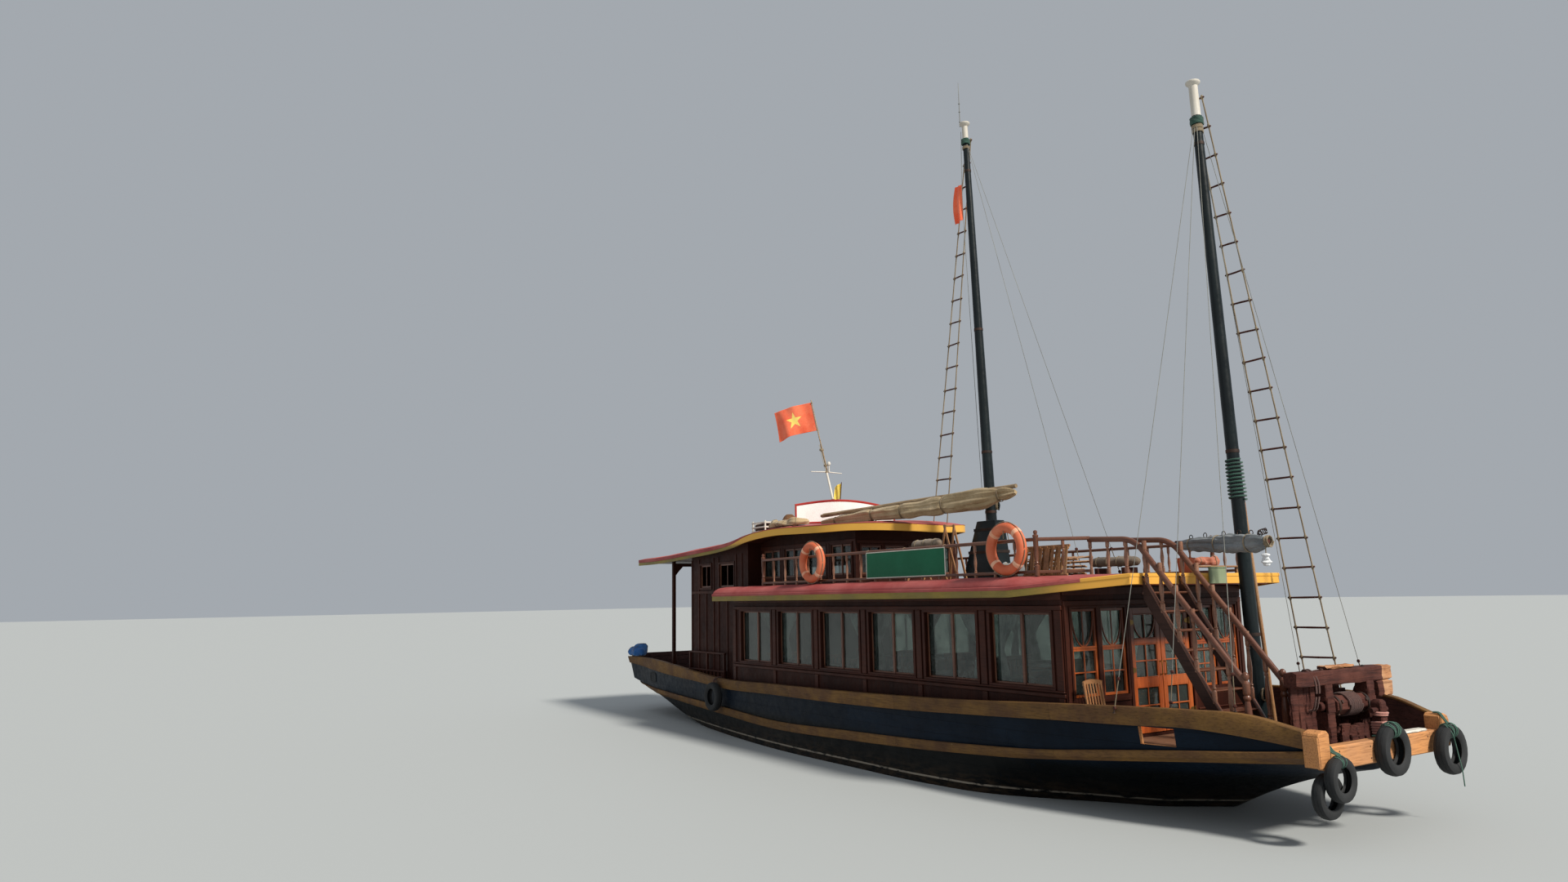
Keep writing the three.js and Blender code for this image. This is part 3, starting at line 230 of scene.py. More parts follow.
# Joins shapes into one piece: doubles merged, faces turned outwards, edges over the angle kept sharp.
def assemble(name, shapes, finishes, body="boat", stands="", sharp=35):
    counts = np.cumsum([0] + [len(s[0]) for s in shapes])
    faces = [[v + first for v in f] for s, first in zip(shapes, counts.tolist()) for f in s[1]]
    index = [k for s in shapes for k in (s[2] if isinstance(s[2], list) else [s[2]] * len(s[1]))]
    mesh = bpy.data.meshes.new(name)
    mesh.from_pydata(np.concatenate([s[0] for s in shapes]).tolist(), [], faces)
    mesh.polygons.foreach_set("material_index", index)
    for finish in finishes:
        mesh.materials.append(finish)
    work = bmesh.new()
    work.from_mesh(mesh)
    bmesh.ops.remove_doubles(work, verts=work.verts, dist=1e-5)
    bmesh.ops.recalc_face_normals(work, faces=work.faces)
    work.to_mesh(mesh)
    work.free()
    mesh.polygons.foreach_set("use_smooth", np.ones(len(mesh.polygons), bool))
    mesh.set_sharp_from_angle(angle=radians(sharp))
    piece = bpy.data.objects.new(name, mesh)
    bpy.context.scene.collection.objects.link(piece)
    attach(piece, body)
    stands = stands.split()
    if stands:
        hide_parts(*stands)
    return piece


# Gives a cloth its thickness.
def thicken(piece, thickness=0.0012):
    piece.modifiers.new("thickness", "SOLIDIFY").thickness = thickness


# Finishes: the helpers below add nodes to the material begun last.
nodeTree = {}


def blankFinish(name):
    finish = bpy.data.materials.new(name)
    finish.use_nodes = True
    nodeTree["now"] = finish.node_tree
    return finish, finish.node_tree.nodes["Principled BSDF"].inputs


# Gives an input a value, or links it to another node's output.
def feed(socket, value):
    if isinstance(value, bpy.types.NodeSocket):
        nodeTree["now"].links.new(value, socket)
    else:
        socket.default_value = value


# Adds a node, feeds its inputs and gives one of its outputs.
def put(kind, inputs=None, out=0, **settings):
    node = nodeTree["now"].nodes.new("ShaderNode" + kind)
    for key, value in settings.items():
        setattr(node, key, value)
    for key, value in (inputs or {}).items():
        feed(node.inputs[key], value)
    return node.outputs[out]


def sums(operation, a, b=0.0, clamp=False):
    return put("Math", {0: a, 1: b}, operation=operation, use_clamp=clamp)


def plus(a, b, clamp=False):
    return sums("ADD", a, b, clamp)


def minus(a, b):
    return sums("SUBTRACT", a, b)


def times(a, b):
    return sums("MULTIPLY", a, b)


# How far a running number is from the middle between two whole ones.
def fromMiddle(value):
    return sums("ABSOLUTE", minus(sums("FRACT", value), 0.5))


# A value from low to high as zero to one, smooth at both ends.
def step(value, low, high):
    return put("MapRange", {"Value": value, "From Min": low, "From Max": high}, interpolation_type="SMOOTHSTEP")


def noise(place, scale, detail=4.0, rough=0.55, stretch=(1, 1, 1), distortion=0.0):
    moved = put("Mapping", {"Vector": place, "Scale": stretch})
    return put("TexNoise", {"Vector": moved, "Scale": scale, "Detail": detail, "Roughness": rough,
            "Distortion": distortion})


def mixed(share, a, b):
    a, b = ((*c, 1) if isinstance(c, tuple) else c for c in (a, b))
    return put("Mix", {0: share, 6: a, 7: b}, 2, data_type="RGBA")


# A finish's settings with its card colours turned to light.
def withLight(look):
    return {key: paint(*value) if isinstance(value, tuple) and len(value) == 3 else value
            for key, value in look.items()}


boardDefaults = {
    "across": None, "grainScale": 60, "patchScale": 1.1, "flakeScale": 9, "seam": 0.004, "length": 3.2,
    "boardTone": 0.25,
    "grain": 0.3, "wear": 0.3, "bareShare": 0.8, "seamDark": 0.75, "relief": 0.5, "bump": 0.5, "depth": 0.003,
    "gloss": 0.22, "coat": 0.0,
}


# Painted or varnished boards: a tone for each board, dark seams, long grain, faded patches, and bare wood where a
# fine and a broad noise together pass the wear limit. Past a level along one axis the colour can turn to a painted
# sunlight or painted shadow colour. Relief comes from the grain, the seams and the paint's edge.
def boardFinish(name, look):
    finish, shader = blankFinish(name)
    look = {**boardDefaults, **withLight(look)}
    place = put("TexCoord", out=3)
    axes = put("SeparateXYZ", {0: place}).node.outputs
    run, across = look["run"], look["across"]
    stretch = [1.0, 1.0, 1.0]
    stretch[run] = 0.06
    grain = noise(place, look["grainScale"], 6, 0.62, stretch, 0.4)
    fine = noise(place, look["grainScale"] * 4, 3, 0.6, stretch)
    broad = noise(place, look["patchScale"], 5, 0.6)
    flakes = noise(place, look["flakeScale"], 9, 0.68)
    tone = broad
    if across is not None:
        count = sums("DIVIDE", axes[across], look["board"])
        index = sums("FLOOR", count)
        edge = 0.5 - look["seam"] / look["board"]
        seam = step(fromMiddle(count), edge, edge + 0.6 * (0.5 - edge))
        shift = put("TexWhiteNoise", {"W": index}, noise_dimensions="1D")
        length = plus(sums("DIVIDE", axes[run], look["length"]), shift)
        seam = sums("MAXIMUM", seam, step(fromMiddle(length), 0.5 - 0.003 / look["length"], 0.5))
        both = plus(index, times(sums("FLOOR", length), 13.7))
        tone = put("TexWhiteNoise", {"W": both}, noise_dimensions="1D")
    colour = mixed(step(broad, 0.32, 0.68), look["paint"], look["faded"])
    colour = mixed(times(tone, look["boardTone"]), colour, look["dark"])
    colour = mixed(times(step(grain, 0.42, 0.72), look["grain"]), colour, look["dark"])
    worn = plus(times(flakes, 0.62), times(grain, 0.38))
    limit = 0.78 - 0.36 * look["wear"]
    bare = step(worn, limit, limit + 0.05)
    colour = mixed(times(bare, look["bareShare"]), colour, look["bare"])
    if across is not None:
        colour = mixed(times(seam, look["seamDark"]), colour, look["dark"])
    # Painted light: past a level along one axis, its edge wobbled by the broad noise, the colour turns to one that
    # stands for sunlight or shadow falling there.
    if "eaves" in look:
        axis, low, high, paintedLightColour = look["eaves"]
        rise = step(plus(axes[axis], times(broad, 0.1)), low, high)
        colour = mixed(times(rise, 0.85), colour, paint(*paintedLightColour))
    feed(shader["Base Color"], colour)
    least, most = look["rough"] - 0.1, look["rough"] + 0.14
    rough = put("MapRange", {"Value": flakes, "From Min": 0.3, "From Max": 0.7, "To Min": least, "To Max": most})
    feed(shader["Roughness"], plus(rough, times(bare, 0.15), True))
    height = plus(times(grain, look["relief"]), times(fine, 0.25))
    height = minus(height, times(bare, 0.5))
    if across is not None:
        height = minus(height, times(seam, 2.5))
    bump = put("Bump", {"Height": height, "Strength": look["bump"], "Distance": look["depth"]})
    feed(shader["Normal"], bump)
    for key, value in (("Specular IOR Level", look["gloss"]), ("Coat Weight", look["coat"]), ("Coat Roughness", 0.22)):
        feed(shader[key], value)
    return finish


# Hull paint: board finish colours by height, blue over the wale and black under it, a pale line above the water
# that noise breaks up, and brown weed stain that fades upwards from the water.
def hullFinish(look):
    finish = boardFinish("hullPaint", look)
    look = withLight(look)
    target = finish.node_tree.nodes["Principled BSDF"].inputs["Base Color"]
    base = target.links[0].from_socket
    place = put("TexCoord", out=3)
    z = put("SeparateXYZ", {0: place}, 2)
    wobble = noise(place, 1.6, 6, 0.7)
    fine = noise(place, 14, 6, 0.7, (0.3, 0.3, 1))
    low = plus(z, times(minus(wobble, 0.5), 0.22))
    colour = mixed(step(z, 0.5, 0.7), look["bottom"], base)
    stain = times(step(low, 0.42, 0.02), step(fine, 0.38, 0.62))
    colour = mixed(times(stain, 0.75), colour, look["stain"])
    line = times(step(z, 0.095, 0.1), step(z, 0.128, 0.122))
    line = times(line, step(fine, 0.36, 0.5))
    colour = mixed(times(line, 0.8), colour, look["line"])
    streak = noise(place, 5, 5, 0.7, (1.4, 1.4, 0.16))
    feed(target, mixed(times(step(streak, 0.58, 0.72), 0.3), colour, look["faded"]))
    return finish


navyLook = {
    "run": 0, "across": 2, "board": 0.19, "length": 3.6, "seam": 0.003,
    "paint": (6, 17, 30), "faded": (12, 27, 42), "dark": (3, 6, 9), "bare": (70, 76, 80),
    "bottom": (7, 10, 11), "stain": (58, 46, 34), "line": (150, 140, 126),
    "wear": 0.2, "bareShare": 0.5, "rough": 0.46, "seamDark": 0.55, "bump": 0.5, "grain": 0.35, "gloss": 0.1,
}
ochreLook = {
    "run": 0, "across": 2, "board": 5.0, "length": 3.1, "seam": 0.0, "patchScale": 2.2,
    "paint": (136, 100, 54), "faded": (104, 74, 50), "dark": (46, 34, 24), "bare": (150, 126, 94),
    "wear": 0.46, "bareShare": 0.6, "rough": 0.65, "bump": 0.7, "grain": 0.5, "boardTone": 0.4, "gloss": 0.15,
}
yellowLook = {
    "run": 0, "across": 2, "board": 5.0, "length": 2.4, "seam": 0.0,
    "paint": (206, 152, 48), "faded": (176, 136, 58), "dark": (84, 64, 26), "bare": (124, 96, 54),
    "wear": 0.3, "bareShare": 0.6, "rough": 0.5, "bump": 0.5, "grain": 0.25, "boardTone": 0.15,
}
beamLook = {
    "run": 1, "across": 2, "board": 5.0, "length": 2.4, "seam": 0.0,
    "paint": (212, 148, 90), "faded": (190, 138, 96), "dark": (96, 58, 36), "bare": (156, 108, 72),
    "wear": 0.46, "bareShare": 0.6, "rough": 0.65, "bump": 0.8, "grain": 0.6, "boardTone": 0.2,
}
panelLook = {
    "run": 2, "across": 0, "board": 0.115, "length": 2.6, "seam": 0.003,
    "paint": (44, 19, 13), "faded": (58, 27, 18), "dark": (14, 6, 5), "bare": (78, 48, 34),
    "wear": 0.2, "bareShare": 0.5, "rough": 0.52, "bump": 0.5, "grain": 0.45, "gloss": 0.12,
}
frontPanelLook = dict(panelLook, across=1)
trimLook = {
    "run": 0,
    "paint": (56, 26, 17), "faded": (76, 38, 26), "dark": (16, 7, 6), "bare": (104, 66, 48),
    "wear": 0.24, "bareShare": 0.55, "rough": 0.46, "bump": 0.5, "grain": 0.45, "gloss": 0.16,
}
railLook = {
    "run": 0, "flakeScale": 16,
    "paint": (94, 54, 38), "faded": (120, 78, 58), "dark": (38, 21, 15), "bare": (170, 134, 108),
    "wear": 0.42, "bareShare": 0.7, "rough": 0.38, "bump": 0.5, "grain": 0.4, "coat": 0.4,
}
orangeLook = {
    "run": 2, "flakeScale": 12,
    "paint": (168, 78, 32), "faded": (184, 98, 50), "dark": (80, 30, 13), "bare": (206, 132, 84),
    "wear": 0.16, "bareShare": 0.5, "rough": 0.32, "bump": 0.35, "grain": 0.5, "coat": 0.35,
}
deckLook = {
    "run": 0, "across": 1, "board": 0.14, "length": 2.8, "seam": 0.005,
    "paint": (120, 84, 62), "faded": (146, 110, 86), "dark": (46, 30, 22), "bare": (160, 134, 112),
    "wear": 0.45, "bareShare": 0.6, "rough": 0.68, "bump": 0.7, "grain": 0.45,
}
roofLook = {
    "run": 0, "across": 0, "board": 50.0, "length": 50.0, "seam": 0.0, "patchScale": 1.4, "grainScale": 22,
    "paint": (150, 66, 64), "faded": (168, 90, 86), "dark": (70, 28, 28), "bare": (178, 122, 112),
    "wear": 0.36, "bareShare": 0.5, "rough": 0.62, "bump": 0.4, "grain": 0.2, "boardTone": 0.05,
}
timberLook = {
    "run": 1, "patchScale": 3, "grainScale": 34, "flakeScale": 7,
    "paint": (70, 36, 30), "faded": (94, 54, 44), "dark": (24, 12, 11), "bare": (142, 106, 84),
    "wear": 0.34, "bareShare": 0.6, "rough": 0.78, "bump": 1.0, "grain": 0.65, "depth": 0.01, "relief": 1.0,
}
mastLook = {
    "run": 2,
    "paint": (13, 21, 24), "faded": (24, 34, 36), "dark": (6, 9, 10), "bare": (80, 86, 82),
    "wear": 0.18, "bareShare": 0.4, "rough": 0.34, "bump": 0.4, "grain": 0.4, "coat": 0.12,
}
whiteLook = {
    "run": 2, "flakeScale": 14,
    "paint": (226, 222, 212), "faded": (204, 198, 186), "dark": (120, 112, 100), "bare": (150, 132, 110),
    "wear": 0.26, "bareShare": 0.6, "rough": 0.5, "bump": 0.35, "grain": 0.2,
}
greenLook = {
    "run": 0, "flakeScale": 20,
    "paint": (8, 92, 60), "faded": (20, 108, 74), "dark": (6, 60, 42), "bare": (120, 150, 130),
    "wear": 0.1, "bareShare": 0.5, "rough": 0.4, "bump": 0.1, "grain": 0.08,
}


# Woven or laid fabric: fine threads crossing each other, broad stains and sun-bleached patches.
def clothFinish(name, cloth, faded, dirt, weave=90):
    finish, shader = blankFinish(name)
    cloth, faded, dirt = paint(*cloth), paint(*faded), paint(*dirt)
    place = put("TexCoord", out=3)
    thread = {"Vector": place, "Scale": weave, "Distortion": 1.5, "Detail": 2.0}
    woven = times(*[put("TexWave", thread, out=1, bands_direction=axis) for axis in "XZ"])
    stains = noise(place, 2.2, 6, 0.62)
    fine = noise(place, 30, 5, 0.6)
    colour = mixed(step(stains, 0.34, 0.68), cloth, faded)
    colour = mixed(times(step(fine, 0.45, 0.8), 0.4), colour, dirt)
    feed(shader["Base Color"], mixed(times(woven, 0.22), colour, dirt))
    feed(shader["Roughness"], put("MapRange", {"Value": stains, "To Min": 0.77, "To Max": 0.95}))
    height = plus(times(woven, 0.5), fine)
    feed(shader["Normal"], put("Bump", {"Height": height, "Strength": 0.4, "Distance": 0.003}))
    feed(shader["Sheen Weight"], 0.2)
    return finish


# Rubber, plastic or metal: an even tone broken by broad and fine noise, with scuffs where the fine one peaks.
def smoothFinish(name, base, faded, scuff, rough, scuffShare=0.4, metal=0.0):
    finish, shader = blankFinish(name)
    place = put("TexCoord", out=3)
    broad = noise(place, 3, 5, 0.6)
    fine = noise(place, 60, 6, 0.65)
    colour = mixed(step(broad, 0.35, 0.7), paint(*base), paint(*faded))
    feed(shader["Base Color"], mixed(times(step(fine, 0.62, 0.7), scuffShare), colour, paint(*scuff)))
    feed(shader["Roughness"], put("MapRange", {"Value": broad, "To Min": rough - 0.1, "To Max": rough + 0.1}))
    feed(shader["Normal"], put("Bump", {"Height": fine, "Strength": 0.25, "Distance": 0.002}))
    feed(shader["Metallic"], metal)
    return finish


# Window glass: nearly clear, a little green, with dust that dulls it in patches.
def glassFinish(name, clear, dusty):
    finish, shader = blankFinish(name)
    dust = noise(put("TexCoord", out=3), 4, 6, 0.65)
    feed(shader["Base Color"], mixed(step(dust, 0.4, 0.75), paint(*clear), paint(*dusty)))
    rough = put("MapRange", {"Value": dust, "From Min": 0.4, "From Max": 0.8, "To Min": 0.01, "To Max": 0.09})
    feed(shader["Roughness"], rough)
    feed(shader["Transmission Weight"], 0.92)
    feed(shader["IOR"], 1.45)
    return finish


navyPaint = hullFinish(navyLook)
ochrePaint = boardFinish("ochrePaint", ochreLook)
# The lower fascia: its olive is the yellow paint darkened as painted shade on the sides, and it turns gold towards the
# front as painted sunlight.
lowerFasciaPaintedLight = boardFinish("lowerFasciaPaintedLight", dict(yellowLook, paint=(152, 132, 62), faded=(126, 112, 66),
        eaves=(0, 4.1, 5.1, (232, 170, 72))))
# The upper fascia: olive as painted shade where it runs low aft, gold above 3.88 m as painted sunlight where it rises
# forward.
eavesPaint = boardFinish("eavesPaint", dict(yellowLook, paint=(146, 128, 58), faded=(122, 108, 60),
        eaves=(2, 3.88, 4.0, (232, 176, 76))))
beamPaint = boardFinish("beamPaint", beamLook)
sidePanels = boardFinish("sidePanels", panelLook)
frontPanels = boardFinish("frontPanels", frontPanelLook)
darkTrim = boardFinish("darkTrim", trimLook)
# The stairs' strings: a copy of the dark trim recoloured as painted shade for their shaded flanks.
stairStringPaintedShade = boardFinish("stairStringPaintedShade", dict(trimLook, paint=(50, 32, 27), faded=(70, 47, 40)))
railWood = boardFinish("railWood", railLook)
turnedWood = boardFinish("turnedWood", dict(railLook, paint=(122, 78, 56), faded=(166, 122, 98),
        dark=(58, 32, 24), wear=0.5))
# Painted shadow: above 2.08 m the varnish darkens to brown, standing for the roof's shadow over the doors' upper
# halves.
orangeVarnishPaintedShadow = boardFinish("orangeVarnishPaintedShadow", dict(orangeLook, eaves=(2, 2.08, 2.2, (66, 32, 20))))
deckPlanks = boardFinish("deckPlanks", deckLook)
roofPaint = boardFinish("roofPaint", roofLook)
roughTimber = boardFinish("roughTimber", timberLook)
mastPaint = boardFinish("mastPaint", mastLook)
bleachedWood = boardFinish("bleachedWood", dict(timberLook, run=0, paint=(146, 122, 92), faded=(176, 154, 124),
        dark=(78, 60, 44), bare=(196, 178, 150)))
whitePaint = boardFinish("whitePaint", whiteLook)
signPaint = boardFinish("signPaint", greenLook)
mainCanvas = clothFinish("mainCanvas", (166, 142, 104), (198, 176, 138), (102, 82, 58))
foreCanvas = clothFinish("foreCanvas", (104, 110, 114), (136, 140, 142), (62, 66, 70))
paleCurtain = clothFinish("paleCurtain", (226, 236, 240), (242, 246, 248), (196, 208, 214), 160)
curtainCloth = clothFinish("curtainCloth", (150, 160, 154), (176, 184, 178), (116, 124, 116), 160)
flagCloth = clothFinish("flagCloth", (244, 92, 50), (250, 128, 88), (226, 66, 36), 200)
starCloth = clothFinish("starCloth", (250, 212, 70), (252, 226, 120), (232, 184, 50), 200)
ropeFibre = clothFinish("ropeFibre", (120, 104, 80), (150, 134, 108), (70, 58, 44), 60)
wireRope = clothFinish("wireRope", (112, 112, 106), (140, 140, 132), (66, 66, 64), 60)
tyreRubber = smoothFinish("tyreRubber", (17, 19, 21), (32, 34, 36), (66, 66, 64), 0.8)
buoyOrange = smoothFinish("buoyOrange", (196, 92, 54), (206, 118, 82), (226, 172, 138), 0.62, scuffShare=0.5)
dullBronze = smoothFinish("dullBronze", (150, 112, 60), (120, 100, 60), (90, 110, 90), 0.45, metal=0.9)
windowGlass = glassFinish("windowGlass", (158, 170, 164), (112, 126, 122))
print("finishes made")

nodeFinish = {
    "hull": navyPaint, "keel": navyPaint, "bulwark": navyPaint, "stern_board": navyPaint,
    "rail_strake": ochrePaint, "wale": ochrePaint, "bow_beam": beamPaint,
    "windlass": roughTimber, "bollard": roughTimber, "rudder": roughTimber,
    "cabin_wall": sidePanels, "cabin_sashes": darkTrim, "cabin_glass": windowGlass,
    "cabin_front_wall": frontPanels, "front_door": orangeVarnishPaintedShadow, "cabin_aft": frontPanels,
    "saloon_furniture": orangeVarnishPaintedShadow, "lower_roof": roofPaint, "lower_fascia": lowerFasciaPaintedLight,
    "railing": railWood, "stairs": darkTrim, "stair_rail": railWood, "sign_board": signPaint,
    "lifebuoy": buoyOrange, "pilothouse": sidePanels, "pilothouse_glass": windowGlass,
    "stern_house": sidePanels, "stern_door": darkTrim, "upper_roof": roofPaint,
    "upper_fascia": eavesPaint, "aft_post": darkTrim, "name_board": whitePaint,
    "flagpole": whitePaint, "flag": flagCloth, "main_tabernacle": mastPaint, "main_mast": mastPaint,
    "foremast": mastPaint, "main_boom": mainCanvas, "fore_boom": foreCanvas, "main_ladder": ropeFibre,
    "fore_ladder": ropeFibre, "fender": tyreRubber, "propeller": dullBronze,
    "main_stays": wireRope, "fore_stays": wireRope,
}
for name, node in cadNodes.items():
    key = max((k for k in nodeFinish if name.startswith(k)), key=len)
    node.data.materials.clear()
    node.data.materials.append(nodeFinish[key])


# Hull.

# x, keel z, low y, low z, mid y, mid z, wale y, wale z, rail y, rail z of half sections, stern to bow
stations = [
    (-11.2, 0.64, 0.6, 0.66, 1.0, 0.74, 1.24, 0.81, 1.3, 1.285),
    (-10.3, 0.44, 0.65, 0.48, 1.08, 0.57, 1.3, 0.7, 1.35, 1.3),
    (-9.0, 0.21, 0.75, 0.27, 1.25, 0.38, 1.49, 0.57, 1.53, 1.3),
    (-7.5, -0.06, 0.9, 0.03, 1.42, 0.13, 1.66, 0.53, 1.72, 1.245),
    (-6.0, -0.33, 1.0, -0.2, 1.64, 0.0, 1.83, 0.5, 1.9, 1.17),
    (-4.5, -0.5, 1.1, -0.4, 1.88, 0.0, 1.98, 0.48, 2.04, 1.115),
    (-2.5, -0.6, 1.2, -0.52, 2.1, 0.0, 2.11, 0.445, 2.14, 1.15),
    (0.0, -0.64, 1.3, -0.57, 2.15, 0.0, 2.17, 0.5, 2.2, 1.185),
    (2.0, -0.64, 1.15, -0.57, 2.11, 0.0, 2.16, 0.57, 2.18, 1.23),
    (3.0, -0.64, 1.0, -0.48, 1.93, 0.0, 2.11, 0.61, 2.15, 1.262),
    (3.8, -0.6, 0.8, -0.32, 1.5, 0.0, 2.07, 0.65, 2.12, 1.3),
    (4.4, -0.5, 0.6, -0.22, 1.1, 0.0, 2.02, 0.69, 2.08, 1.325),
    (4.95, -0.35, 0.4, -0.17, 0.78, 0.0, 1.93, 0.735, 2.02, 1.345),
    (5.5, -0.02, 0.4, 0.13, 0.9, 0.34, 1.83, 0.785, 1.92, 1.36),
    (6.2, 0.33, 0.5, 0.45, 1.05, 0.6, 1.7, 0.85, 1.77, 1.37),
    (6.9, 0.58, 0.5, 0.64, 0.95, 0.73, 1.49, 0.91, 1.56, 1.345),
    (7.38, 0.7, 0.5, 0.745, 0.85, 0.8, 1.3, 0.945, 1.37, 1.215),
]
# x, underside of the rail strake, top of the wale, underside of the wale
strakeLines = [
    (-11.2, 1.17, 0.7, 0.56), (-10.3, 1.13, 0.68, 0.545), (-9.0, 1.07, 0.64, 0.51),
    (-7.5, 1.02, 0.61, 0.48), (-6.0, 1.0, 0.59, 0.45), (-4.5, 0.955, 0.57, 0.42),
    (-2.5, 0.985, 0.515, 0.37), (0.0, 1.01, 0.58, 0.43), (2.0, 1.055, 0.64, 0.5),
    (3.0, 1.092, 0.68, 0.545), (3.8, 1.12, 0.72, 0.585), (4.4, 1.145, 0.765, 0.635),
    (4.95, 1.155, 0.82, 0.68), (5.5, 1.165, 0.87, 0.725), (6.2, 1.185, 0.93, 0.78),
    (6.9, 1.12, 0.98, 0.82), (7.38, 1.04, 1.02, 0.85),
]
deckLine = [(-11.3, 0.96), (-8.6, 0.88), (-7.0, 0.8), (5.5, 0.8), (7.38, 0.93), (8.0, 0.93)]
hullShape = {
    "stern": -10.9,
    "bow": 7.38,
    "columns": 150,
    "bulwark": 0.06,
    "rakeFoot": -10.59,
    "rake": -0.3267,
    "rakeReach": 1.4,
    "portX": (5.59, 6.03),
    "portRows": (0.95, 1.16),
}


def deckAt(x):
    return np.interp(x, *np.array(deckLine).T)


# Half breadth at x and height z: straight lines between the section's five points.
def breadth(x, z):
    y = [along(stations, c, x) for c in (2, 4, 6, 8)]
    h = [along(stations, c, x) for c in (3, 5, 7, 9)]
    found = y[2] + (y[3] - y[2]) * (z - h[2]) / (h[3] - h[2])
    for k in (1, 0):
        part = y[k] + (y[k + 1] - y[k]) * (z - h[k]) / (h[k + 1] - h[k])
        found = np.where(z < h[k + 1], part, found)
    return found


# Near the stern each point moves along x, by its height, to the raked line of the transom.
def rakeStern(points):
    s = hullShape
    x, z = points[..., 0], points[..., 2]
    share = np.clip(1 - (x - s["stern"]) / s["rakeReach"], 0, 1)
    points[..., 0] = x + share * (s["rakeFoot"] + s["rake"] * z - s["stern"])
    return points


# Places along the hull, with the edges of the mooring ports among them.
def hullPlaces():
    s = hullShape
    places = np.linspace(s["stern"], s["bow"], s["columns"])
    return np.unique(np.concatenate([places, s["portX"]]))


# The whole decked hull as one section carried from stern to bow: deck, inner bulwark, cap, side and bottom.
# Faces between the port's edges are left out on both skins, and four faces line each port.
def makeHull():
    s = hullShape
    x = hullPlaces()
    deck = deckAt(x)
    keel, y0, z0, y1, z1, y2, z2, y3, rail = (along(stations, c, x) for c in (1, 2, 3, 4, 5, 6, 7, 8, 9))
    sills = [np.clip(z, deck + 0.02, rail - 0.03) for z in s["portRows"]]
    inside = [(breadth(x, z) - s["bulwark"], z, 1) for z in sills]
    outside = [(breadth(x, z), z, 0) for z in (np.maximum(z, z2 + 0.002) for z in sills[::-1])]
    rows = [(0 * x, deck, 2), (breadth(x, deck) - s["bulwark"], deck, 1), *inside, (y3 - s["bulwark"], rail, 0),
            (y3, rail, 0),
            *outside, (y2, z2, 0), (y1, z1, 0), (y0, z0, 0), (0 * x + 0.06, keel, 0)]
    starboard = np.stack([columns(x, -y, z) for y, z, _ in rows], 1)
    rings = rakeStern(np.concatenate([starboard, starboard[:, :0:-1] * [1, -1, 1]], 1))
    count = rings.shape[1]
    kinds = [row[2] for row in rows]
    points, faces, _ = carried(rings)
    index = (kinds + kinds[-2:0:-1] + [2]) * (len(x) - 1) + [0, 0]
    first, last = np.searchsorted(x, s["portX"])
    strips = [(2, 6), (count - 3, count - 7)]
    gone = {i * count + j for i in range(first, last) for pair in strips for j in pair}
    faces = [f for i, f in enumerate(faces) if i not in gone]
    index = [k for i, k in enumerate(index) if i not in gone]
    for inner, outer in strips:
        corners = [(first, inner, outer + 1), (last, inner, outer + 1), (last, inner + 1, outer),
                (first, inner + 1, outer)]
        for (a, p, q), (b, r, t) in zip(corners, corners[1:] + corners[:1]):
            faces.append([a * count + p, b * count + r, b * count + t, a * count + q])
            index.append(3)
    assemble("hullPlanking", [(points, faces, index)], [navyPaint, bulwarkInside, deckPlanks, beamPaint],
             stands="hull bulwark_starboard bulwark_port")


# The strake under the rail with its cap, and the wale below it: a section that follows the hull's side.
def makeStrakes():
    x = hullPlaces()
    rail = along(stations, 9, x)
    low, high, foot = (along(strakeLines, c, x) for c in (1, 2, 3))
    b, t = breadth(x, low), breadth(x, rail)
    ring = [(b - 0.03, low), (b + 0.034, low), (b + 0.042, low + 0.01), (t + 0.052, rail + 0.016),
            (t + 0.046, rail + 0.03),
            (t - 0.056, rail + 0.03), (t - 0.064, rail + 0.02), (t - 0.064, rail + 0.002), (t - 0.03, rail + 0.002)]
    strake = carried(rakeStern(np.stack([columns(x, -y, z) for y, z in ring], 1)))
    b, t = breadth(x, foot), breadth(x, high)
    bend = np.clip(along(stations, 7, x), foot + 0.02, high - 0.02)
    ring = [(b - 0.03, foot), (b + 0.036, foot), (b + 0.045, foot + 0.01), (breadth(x, bend) + 0.046, bend),
            (t + 0.045, high - 0.012), (t + 0.034, high), (t - 0.03, high)]
    wale = carried(rakeStern(np.stack([columns(x, -y, z) for y, z in ring], 1)))
    assemble("railStrakes", bothSides([strake]), [ochrePaint],
            stands="rail_strake_starboard rail_strake_port")
    assemble("wales", bothSides([wale]), [ochrePaint], stands="wale_starboard wale_port")


# The beam across the bow and the blocks that close the bulwarks' ends, with cut corners and iron bolt heads.
def makeBowBeam():
    beam = boards((7.4502, -1.188, 0.935), (7.4502, 1.188, 0.935), 0.138, 0.25, 0.014)
    outline = np.array([(-1.405, 0.86), (-1.19, 0.845), (-1.19, 1.215), (-1.225, 1.245), (-1.3, 1.25), (-1.38, 1.222),
            (-1.412, 1.17)])
    middle = outline.mean(0)
    steps = [(7.382, 1.0), (7.548, 1.0), (7.56, 0.9)]
    rings = np.stack([np.column_stack([np.full(7, x), (outline - middle) * s + middle]) for x, s in steps])
    heads = [turned([(0, -0.006), (0.014, -0.006), (0.014, 0.004), (0.006, 0.008), (0, 0.008)], (7.514, y, z), 8, 0, 1)
             for y in (-0.95, -0.32, 0.2, 0.95) for z in (0.87, 1.0)]
    assemble("bowBeam", [beam, *bothSides([carried(rings)]), *heads], [beamPaint, blackIron],
            stands="bow_beam")


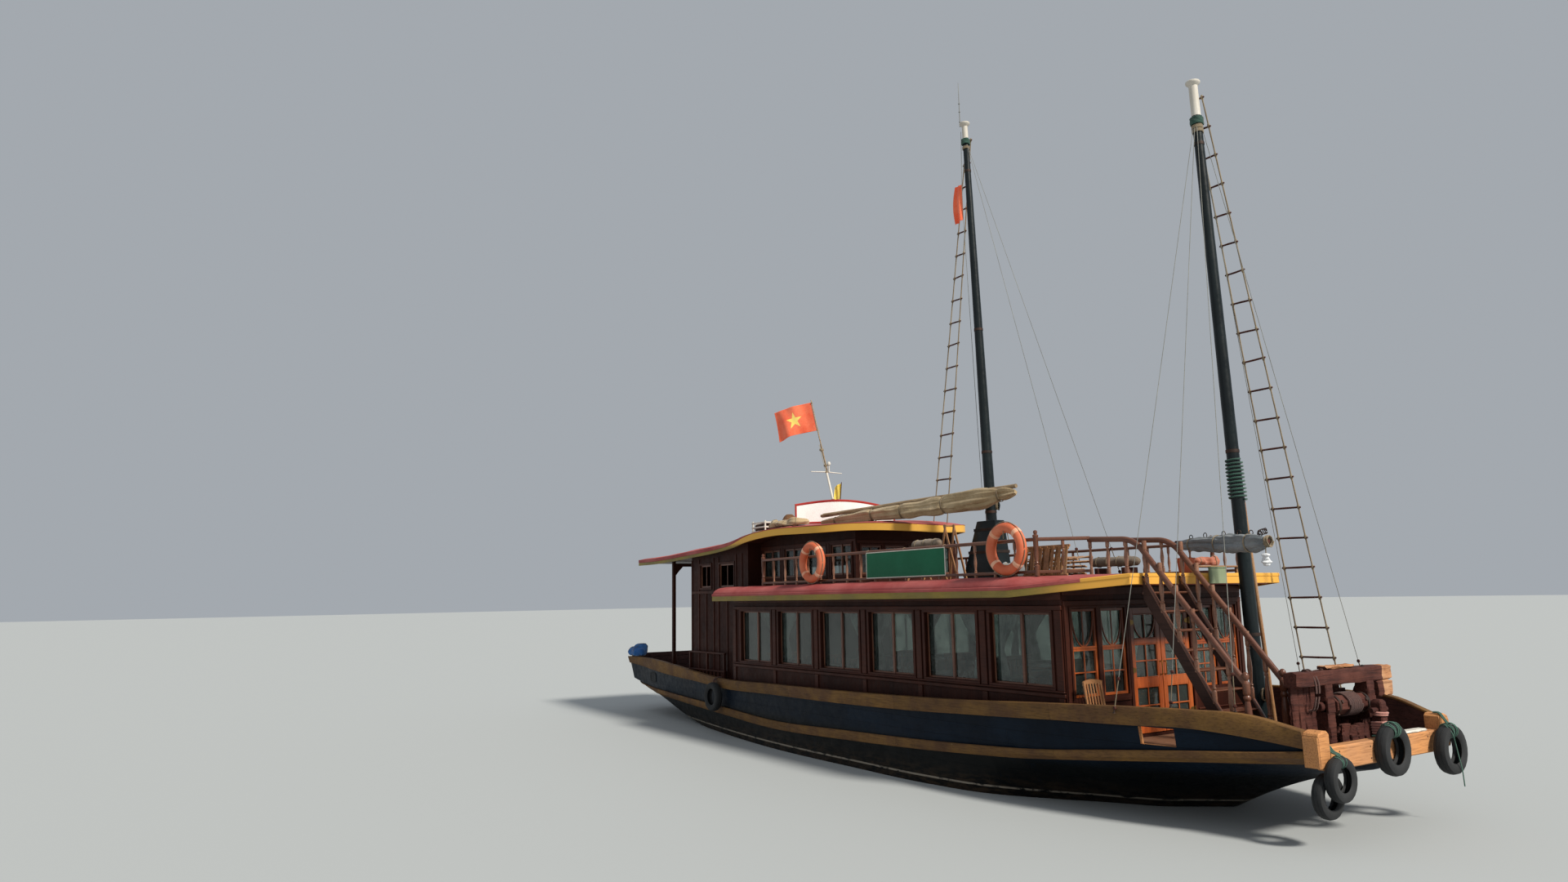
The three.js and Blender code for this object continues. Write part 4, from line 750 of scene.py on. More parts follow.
bulwarkInside = boardFinish("bulwarkInside", dict(timberLook, run=0, across=2, board=0.16, bump=0.6, depth=0.004,
        paint=(58, 36, 34), faded=(78, 50, 46)))
blackIron = smoothFinish("blackIron", (40, 36, 34), (74, 50, 40), (110, 70, 50), 0.6, metal=0.6)
makeHull()
makeStrakes()
makeBowBeam()
print("hull made")


# Roofs.

lowerRoofShape = {"aft": -4.6, "knee": 3.9, "front": 5.39, "half": 2.25, "frontHalf": 1.6, "edge": 2.86, "top": 3.0,
        "margin": 0.32, "lap": 0.01, "sheet": 1.02, "red": 0.62}
# x, half width, underside of the fascia, crown
upperRoofLines = [
    (-10.0, 1.5, 3.64, 3.9), (-8.7, 1.65, 3.63, 3.93), (-6.5, 1.74, 3.7, 4.05), (-5.2, 1.74, 3.77, 4.095),
    (-4.6, 1.74, 3.83, 4.15), (-4.2, 1.735, 3.9, 4.2), (-3.6, 1.72, 3.96, 4.24), (-3.0, 1.7, 3.985, 4.245),
    (-2.2, 1.65, 3.97, 4.21), (-1.5, 1.58, 3.955, 4.175), (-0.9, 1.3, 3.96, 4.17), (-0.45, 0.95, 3.94, 4.14),
    (-0.12, 0.5, 3.91, 4.09), (0.0, 0.16, 3.89, 4.06),
]
upperRoofShape = {"fascia": 0.14, "thick": 0.029, "lap": 0.01, "sheet": 1.05}


# Places along a roof, with two close together at every joint of its sheets.
def sheetPlaces(aft, front, pitch, spacing):
    joints = np.arange(aft + pitch, front, pitch)
    return np.unique(np.concatenate([np.arange(aft, front, spacing), joints - 0.004, joints + 0.004, [front]]))


# How far a sheet's end lies over the next one: most at its aft end, falling in a line to nothing at its front end.
def lapAt(x, aft, shape):
    return shape["lap"] * (1 - ((x - aft - 0.002) / shape["sheet"]) % 1)


# The saloon's roof: a flat deck with quarter-ellipse margins, whose sheets overlap.
def makeLowerRoof():
    s = lowerRoofShape
    x = sheetPlaces(s["aft"], s["front"], s["sheet"], 0.16)
    share = np.clip((x - s["knee"]) / (s["front"] - s["knee"]), 0, 1)
    w = s["half"] + (s["frontHalf"] - s["half"]) * share
    edge = s["edge"] + (s["top"] - s["edge"]) * share
    lap = lapAt(x, s["aft"], s)[:, None]
    turn = np.linspace(0, pi / 2, 9)
    y = w[:, None] - s["margin"] * (1 - np.cos(turn)) + lap * np.cos(turn) * (1 - share[:, None])
    z = edge[:, None] + (s["top"] - edge)[:, None] * np.sin(turn) + lap * np.sin(turn) ** 2
    y = np.concatenate([(w - 0.25)[:, None], w[:, None], y, 0 * w[:, None]], 1)
    z = np.concatenate([0 * w[:, None] + 2.8504, edge[:, None] - 0.03, z, 0 * w[:, None] + s["top"]], 1)
    half = columns(np.broadcast_to(x[:, None], y.shape), -y, z)
    rings = np.concatenate([half, half[:, -2::-1] * [1, -1, 1]], 1)
    kinds = [2] + [0] * 9 + [1, 1] + [0] * 9 + [2, 2]
    points, faces, _ = carried(rings)
    index = kinds[: rings.shape[1]] * (len(x) - 1) + [0, 0]
    assemble("lowerRoof", [(points, faces, index)], [roofPaint, deckPlanks, darkTrim],
            stands="lower_roof", sharp=28)


# The long upper roof: its crown rises over the width as (1 - (y / w) squared) to the power 0.7.
def makeUpperRoof():
    s = upperRoofShape
    x = sheetPlaces(upperRoofLines[0][0], upperRoofLines[-1][0], s["sheet"], 0.1)
    w, low, crown = (along(upperRoofLines, c, x)[:, None] for c in (1, 2, 3))
    rim = low + s["fascia"]
    lap = lapAt(x, upperRoofLines[0][0], s)[:, None]
    t = np.sin(np.linspace(pi / 2, 0, 12))
    rise = (1 - t ** 2) ** 0.7
    y = np.concatenate([w, w * t], 1)
    z = np.concatenate([low + 0.05, rim + (crown - rim) * rise - lap], 1)
    half = columns(np.broadcast_to(x[:, None], y.shape), -y, z)
    rings = np.concatenate([half, half[:, -2::-1] * [1, -1, 1]], 1)
    index = ([0] * (rings.shape[1] - 1) + [1]) * (len(x) - 1) + [0, 0]
    points, faces, _ = carried(rings)
    assemble("upperRoof", [(points, faces, index)], [roofPaint, darkTrim], stands="upper_roof", sharp=28)


# A board of even height that follows a line in plan, from inner to outer offset along the line's normal.
def edgeBoard(path, low, high, inner, outer, finish=0):
    t = np.gradient(path, axis=0)
    normal = unit(columns(t[:, 1], -t[:, 0]))
    c = 0.006
    ring = [(inner, low), (outer - c, low), (outer, low + c), (outer, high - c), (outer - c, high), (inner, high)]
    return carried(np.stack([np.column_stack([path + normal * o, z]) for o, z in ring], 1), finish)


def makeUpperFascia():
    s = upperRoofShape
    x = np.concatenate([np.linspace(-10.0, -1.5, 70), np.linspace(-1.4, 0.0, 29)])
    w, low = along(upperRoofLines, 1, x), along(upperRoofLines, 2, x)
    path = np.concatenate([columns(x, -w), columns(x, w)[::-1]])
    low = np.concatenate([low, low[::-1]])
    run = np.concatenate([x, x[::-1]])
    lip = low + s["fascia"] - 0.008 - 0.062 * np.clip(-3.9 - run, 0, 1)
    shapes = [edgeBoard(path, low, lip, 0.0003, s["thick"] - 0.004),
            edgeBoard(path, lip + 0.0004, low + s["fascia"] + 0.006, 0.0003, s["thick"], 1)]
    assemble("upperFascia", shapes, [eavesPaint, roofPaint], stands="upper_fascia")


makeLowerRoof()
makeUpperRoof()
makeUpperFascia()
print("roofs made")


# Saloon.

cabin = {"aft": -4.3, "front": 4.5, "half": 1.93, "wall": 0.05, "top": 2.85}
bays = {"first": -3.988, "pitch": 1.435, "width": 1.137, "low": 1.533, "high": 2.509, "count": 6}
sashShape = {"frame": 0.046, "deep": 0.0145, "edge": 0.02}
frontShape = {
    "face": 4.5003, "wall": 0.05, "sidelights": [(-1.78, -1.29), (-1.21, -0.72), (0.76, 1.24), (1.31, 1.78)],
    "low": 1.4, "high": 2.56, "doorway": (-0.62, 0.66, 0.84),
}
# each: tops and bottoms of a leaf's lights from the ground up, and how many panes they hold across and up
leafLights = [((0.958, 1.468), 2, 2), ((1.588, 2.048), 2, 2), ((2.118, 2.462), 2, 1)]
sideLights = [((1.44, 2.0), 2, 2), ((2.06, 2.52), 2, 1)]


# A closed section carried along a path: its first measure lies level and square to the path, its second square to both.
def swept(path, section, finish=0, up=(0, 0, 1)):
    path, s = np.asarray(path, float), np.asarray(section, float)
    t = unit(np.gradient(path, axis=0))
    side = unit(np.cross(np.broadcast_to(up, t.shape), t))
    lift = np.cross(t, side)
    return carried(path[:, None] + side[:, None] * s[None, :, :1] + lift[:, None] * s[None, :, 1:], finish)


# A path whose inner corners are rounded: each becomes a parabola between points at a reach before and after it.
def rounded(points, reach, steps=7):
    p = np.asarray(points, float)
    t = np.linspace(0, 1, steps)[:, None]
    parts = [p[:1]]
    for before, corner, after in zip(p, p[1:], p[2:]):
        a, b = corner + unit(before - corner) * reach, corner + unit(after - corner) * reach
        parts.append((1 - t) ** 2 * a + 2 * t * (1 - t) * corner + t ** 2 * b)
    return np.concatenate(parts + [p[-1:]])


# A flat outline pushed along an axis, its rims cut back by the corner: a rim's point moves inwards along the sum of
# its two edges' normals over one plus their product.
def slab(outline, axis, low, high, corner=0.004, finish=0):
    p = np.asarray(outline, float)
    edge = unit(np.roll(p, -1, 0) - p)
    n = columns(-edge[:, 1], edge[:, 0])
    before = np.roll(n, 1, 0)
    turn = np.sign((p[:, 0] * np.roll(p[:, 1], -1) - np.roll(p[:, 0], -1) * p[:, 1]).sum())
    small = p + turn * corner * (n + before) / (1 + (n * before).sum(1, keepdims=True))
    rings = [(small, low), (p, low + corner), (p, high - corner), (small, high)]
    return carried(np.stack([np.insert(ring, axis, h, axis=1) for ring, h in rings]), finish)


# Four boards round an opening in an upright wall square to x or to y; with inside, they stand within the opening.
def casing(low, high, place, width, depth, axis, corner=0.004, finish=0, inside=False):
    (h0, z0), (h1, z1) = low, high
    if inside:
        h0, z0, h1, z1 = h0 + width, z0 + width, h1 - width, z1 - width
    w = width / 2
    ends = [((h0 - width, z0 - w), (h1 + width, z0 - w)), ((h0 - width, z1 + w), (h1 + width, z1 + w)),
            ((h0 - w, z0), (h0 - w, z1)), ((h1 + w, z0), (h1 + w, z1))]
    line = np.insert(np.array(ends), axis, place, axis=2)
    return boards(line[:, 0], line[:, 1], width, depth, corner, np.eye(3)[axis], finish)


# Thin bars that part an opening into panes, in a wall square to the axis.
def muntins(low, high, place, across, up, axis, width=0.018, depth=0.016, finish=0):
    (h0, z0), (h1, z1) = low, high
    ends = [((h, z0), (h, z1)) for h in np.linspace(h0, h1, across + 1)[1:-1]]
    ends += [((h0, z), (h1, z)) for z in np.linspace(z0, z1, up + 1)[1:-1]]
    line = np.insert(np.array(ends), axis, place, axis=2)
    return boards(line[:, 0], line[:, 1], width, depth, 0.003, np.eye(3)[axis], finish)


# Two bars that bow from the foot of a light's middle bar to its upper corners: quarter turns of an ellipse.
def fanBars(low, high, place, axis=0, width=0.016, finish=0):
    (h0, z0), (h1, z1) = low, high
    w = np.linspace(0, pi / 2, 9)
    section = np.array([(-1, -1), (1, -1), (1, 1), (-1, 1)]) * width / 2
    shapes = []
    for side in (h0, h1):
        middle = (h0 + h1) / 2
        path = columns(middle + (side - middle) * np.sin(w), z1 - (z1 - z0) * np.cos(w))
        shapes += [swept(np.insert(path, axis, place, axis=1), section, finish, np.eye(3)[axis])]
    return shapes


def bayStarts():
    return bays["first"] + bays["pitch"] * np.arange(bays["count"])


# Mouldings on the side walls: corner posts, rails under and over the windows, a sill and a casing at each bay.
def makeSideTrim():
    c, b = cabin, bays
    y = -c["half"] - 0.012
    x0, x1 = c["aft"] + 0.005, c["front"] + 0.045
    out = (0, 1, 0)
    rows = [
        # inward, height, width, depth, corner
        (0.002, 0.93, 0.16, 0.02, 0.005), (0, 1.435, 0.05, 0.024, 0.006), (-0.008, 1.487, 0.026, 0.04, 0.008),
        (0, 2.575, 0.06, 0.024, 0.006), (0, 2.74, 0.12, 0.022, 0.006),
    ]
    shapes = [boards((x0, y + shift, z), (x1, y + shift, z), *sizes, out) for shift, z, *sizes in rows]
    starts = bayStarts()
    shapes += [casing((x, b["low"]), (x + b["width"], b["high"]), -c["half"] - 0.008, 0.052, 0.02, 1) for x in starts]
    middles = np.concatenate([[x0 + 0.05], (starts[1:] + starts[:-1] + b["width"]) / 2, [x1 - 0.07]])
    foot = columns(middles, y, 1.5)
    shapes += [upright(foot, 1.045, 0.12, 0.022, 0.006, out)]
    foot[:, 2] = 1.01
    shapes += [upright(foot, 0.4, 0.1, 0.018, 0.006, out)]
    assemble("sideTrim", bothSides(shapes), [darkTrim])


# Sliding sashes: in each bay one pane in the outer groove and one in the inner, their middle stiles overlapping.
def makeSashes():
    s, b = sashShape, bays
    y = -cabin["half"] + cabin["wall"] + 0.0006
    half = b["width"] / 2
    low, high = b["low"] - s["edge"], b["high"] + s["edge"]
    shapes = []
    for x in bayStarts():
        for start, end, level in ((x - s["edge"], x + half + s["edge"], 0.5),
                (x + half - s["edge"], x + b["width"] + s["edge"], 1.5)):
            shapes += [casing((start, low), (end, high), y + level * s["deep"], s["frame"], s["deep"], 1, 0.003,
                    inside=True)]
        shapes += [boards((x - 0.03, y + 0.009, low - 0.004), (x + b["width"] + 0.03, y + 0.009, low - 0.004), 0.014,
                0.026, 0.003, (0, 1, 0))]
    assemble("windowSashes", bothSides(shapes), [railWood],
            stands="cabin_sashes_starboard cabin_sashes_port")


# Rails, mouldings and glazing bars of the front wall round its sidelights, and the doorway's casing.
def makeFrontTrim():
    f = frontShape
    x = f["face"] + f["wall"] + 0.01
    middle = f["face"] + 0.024
    shapes = []
    for y0, y1 in f["sidelights"]:
        shapes += [casing((y0, f["low"]), (y1, f["high"]), x - 0.002, 0.036, 0.018, 0)]
        for (z0, z1), across, up in sideLights:
            shapes += [casing((y0 + 0.002, z0 - 0.036), (y1 - 0.002, z1 + 0.036), middle, 0.036, 0.034, 0,
                    0.003, 1, True)]
            shapes += [muntins((y0 + 0.038, z0), (y1 - 0.038, z1), middle, across, up, 0, finish=1)]
            if up == 1:
                shapes += fanBars((y0 + 0.038, z0), (y1 - 0.038, z1), middle, finish=1)
    y0, y1, _ = f["doorway"]
    foot, head = np.array([[x, y0 - 0.03, 0.81], [x, y1 + 0.03, 0.81]]), 2.6
    shapes += [boards(foot, foot * [1, 1, 0] + [0, 0, head], 0.055, 0.02, 0.005, (1, 0, 0))]
    edge = cabin["half"] - 0.01
    for z, width, depth in ((2.63, 0.07, 0.024), (2.79, 0.1, 0.02)):
        shapes += [boards((x, -edge, z), (x, edge, z), width, depth, 0.006, (1, 0, 0))]
    for a, b in ((-edge, y0 - 0.08), (y1 + 0.08, edge)):
        for z, width, depth in ((0.9, 0.14, 0.02), (1.345, 0.05, 0.028), (1.1, 0.024, 0.02)):
            shapes += [boards((x, a, z), (x, b, z), width, depth, 0.005, (1, 0, 0))]
    corners = np.array([[x, -edge + 0.045, 0.82], [x, edge - 0.045, 0.82], [x, -1.25, 1.36], [x, 1.275, 1.36]])
    shapes += [boards(corners, corners * [1, 1, 0] + [0, 0, 2.6], 0.075, 0.022, 0.006, (1, 0, 0))]
    assemble("frontTrim", shapes, [darkTrim, orangeVarnishPaintedShadow])


# A glazed leaf of stiles, rails, panes and bars, with knuckles, straps and a pull handle.
def makeDoor(name, y0, y1, body, stands, hinge, rails):
    x, thick = frontShape["face"] + 0.025, 0.038
    low, high = 0.848, 2.552
    out = (1, 0, 0)
    wide = 0.078
    shapes = []
    for y in (y0 + wide / 2, y1 - wide / 2):
        shapes += [boards((x, y, low), (x, y, high), wide, thick, 0.005, out)]
    edges = [low] + [z for (span, _, _) in leafLights for z in span] + [high]
    for z0, z1 in zip(edges[::2], edges[1::2]):
        shapes += [boards((x, y0 + wide, (z0 + z1) / 2), (x, y1 - wide, (z0 + z1) / 2), z1 - z0,
                thick - 0.004, 0.004, out)]
    for (z0, z1), across, up in leafLights:
        inner = (y0 + wide, z0), (y1 - wide, z1)
        shapes += [casing(*inner, x + 0.006, 0.014, 0.02, 0, 0.004, 0, True)]
        shapes += [muntins(*inner, x + 0.006, across, up, 0)]
        if up == 1:
            shapes += fanBars(*inner, x + 0.006)
        pane = np.array([(y0 + wide - 0.005, z0 - 0.005), (y1 - wide + 0.005, z0 - 0.005),
                (y1 - wide + 0.005, z1 + 0.005), (y0 + wide - 0.005, z1 + 0.005)])
        shapes += [slab(pane, 0, x - 0.01, x - 0.006, 0.001, 1)]
    inward = 1 if hinge < 0 else -1
    face = frontShape["face"] + 0.05
    for z in rails:
        barrel = [
            (0, -0.045), (0.0095, -0.045), (0.0095, -0.016), (0.0085, -0.015), (0.0095, -0.014), (0.0095, 0.014),
            (0.0085, 0.015), (0.0095, 0.016), (0.0095, 0.045), (0, 0.045),
        ]
        shapes += [turned(barrel, (face + 0.0103, hinge - 0.002 * inward, z), 14, 2, 2)]
        strap = np.array([(hinge, z - 0.038), (hinge + 0.075 * inward, z - 0.03), (hinge + 0.09 * inward, z),
                (hinge + 0.075 * inward, z + 0.03), (hinge, z + 0.038)])
        shapes += [slab(strap, 0, face - 0.006, face - 0.001, 0.001, 2)]
    pull = (y1 if hinge < 0 else y0) - 0.04 * inward
    grip = rounded([(x + 0.018, pull, 1.62), (x + 0.055, pull, 1.62), (x + 0.055, pull, 1.8), (x + 0.018, pull, 1.8)],
            0.02, 6)
    shapes += [tube(grip, 0.007, 10, 2)]
    for z in (1.62, 1.8):
        shapes += [turned([(0, -0.002), (0.016, -0.002), (0.014, 0.004), (0, 0.006)], (x + 0.019, pull, z), 12, 0, 2)]
    assemble(name, shapes, [orangeVarnishPaintedShadow, windowGlass, dullBronze], body, stands)


# Curtains tied back to one side of each bay: the width falls in a cosine to the tie and opens a little below it, and
# the cloth waves out of its plane, w sin(2 pi n s), with fewer and deeper folds where it is gathered most.
curtainShape = {"top": 2.545, "tie": 1.98, "foot": 1.56, "wide": 0.44, "tied": 0.09, "below": 0.2, "folds": 6,
        "wave": 0.02, "y": 1.795}


def curtainGrid(x, towards, seed):
    c = curtainShape
    rng = np.random.default_rng(seed)
    v = np.linspace(0, 1, 46)[:, None]
    u = np.linspace(0, 1, 97)[None]
    z = c["top"] + (c["foot"] - c["top"]) * v
    down = np.clip((c["top"] - z) / (c["top"] - c["tie"]), 0, 1)
    below = np.clip((c["tie"] - z) / (c["tie"] - c["foot"]), 0, 1)
    gathered = (c["wide"] - c["tied"]) * (0.5 + 0.5 * np.cos(pi * down)) ** 0.8
    wide = c["tied"] + gathered + (c["below"] - c["tied"]) * np.sin(below * pi / 2)
    phase = rng.uniform(0, 2 * pi, 3)
    fold = np.sin(2 * pi * c["folds"] * u + phase[0] + 0.6 * np.sin(3 * v + phase[1]))
    fold += 0.35 * np.sin(2 * pi * 2.3 * u + phase[2] + 2 * v)
    wave = c["wave"] * (0.75 + 0.5 * (1 - wide / c["wide"]))
    place = columns(x + towards * u * wide, c["y"] + wave * fold, z + 0 * u + 0.012 * towards * u * np.sin(pi * down))
    return place


def makeCurtains():
    c = curtainShape
    number = 0
    for side, label in ((-1, "Starboard"), (1, "Port")):
        for i, x in enumerate(bayStarts()):
            towards = 1 if i % 2 else -1
            start = x + 0.02 if towards > 0 else x + bays["width"] - 0.02
            grid = curtainGrid(start, towards, 40 + number)
            grid[..., 1] = side * grid[..., 1]
            piece = assemble(f"curtain{label}{i + 1}", [sheetOf(grid)],
                    [curtainCloth if i in (0, 3) else paleCurtain], sharp=180)
            thicken(piece, 0.0015)
            number += 1
    rods = []
    for x in bayStarts():
        rods += [tube([(x - 0.04, -c["y"], c["top"] + 0.012), (x + bays["width"] + 0.04, -c["y"], c["top"] + 0.012)],
                0.008, 8)]
        for end in (x - 0.02, x + bays["width"] + 0.02):
            rods += [boards((end, -1.852, c["top"] + 0.012), (end, -c["y"] + 0.012, c["top"] + 0.012), 0.022,
                    0.024, 0.003)]
    assemble("curtainRods", bothSides(rods), [dullBronze])


makeSideTrim()
makeSashes()
makeFrontTrim()
makeDoor("doorStarboard", -0.614, 0.0145, "starboard_door", "front_door_starboard", -0.62, (1.1, 1.7, 2.35))
makeDoor("doorPort", 0.0255, 0.654, "port_door", "front_door_port", 0.66, (1.1, 1.7, 2.35))
makeCurtains()
print("saloon made")


# Upper deck.

railShape = {"foot": 3.0003, "height": 0.5, "pitch": 0.412, "side": 1.93}
handSection = [
    (-0.03, -0.018), (-0.033, -0.006), (-0.032, 0.008), (-0.024, 0.019), (-0.01, 0.025), (0.01, 0.025),
    (0.024, 0.019), (0.032, 0.008), (0.033, -0.006), (0.03, -0.018), (0.016, -0.025), (-0.016, -0.025),
]
footSection = [
    (-0.022, -0.016), (-0.018, -0.02), (0.018, -0.02), (0.022, -0.016), (0.022, 0.012), (0.012, 0.02), (-0.012, 0.02),
    (-0.022, 0.012),
]
# radius and height of the turned spindle, height as a share of its length
spindleShape = [
    (0.019, 0), (0.02, 0.02), (0.02, 0.17), (0.013, 0.19), (0.0185, 0.215), (0.0115, 0.24), (0.0165, 0.36),
    (0.0205, 0.47), (0.0165, 0.58), (0.0105, 0.72), (0.016, 0.745), (0.0115, 0.77), (0.0185, 0.79), (0.0195, 0.81),
    (0.0195, 0.96), (0.018, 1.0),
]
newelShape = [
    (0.048, 0), (0.048, 0.17), (0.036, 0.185), (0.046, 0.205), (0.046, 0.225), (0.03, 0.245), (0.041, 0.33),
    (0.047, 0.42), (0.04, 0.54), (0.029, 0.62), (0.043, 0.645), (0.043, 0.665), (0.03, 0.685), (0.043, 0.705),
    (0.043, 0.82), (0.032, 0.835), (0.022, 0.85), (0.034, 0.87), (0.041, 0.895), (0.036, 0.925), (0.018, 0.945),
    (0.0, 0.95),
]


def spindle(place, height, finish=0, stout=1.15):
    profile = np.array([(0, 0), *spindleShape, (0, 1)]) * [stout, height]
    return turned(profile, place, 10, 2, finish)


# Points along a line in plan at even steps near the pitch.
def evenly(a, b, pitch):
    a, b = np.array(a, float), np.array(b, float)
    count = max(1, round(np.linalg.norm(b - a) / pitch))
    return a + (b - a) * np.linspace(0, 1, count + 1)[:, None]


def railRun(path):
    r = railShape
    plan = np.concatenate([evenly(a, b, r["pitch"])[(1 if i else 0):] for i, (a, b) in enumerate(zip(path, path[1:]))])
    shapes = [spindle((x, y, r["foot"]), r["height"] - 0.02, 1) for x, y in plan]
    line = np.column_stack([np.array(path, float), [3.0] * len(path)])
    shapes += [swept(rounded(line + [0, 0, r["height"]], 0.06), handSection)]
    shapes += [swept(rounded(line + [0, 0, 0.06], 0.04), footSection)]
    corner = [
        (0, 0), (0.034, 0), (0.036, 0.01), (0.036, 0.14), (0.024, 0.155), (0.034, 0.18), (0.024, 0.2), (0.034, 0.29),
        (0.03, 0.36), (0.036, 0.38), (0.036, 0.53), (0.042, 0.54), (0.04, 0.556), (0.02, 0.568), (0.03, 0.59),
        (0.026, 0.615), (0, 0.628),
    ]
    ends = [path[0]] + list(path[1:-1])
    return shapes + [turned(corner, (x, y, r["foot"]), 12) for x, y in ends]


stairShape = {"foot": 6.745, "top": 5.43, "floor": 0.8, "deck": 3.0, "strings": (-1.37, -0.64), "treads": 8}


# Height of the strings' middle line over x: straight from the foredeck's level up to the upper deck's.
def stringLine(x):
    s = stairShape
    return s["floor"] + (s["foot"] - x) * (s["deck"] - s["floor"]) / (s["foot"] - s["top"])


# A handrail on one side of the stairs: level over the upper deck, round in one bend, and down to its newel.
def stairRail(y):
    foot, low = stairShape["foot"], float(deckAt(stairShape["foot"]))
    hand, bend, top = low + 0.815, 5.48, 3.42
    line = rounded([(4.58, y, 3.482), (5.33, y, 3.445), (foot, y, hand)], 0.2, 12)
    shapes = [swept(line, np.array(handSection) * [1, 1.45]), turned([(0, 0), *newelShape], (foot, y, low), 14)]
    slope = (top - hand) / (foot - bend)
    for i in range(1, 7):
        x = foot - i * (foot - bend) / 6
        start = stringLine(x) - 0.06
        shapes += [spindle((x, y, start), hand + (foot - x) * slope - start - 0.005, 1, 1.45)]
    for x in (4.6, 4.89, 5.18):
        shapes += [spindle((x, y, railShape["foot"]), 0.46, 1, 1.25)]
    return shapes


def makeRailings():
    side = railShape["side"]
    shapes = railRun([(-3.093, -side), (4.15, -side), (4.6, -1.37)]) + stairRail(-1.37)
    assemble("railingStarboard", shapes, [railWood, turnedWood], stands="railing_starboard")
    assemble("railingPort", railRun([(-3.093, side), (4.15, side), (5.18, 1.33)]), [railWood, turnedWood],
            stands="railing_port")
    assemble("stairRailPort", stairRail(-0.64), [railWood, turnedWood], stands="stair_rail_port")


# Stairs: two strings with a bead along their upper edge, and eight treads with rounded, worn noses.
def makeStairs():
    s = stairShape
    foot, top, low, line = s["foot"], s["top"], float(deckAt(s["foot"])), stringLine
    outline = [(top, line(top) - 0.03), (foot - 0.075, line(foot - 0.075) - 0.03), (foot - 0.06, low + 0.0006),
            (foot - 0.235, low - 0.005), (top, line(top) - 0.33)]
    shapes = []
    for y in s["strings"]:
        shapes += [slab(outline, 1, y - 0.025, y + 0.025, 0.005)]
        bead = [(top + 0.02, y, line(top + 0.02) - 0.028), (foot - 0.09, y, line(foot - 0.09) - 0.028)]
        shapes += [swept(bead, np.array(footSection) * [1.35, 0.5], 1)]
    steps = s["treads"] + 1
    for i in range(1, steps):
        height = low + (s["deck"] - low) * i / steps
        x = foot - (height - s["floor"]) * (foot - top) / (s["deck"] - s["floor"])
        nose = np.array([(x - 0.19, -0.03), (x - 0.022, -0.03), (x - 0.01, -0.022), (x - 0.004, -0.012),
                (x - 0.008, -0.003), (x - 0.02, 0), (x - 0.19, 0)])
        shapes += [slab(nose + [0, height], 1, -1.347, -0.663, 0.002, 1)]
    assemble("stairFlight", shapes, [stairStringPaintedShade, railWood], stands="stairs")


# The lower roof's fascia, mitred at its corners: inner and outer lines lie along the sum of two edges' normals.
def makeLowerFascia():
    s = lowerRoofShape
    knee, front = np.array((s["knee"], -s["half"], s["edge"])), np.array((s["front"], -s["frontHalf"], s["top"]))
    side = [(s["aft"], -s["half"], s["edge"]), tuple(knee), tuple(knee + s["red"] * (front - knee)), tuple(front)]
    path = np.array(side + [(x, -y, z) for x, y, z in side[::-1]])
    edge = unit(np.diff(path[:, :2], axis=0))
    n = columns(edge[:, 1], -edge[:, 0])
    n0, n1 = np.concatenate([n[:1], n]), np.concatenate([n, n[-1:]])
    out = (n0 + n1) / (1 + (n0 * n1).sum(1, keepdims=True))
    c = 0.007
    ring = [(0.0003, -0.14), (0.022 - c, -0.14), (0.022, -0.14 + c), (0.022, -0.045), (0.03, -0.038), (0.03, -0.004),
            (0.022, 0.004), (0.0003, 0.004)]
    rings = np.stack([np.column_stack([path[:, :2] + out * o, path[:, 2] + h]) for o, h in ring], 1)
    points, faces, _ = carried(rings)
    lip = [0, 0, 0, 1, 1, 1, 1, 0] * 2
    index = lip + [0] * (8 * (len(rings) - 5)) + lip
    index += [0] * (len(faces) - len(index))
    assemble("lowerFascia", [(points, faces, index)], [lowerFasciaPaintedLight, roofPaint], stands="lower_fascia")


makeRailings()
makeStairs()
makeLowerFascia()
print("upper deck made")


# Masts, sails and rigging.

mainMast = {"x": 1.31, "lean": -0.2, "foot": 3.98, "top": 11.32, "radii": (0.095, 0.052), "white": 0.3, "cap": 0.095}
foreMast = {"x": 6.01, "lean": -0.21, "foot": 0.796, "top": 9.92, "radii": (0.097, 0.062), "white": 0.5, "cap": 0.1}
mainSail = {
    "aft": (-2.42, -0.98, 4.35), "front": (2.33, -0.4, 4.49), "mast": 1.298, "level": 4.46, "hole": 0.105,
    "ties": (0.09, 0.31, 0.47, 0.68, 0.93), "battens": 5, "seed": 3, "spar": bleachedWood,
    "line": [
        (0, 4.222, 0.035), (0.17, 4.255, 0.088), (0.32, 4.278, 0.118), (0.45, 4.282, 0.13), (0.58, 4.297, 0.135),
        (0.7, 4.325, 0.15), (0.8, 4.352, 0.158), (0.9, 4.376, 0.125), (0.96, 4.388, 0.085), (1, 4.395, 0.03),
    ],
}
foreSail = {
    "aft": (4.94, -0.04, 3.42), "front": (6.59, -0.44, 3.36), "mast": 5.951, "level": 3.39, "hole": 0.108,
    "ties": (0.2, 0.5, 0.82), "battens": 4, "seed": 8, "spar": roughTimber,
    "line": [
        (0, 3.4, 0.035), (0.12, 3.4, 0.068), (0.35, 3.395, 0.098), (0.6, 3.375, 0.118), (0.82, 3.365, 0.115),
        (0.94, 3.36, 0.085), (1, 3.36, 0.03),
    ],
}


def mastPlace(mast, z):
    share = (z - mast["foot"]) / (mast["top"] - mast["foot"])
    radius = mast["radii"][0] + (mast["radii"][1] - mast["radii"][0]) * share
    return mast["x"] + mast["lean"] * share, radius


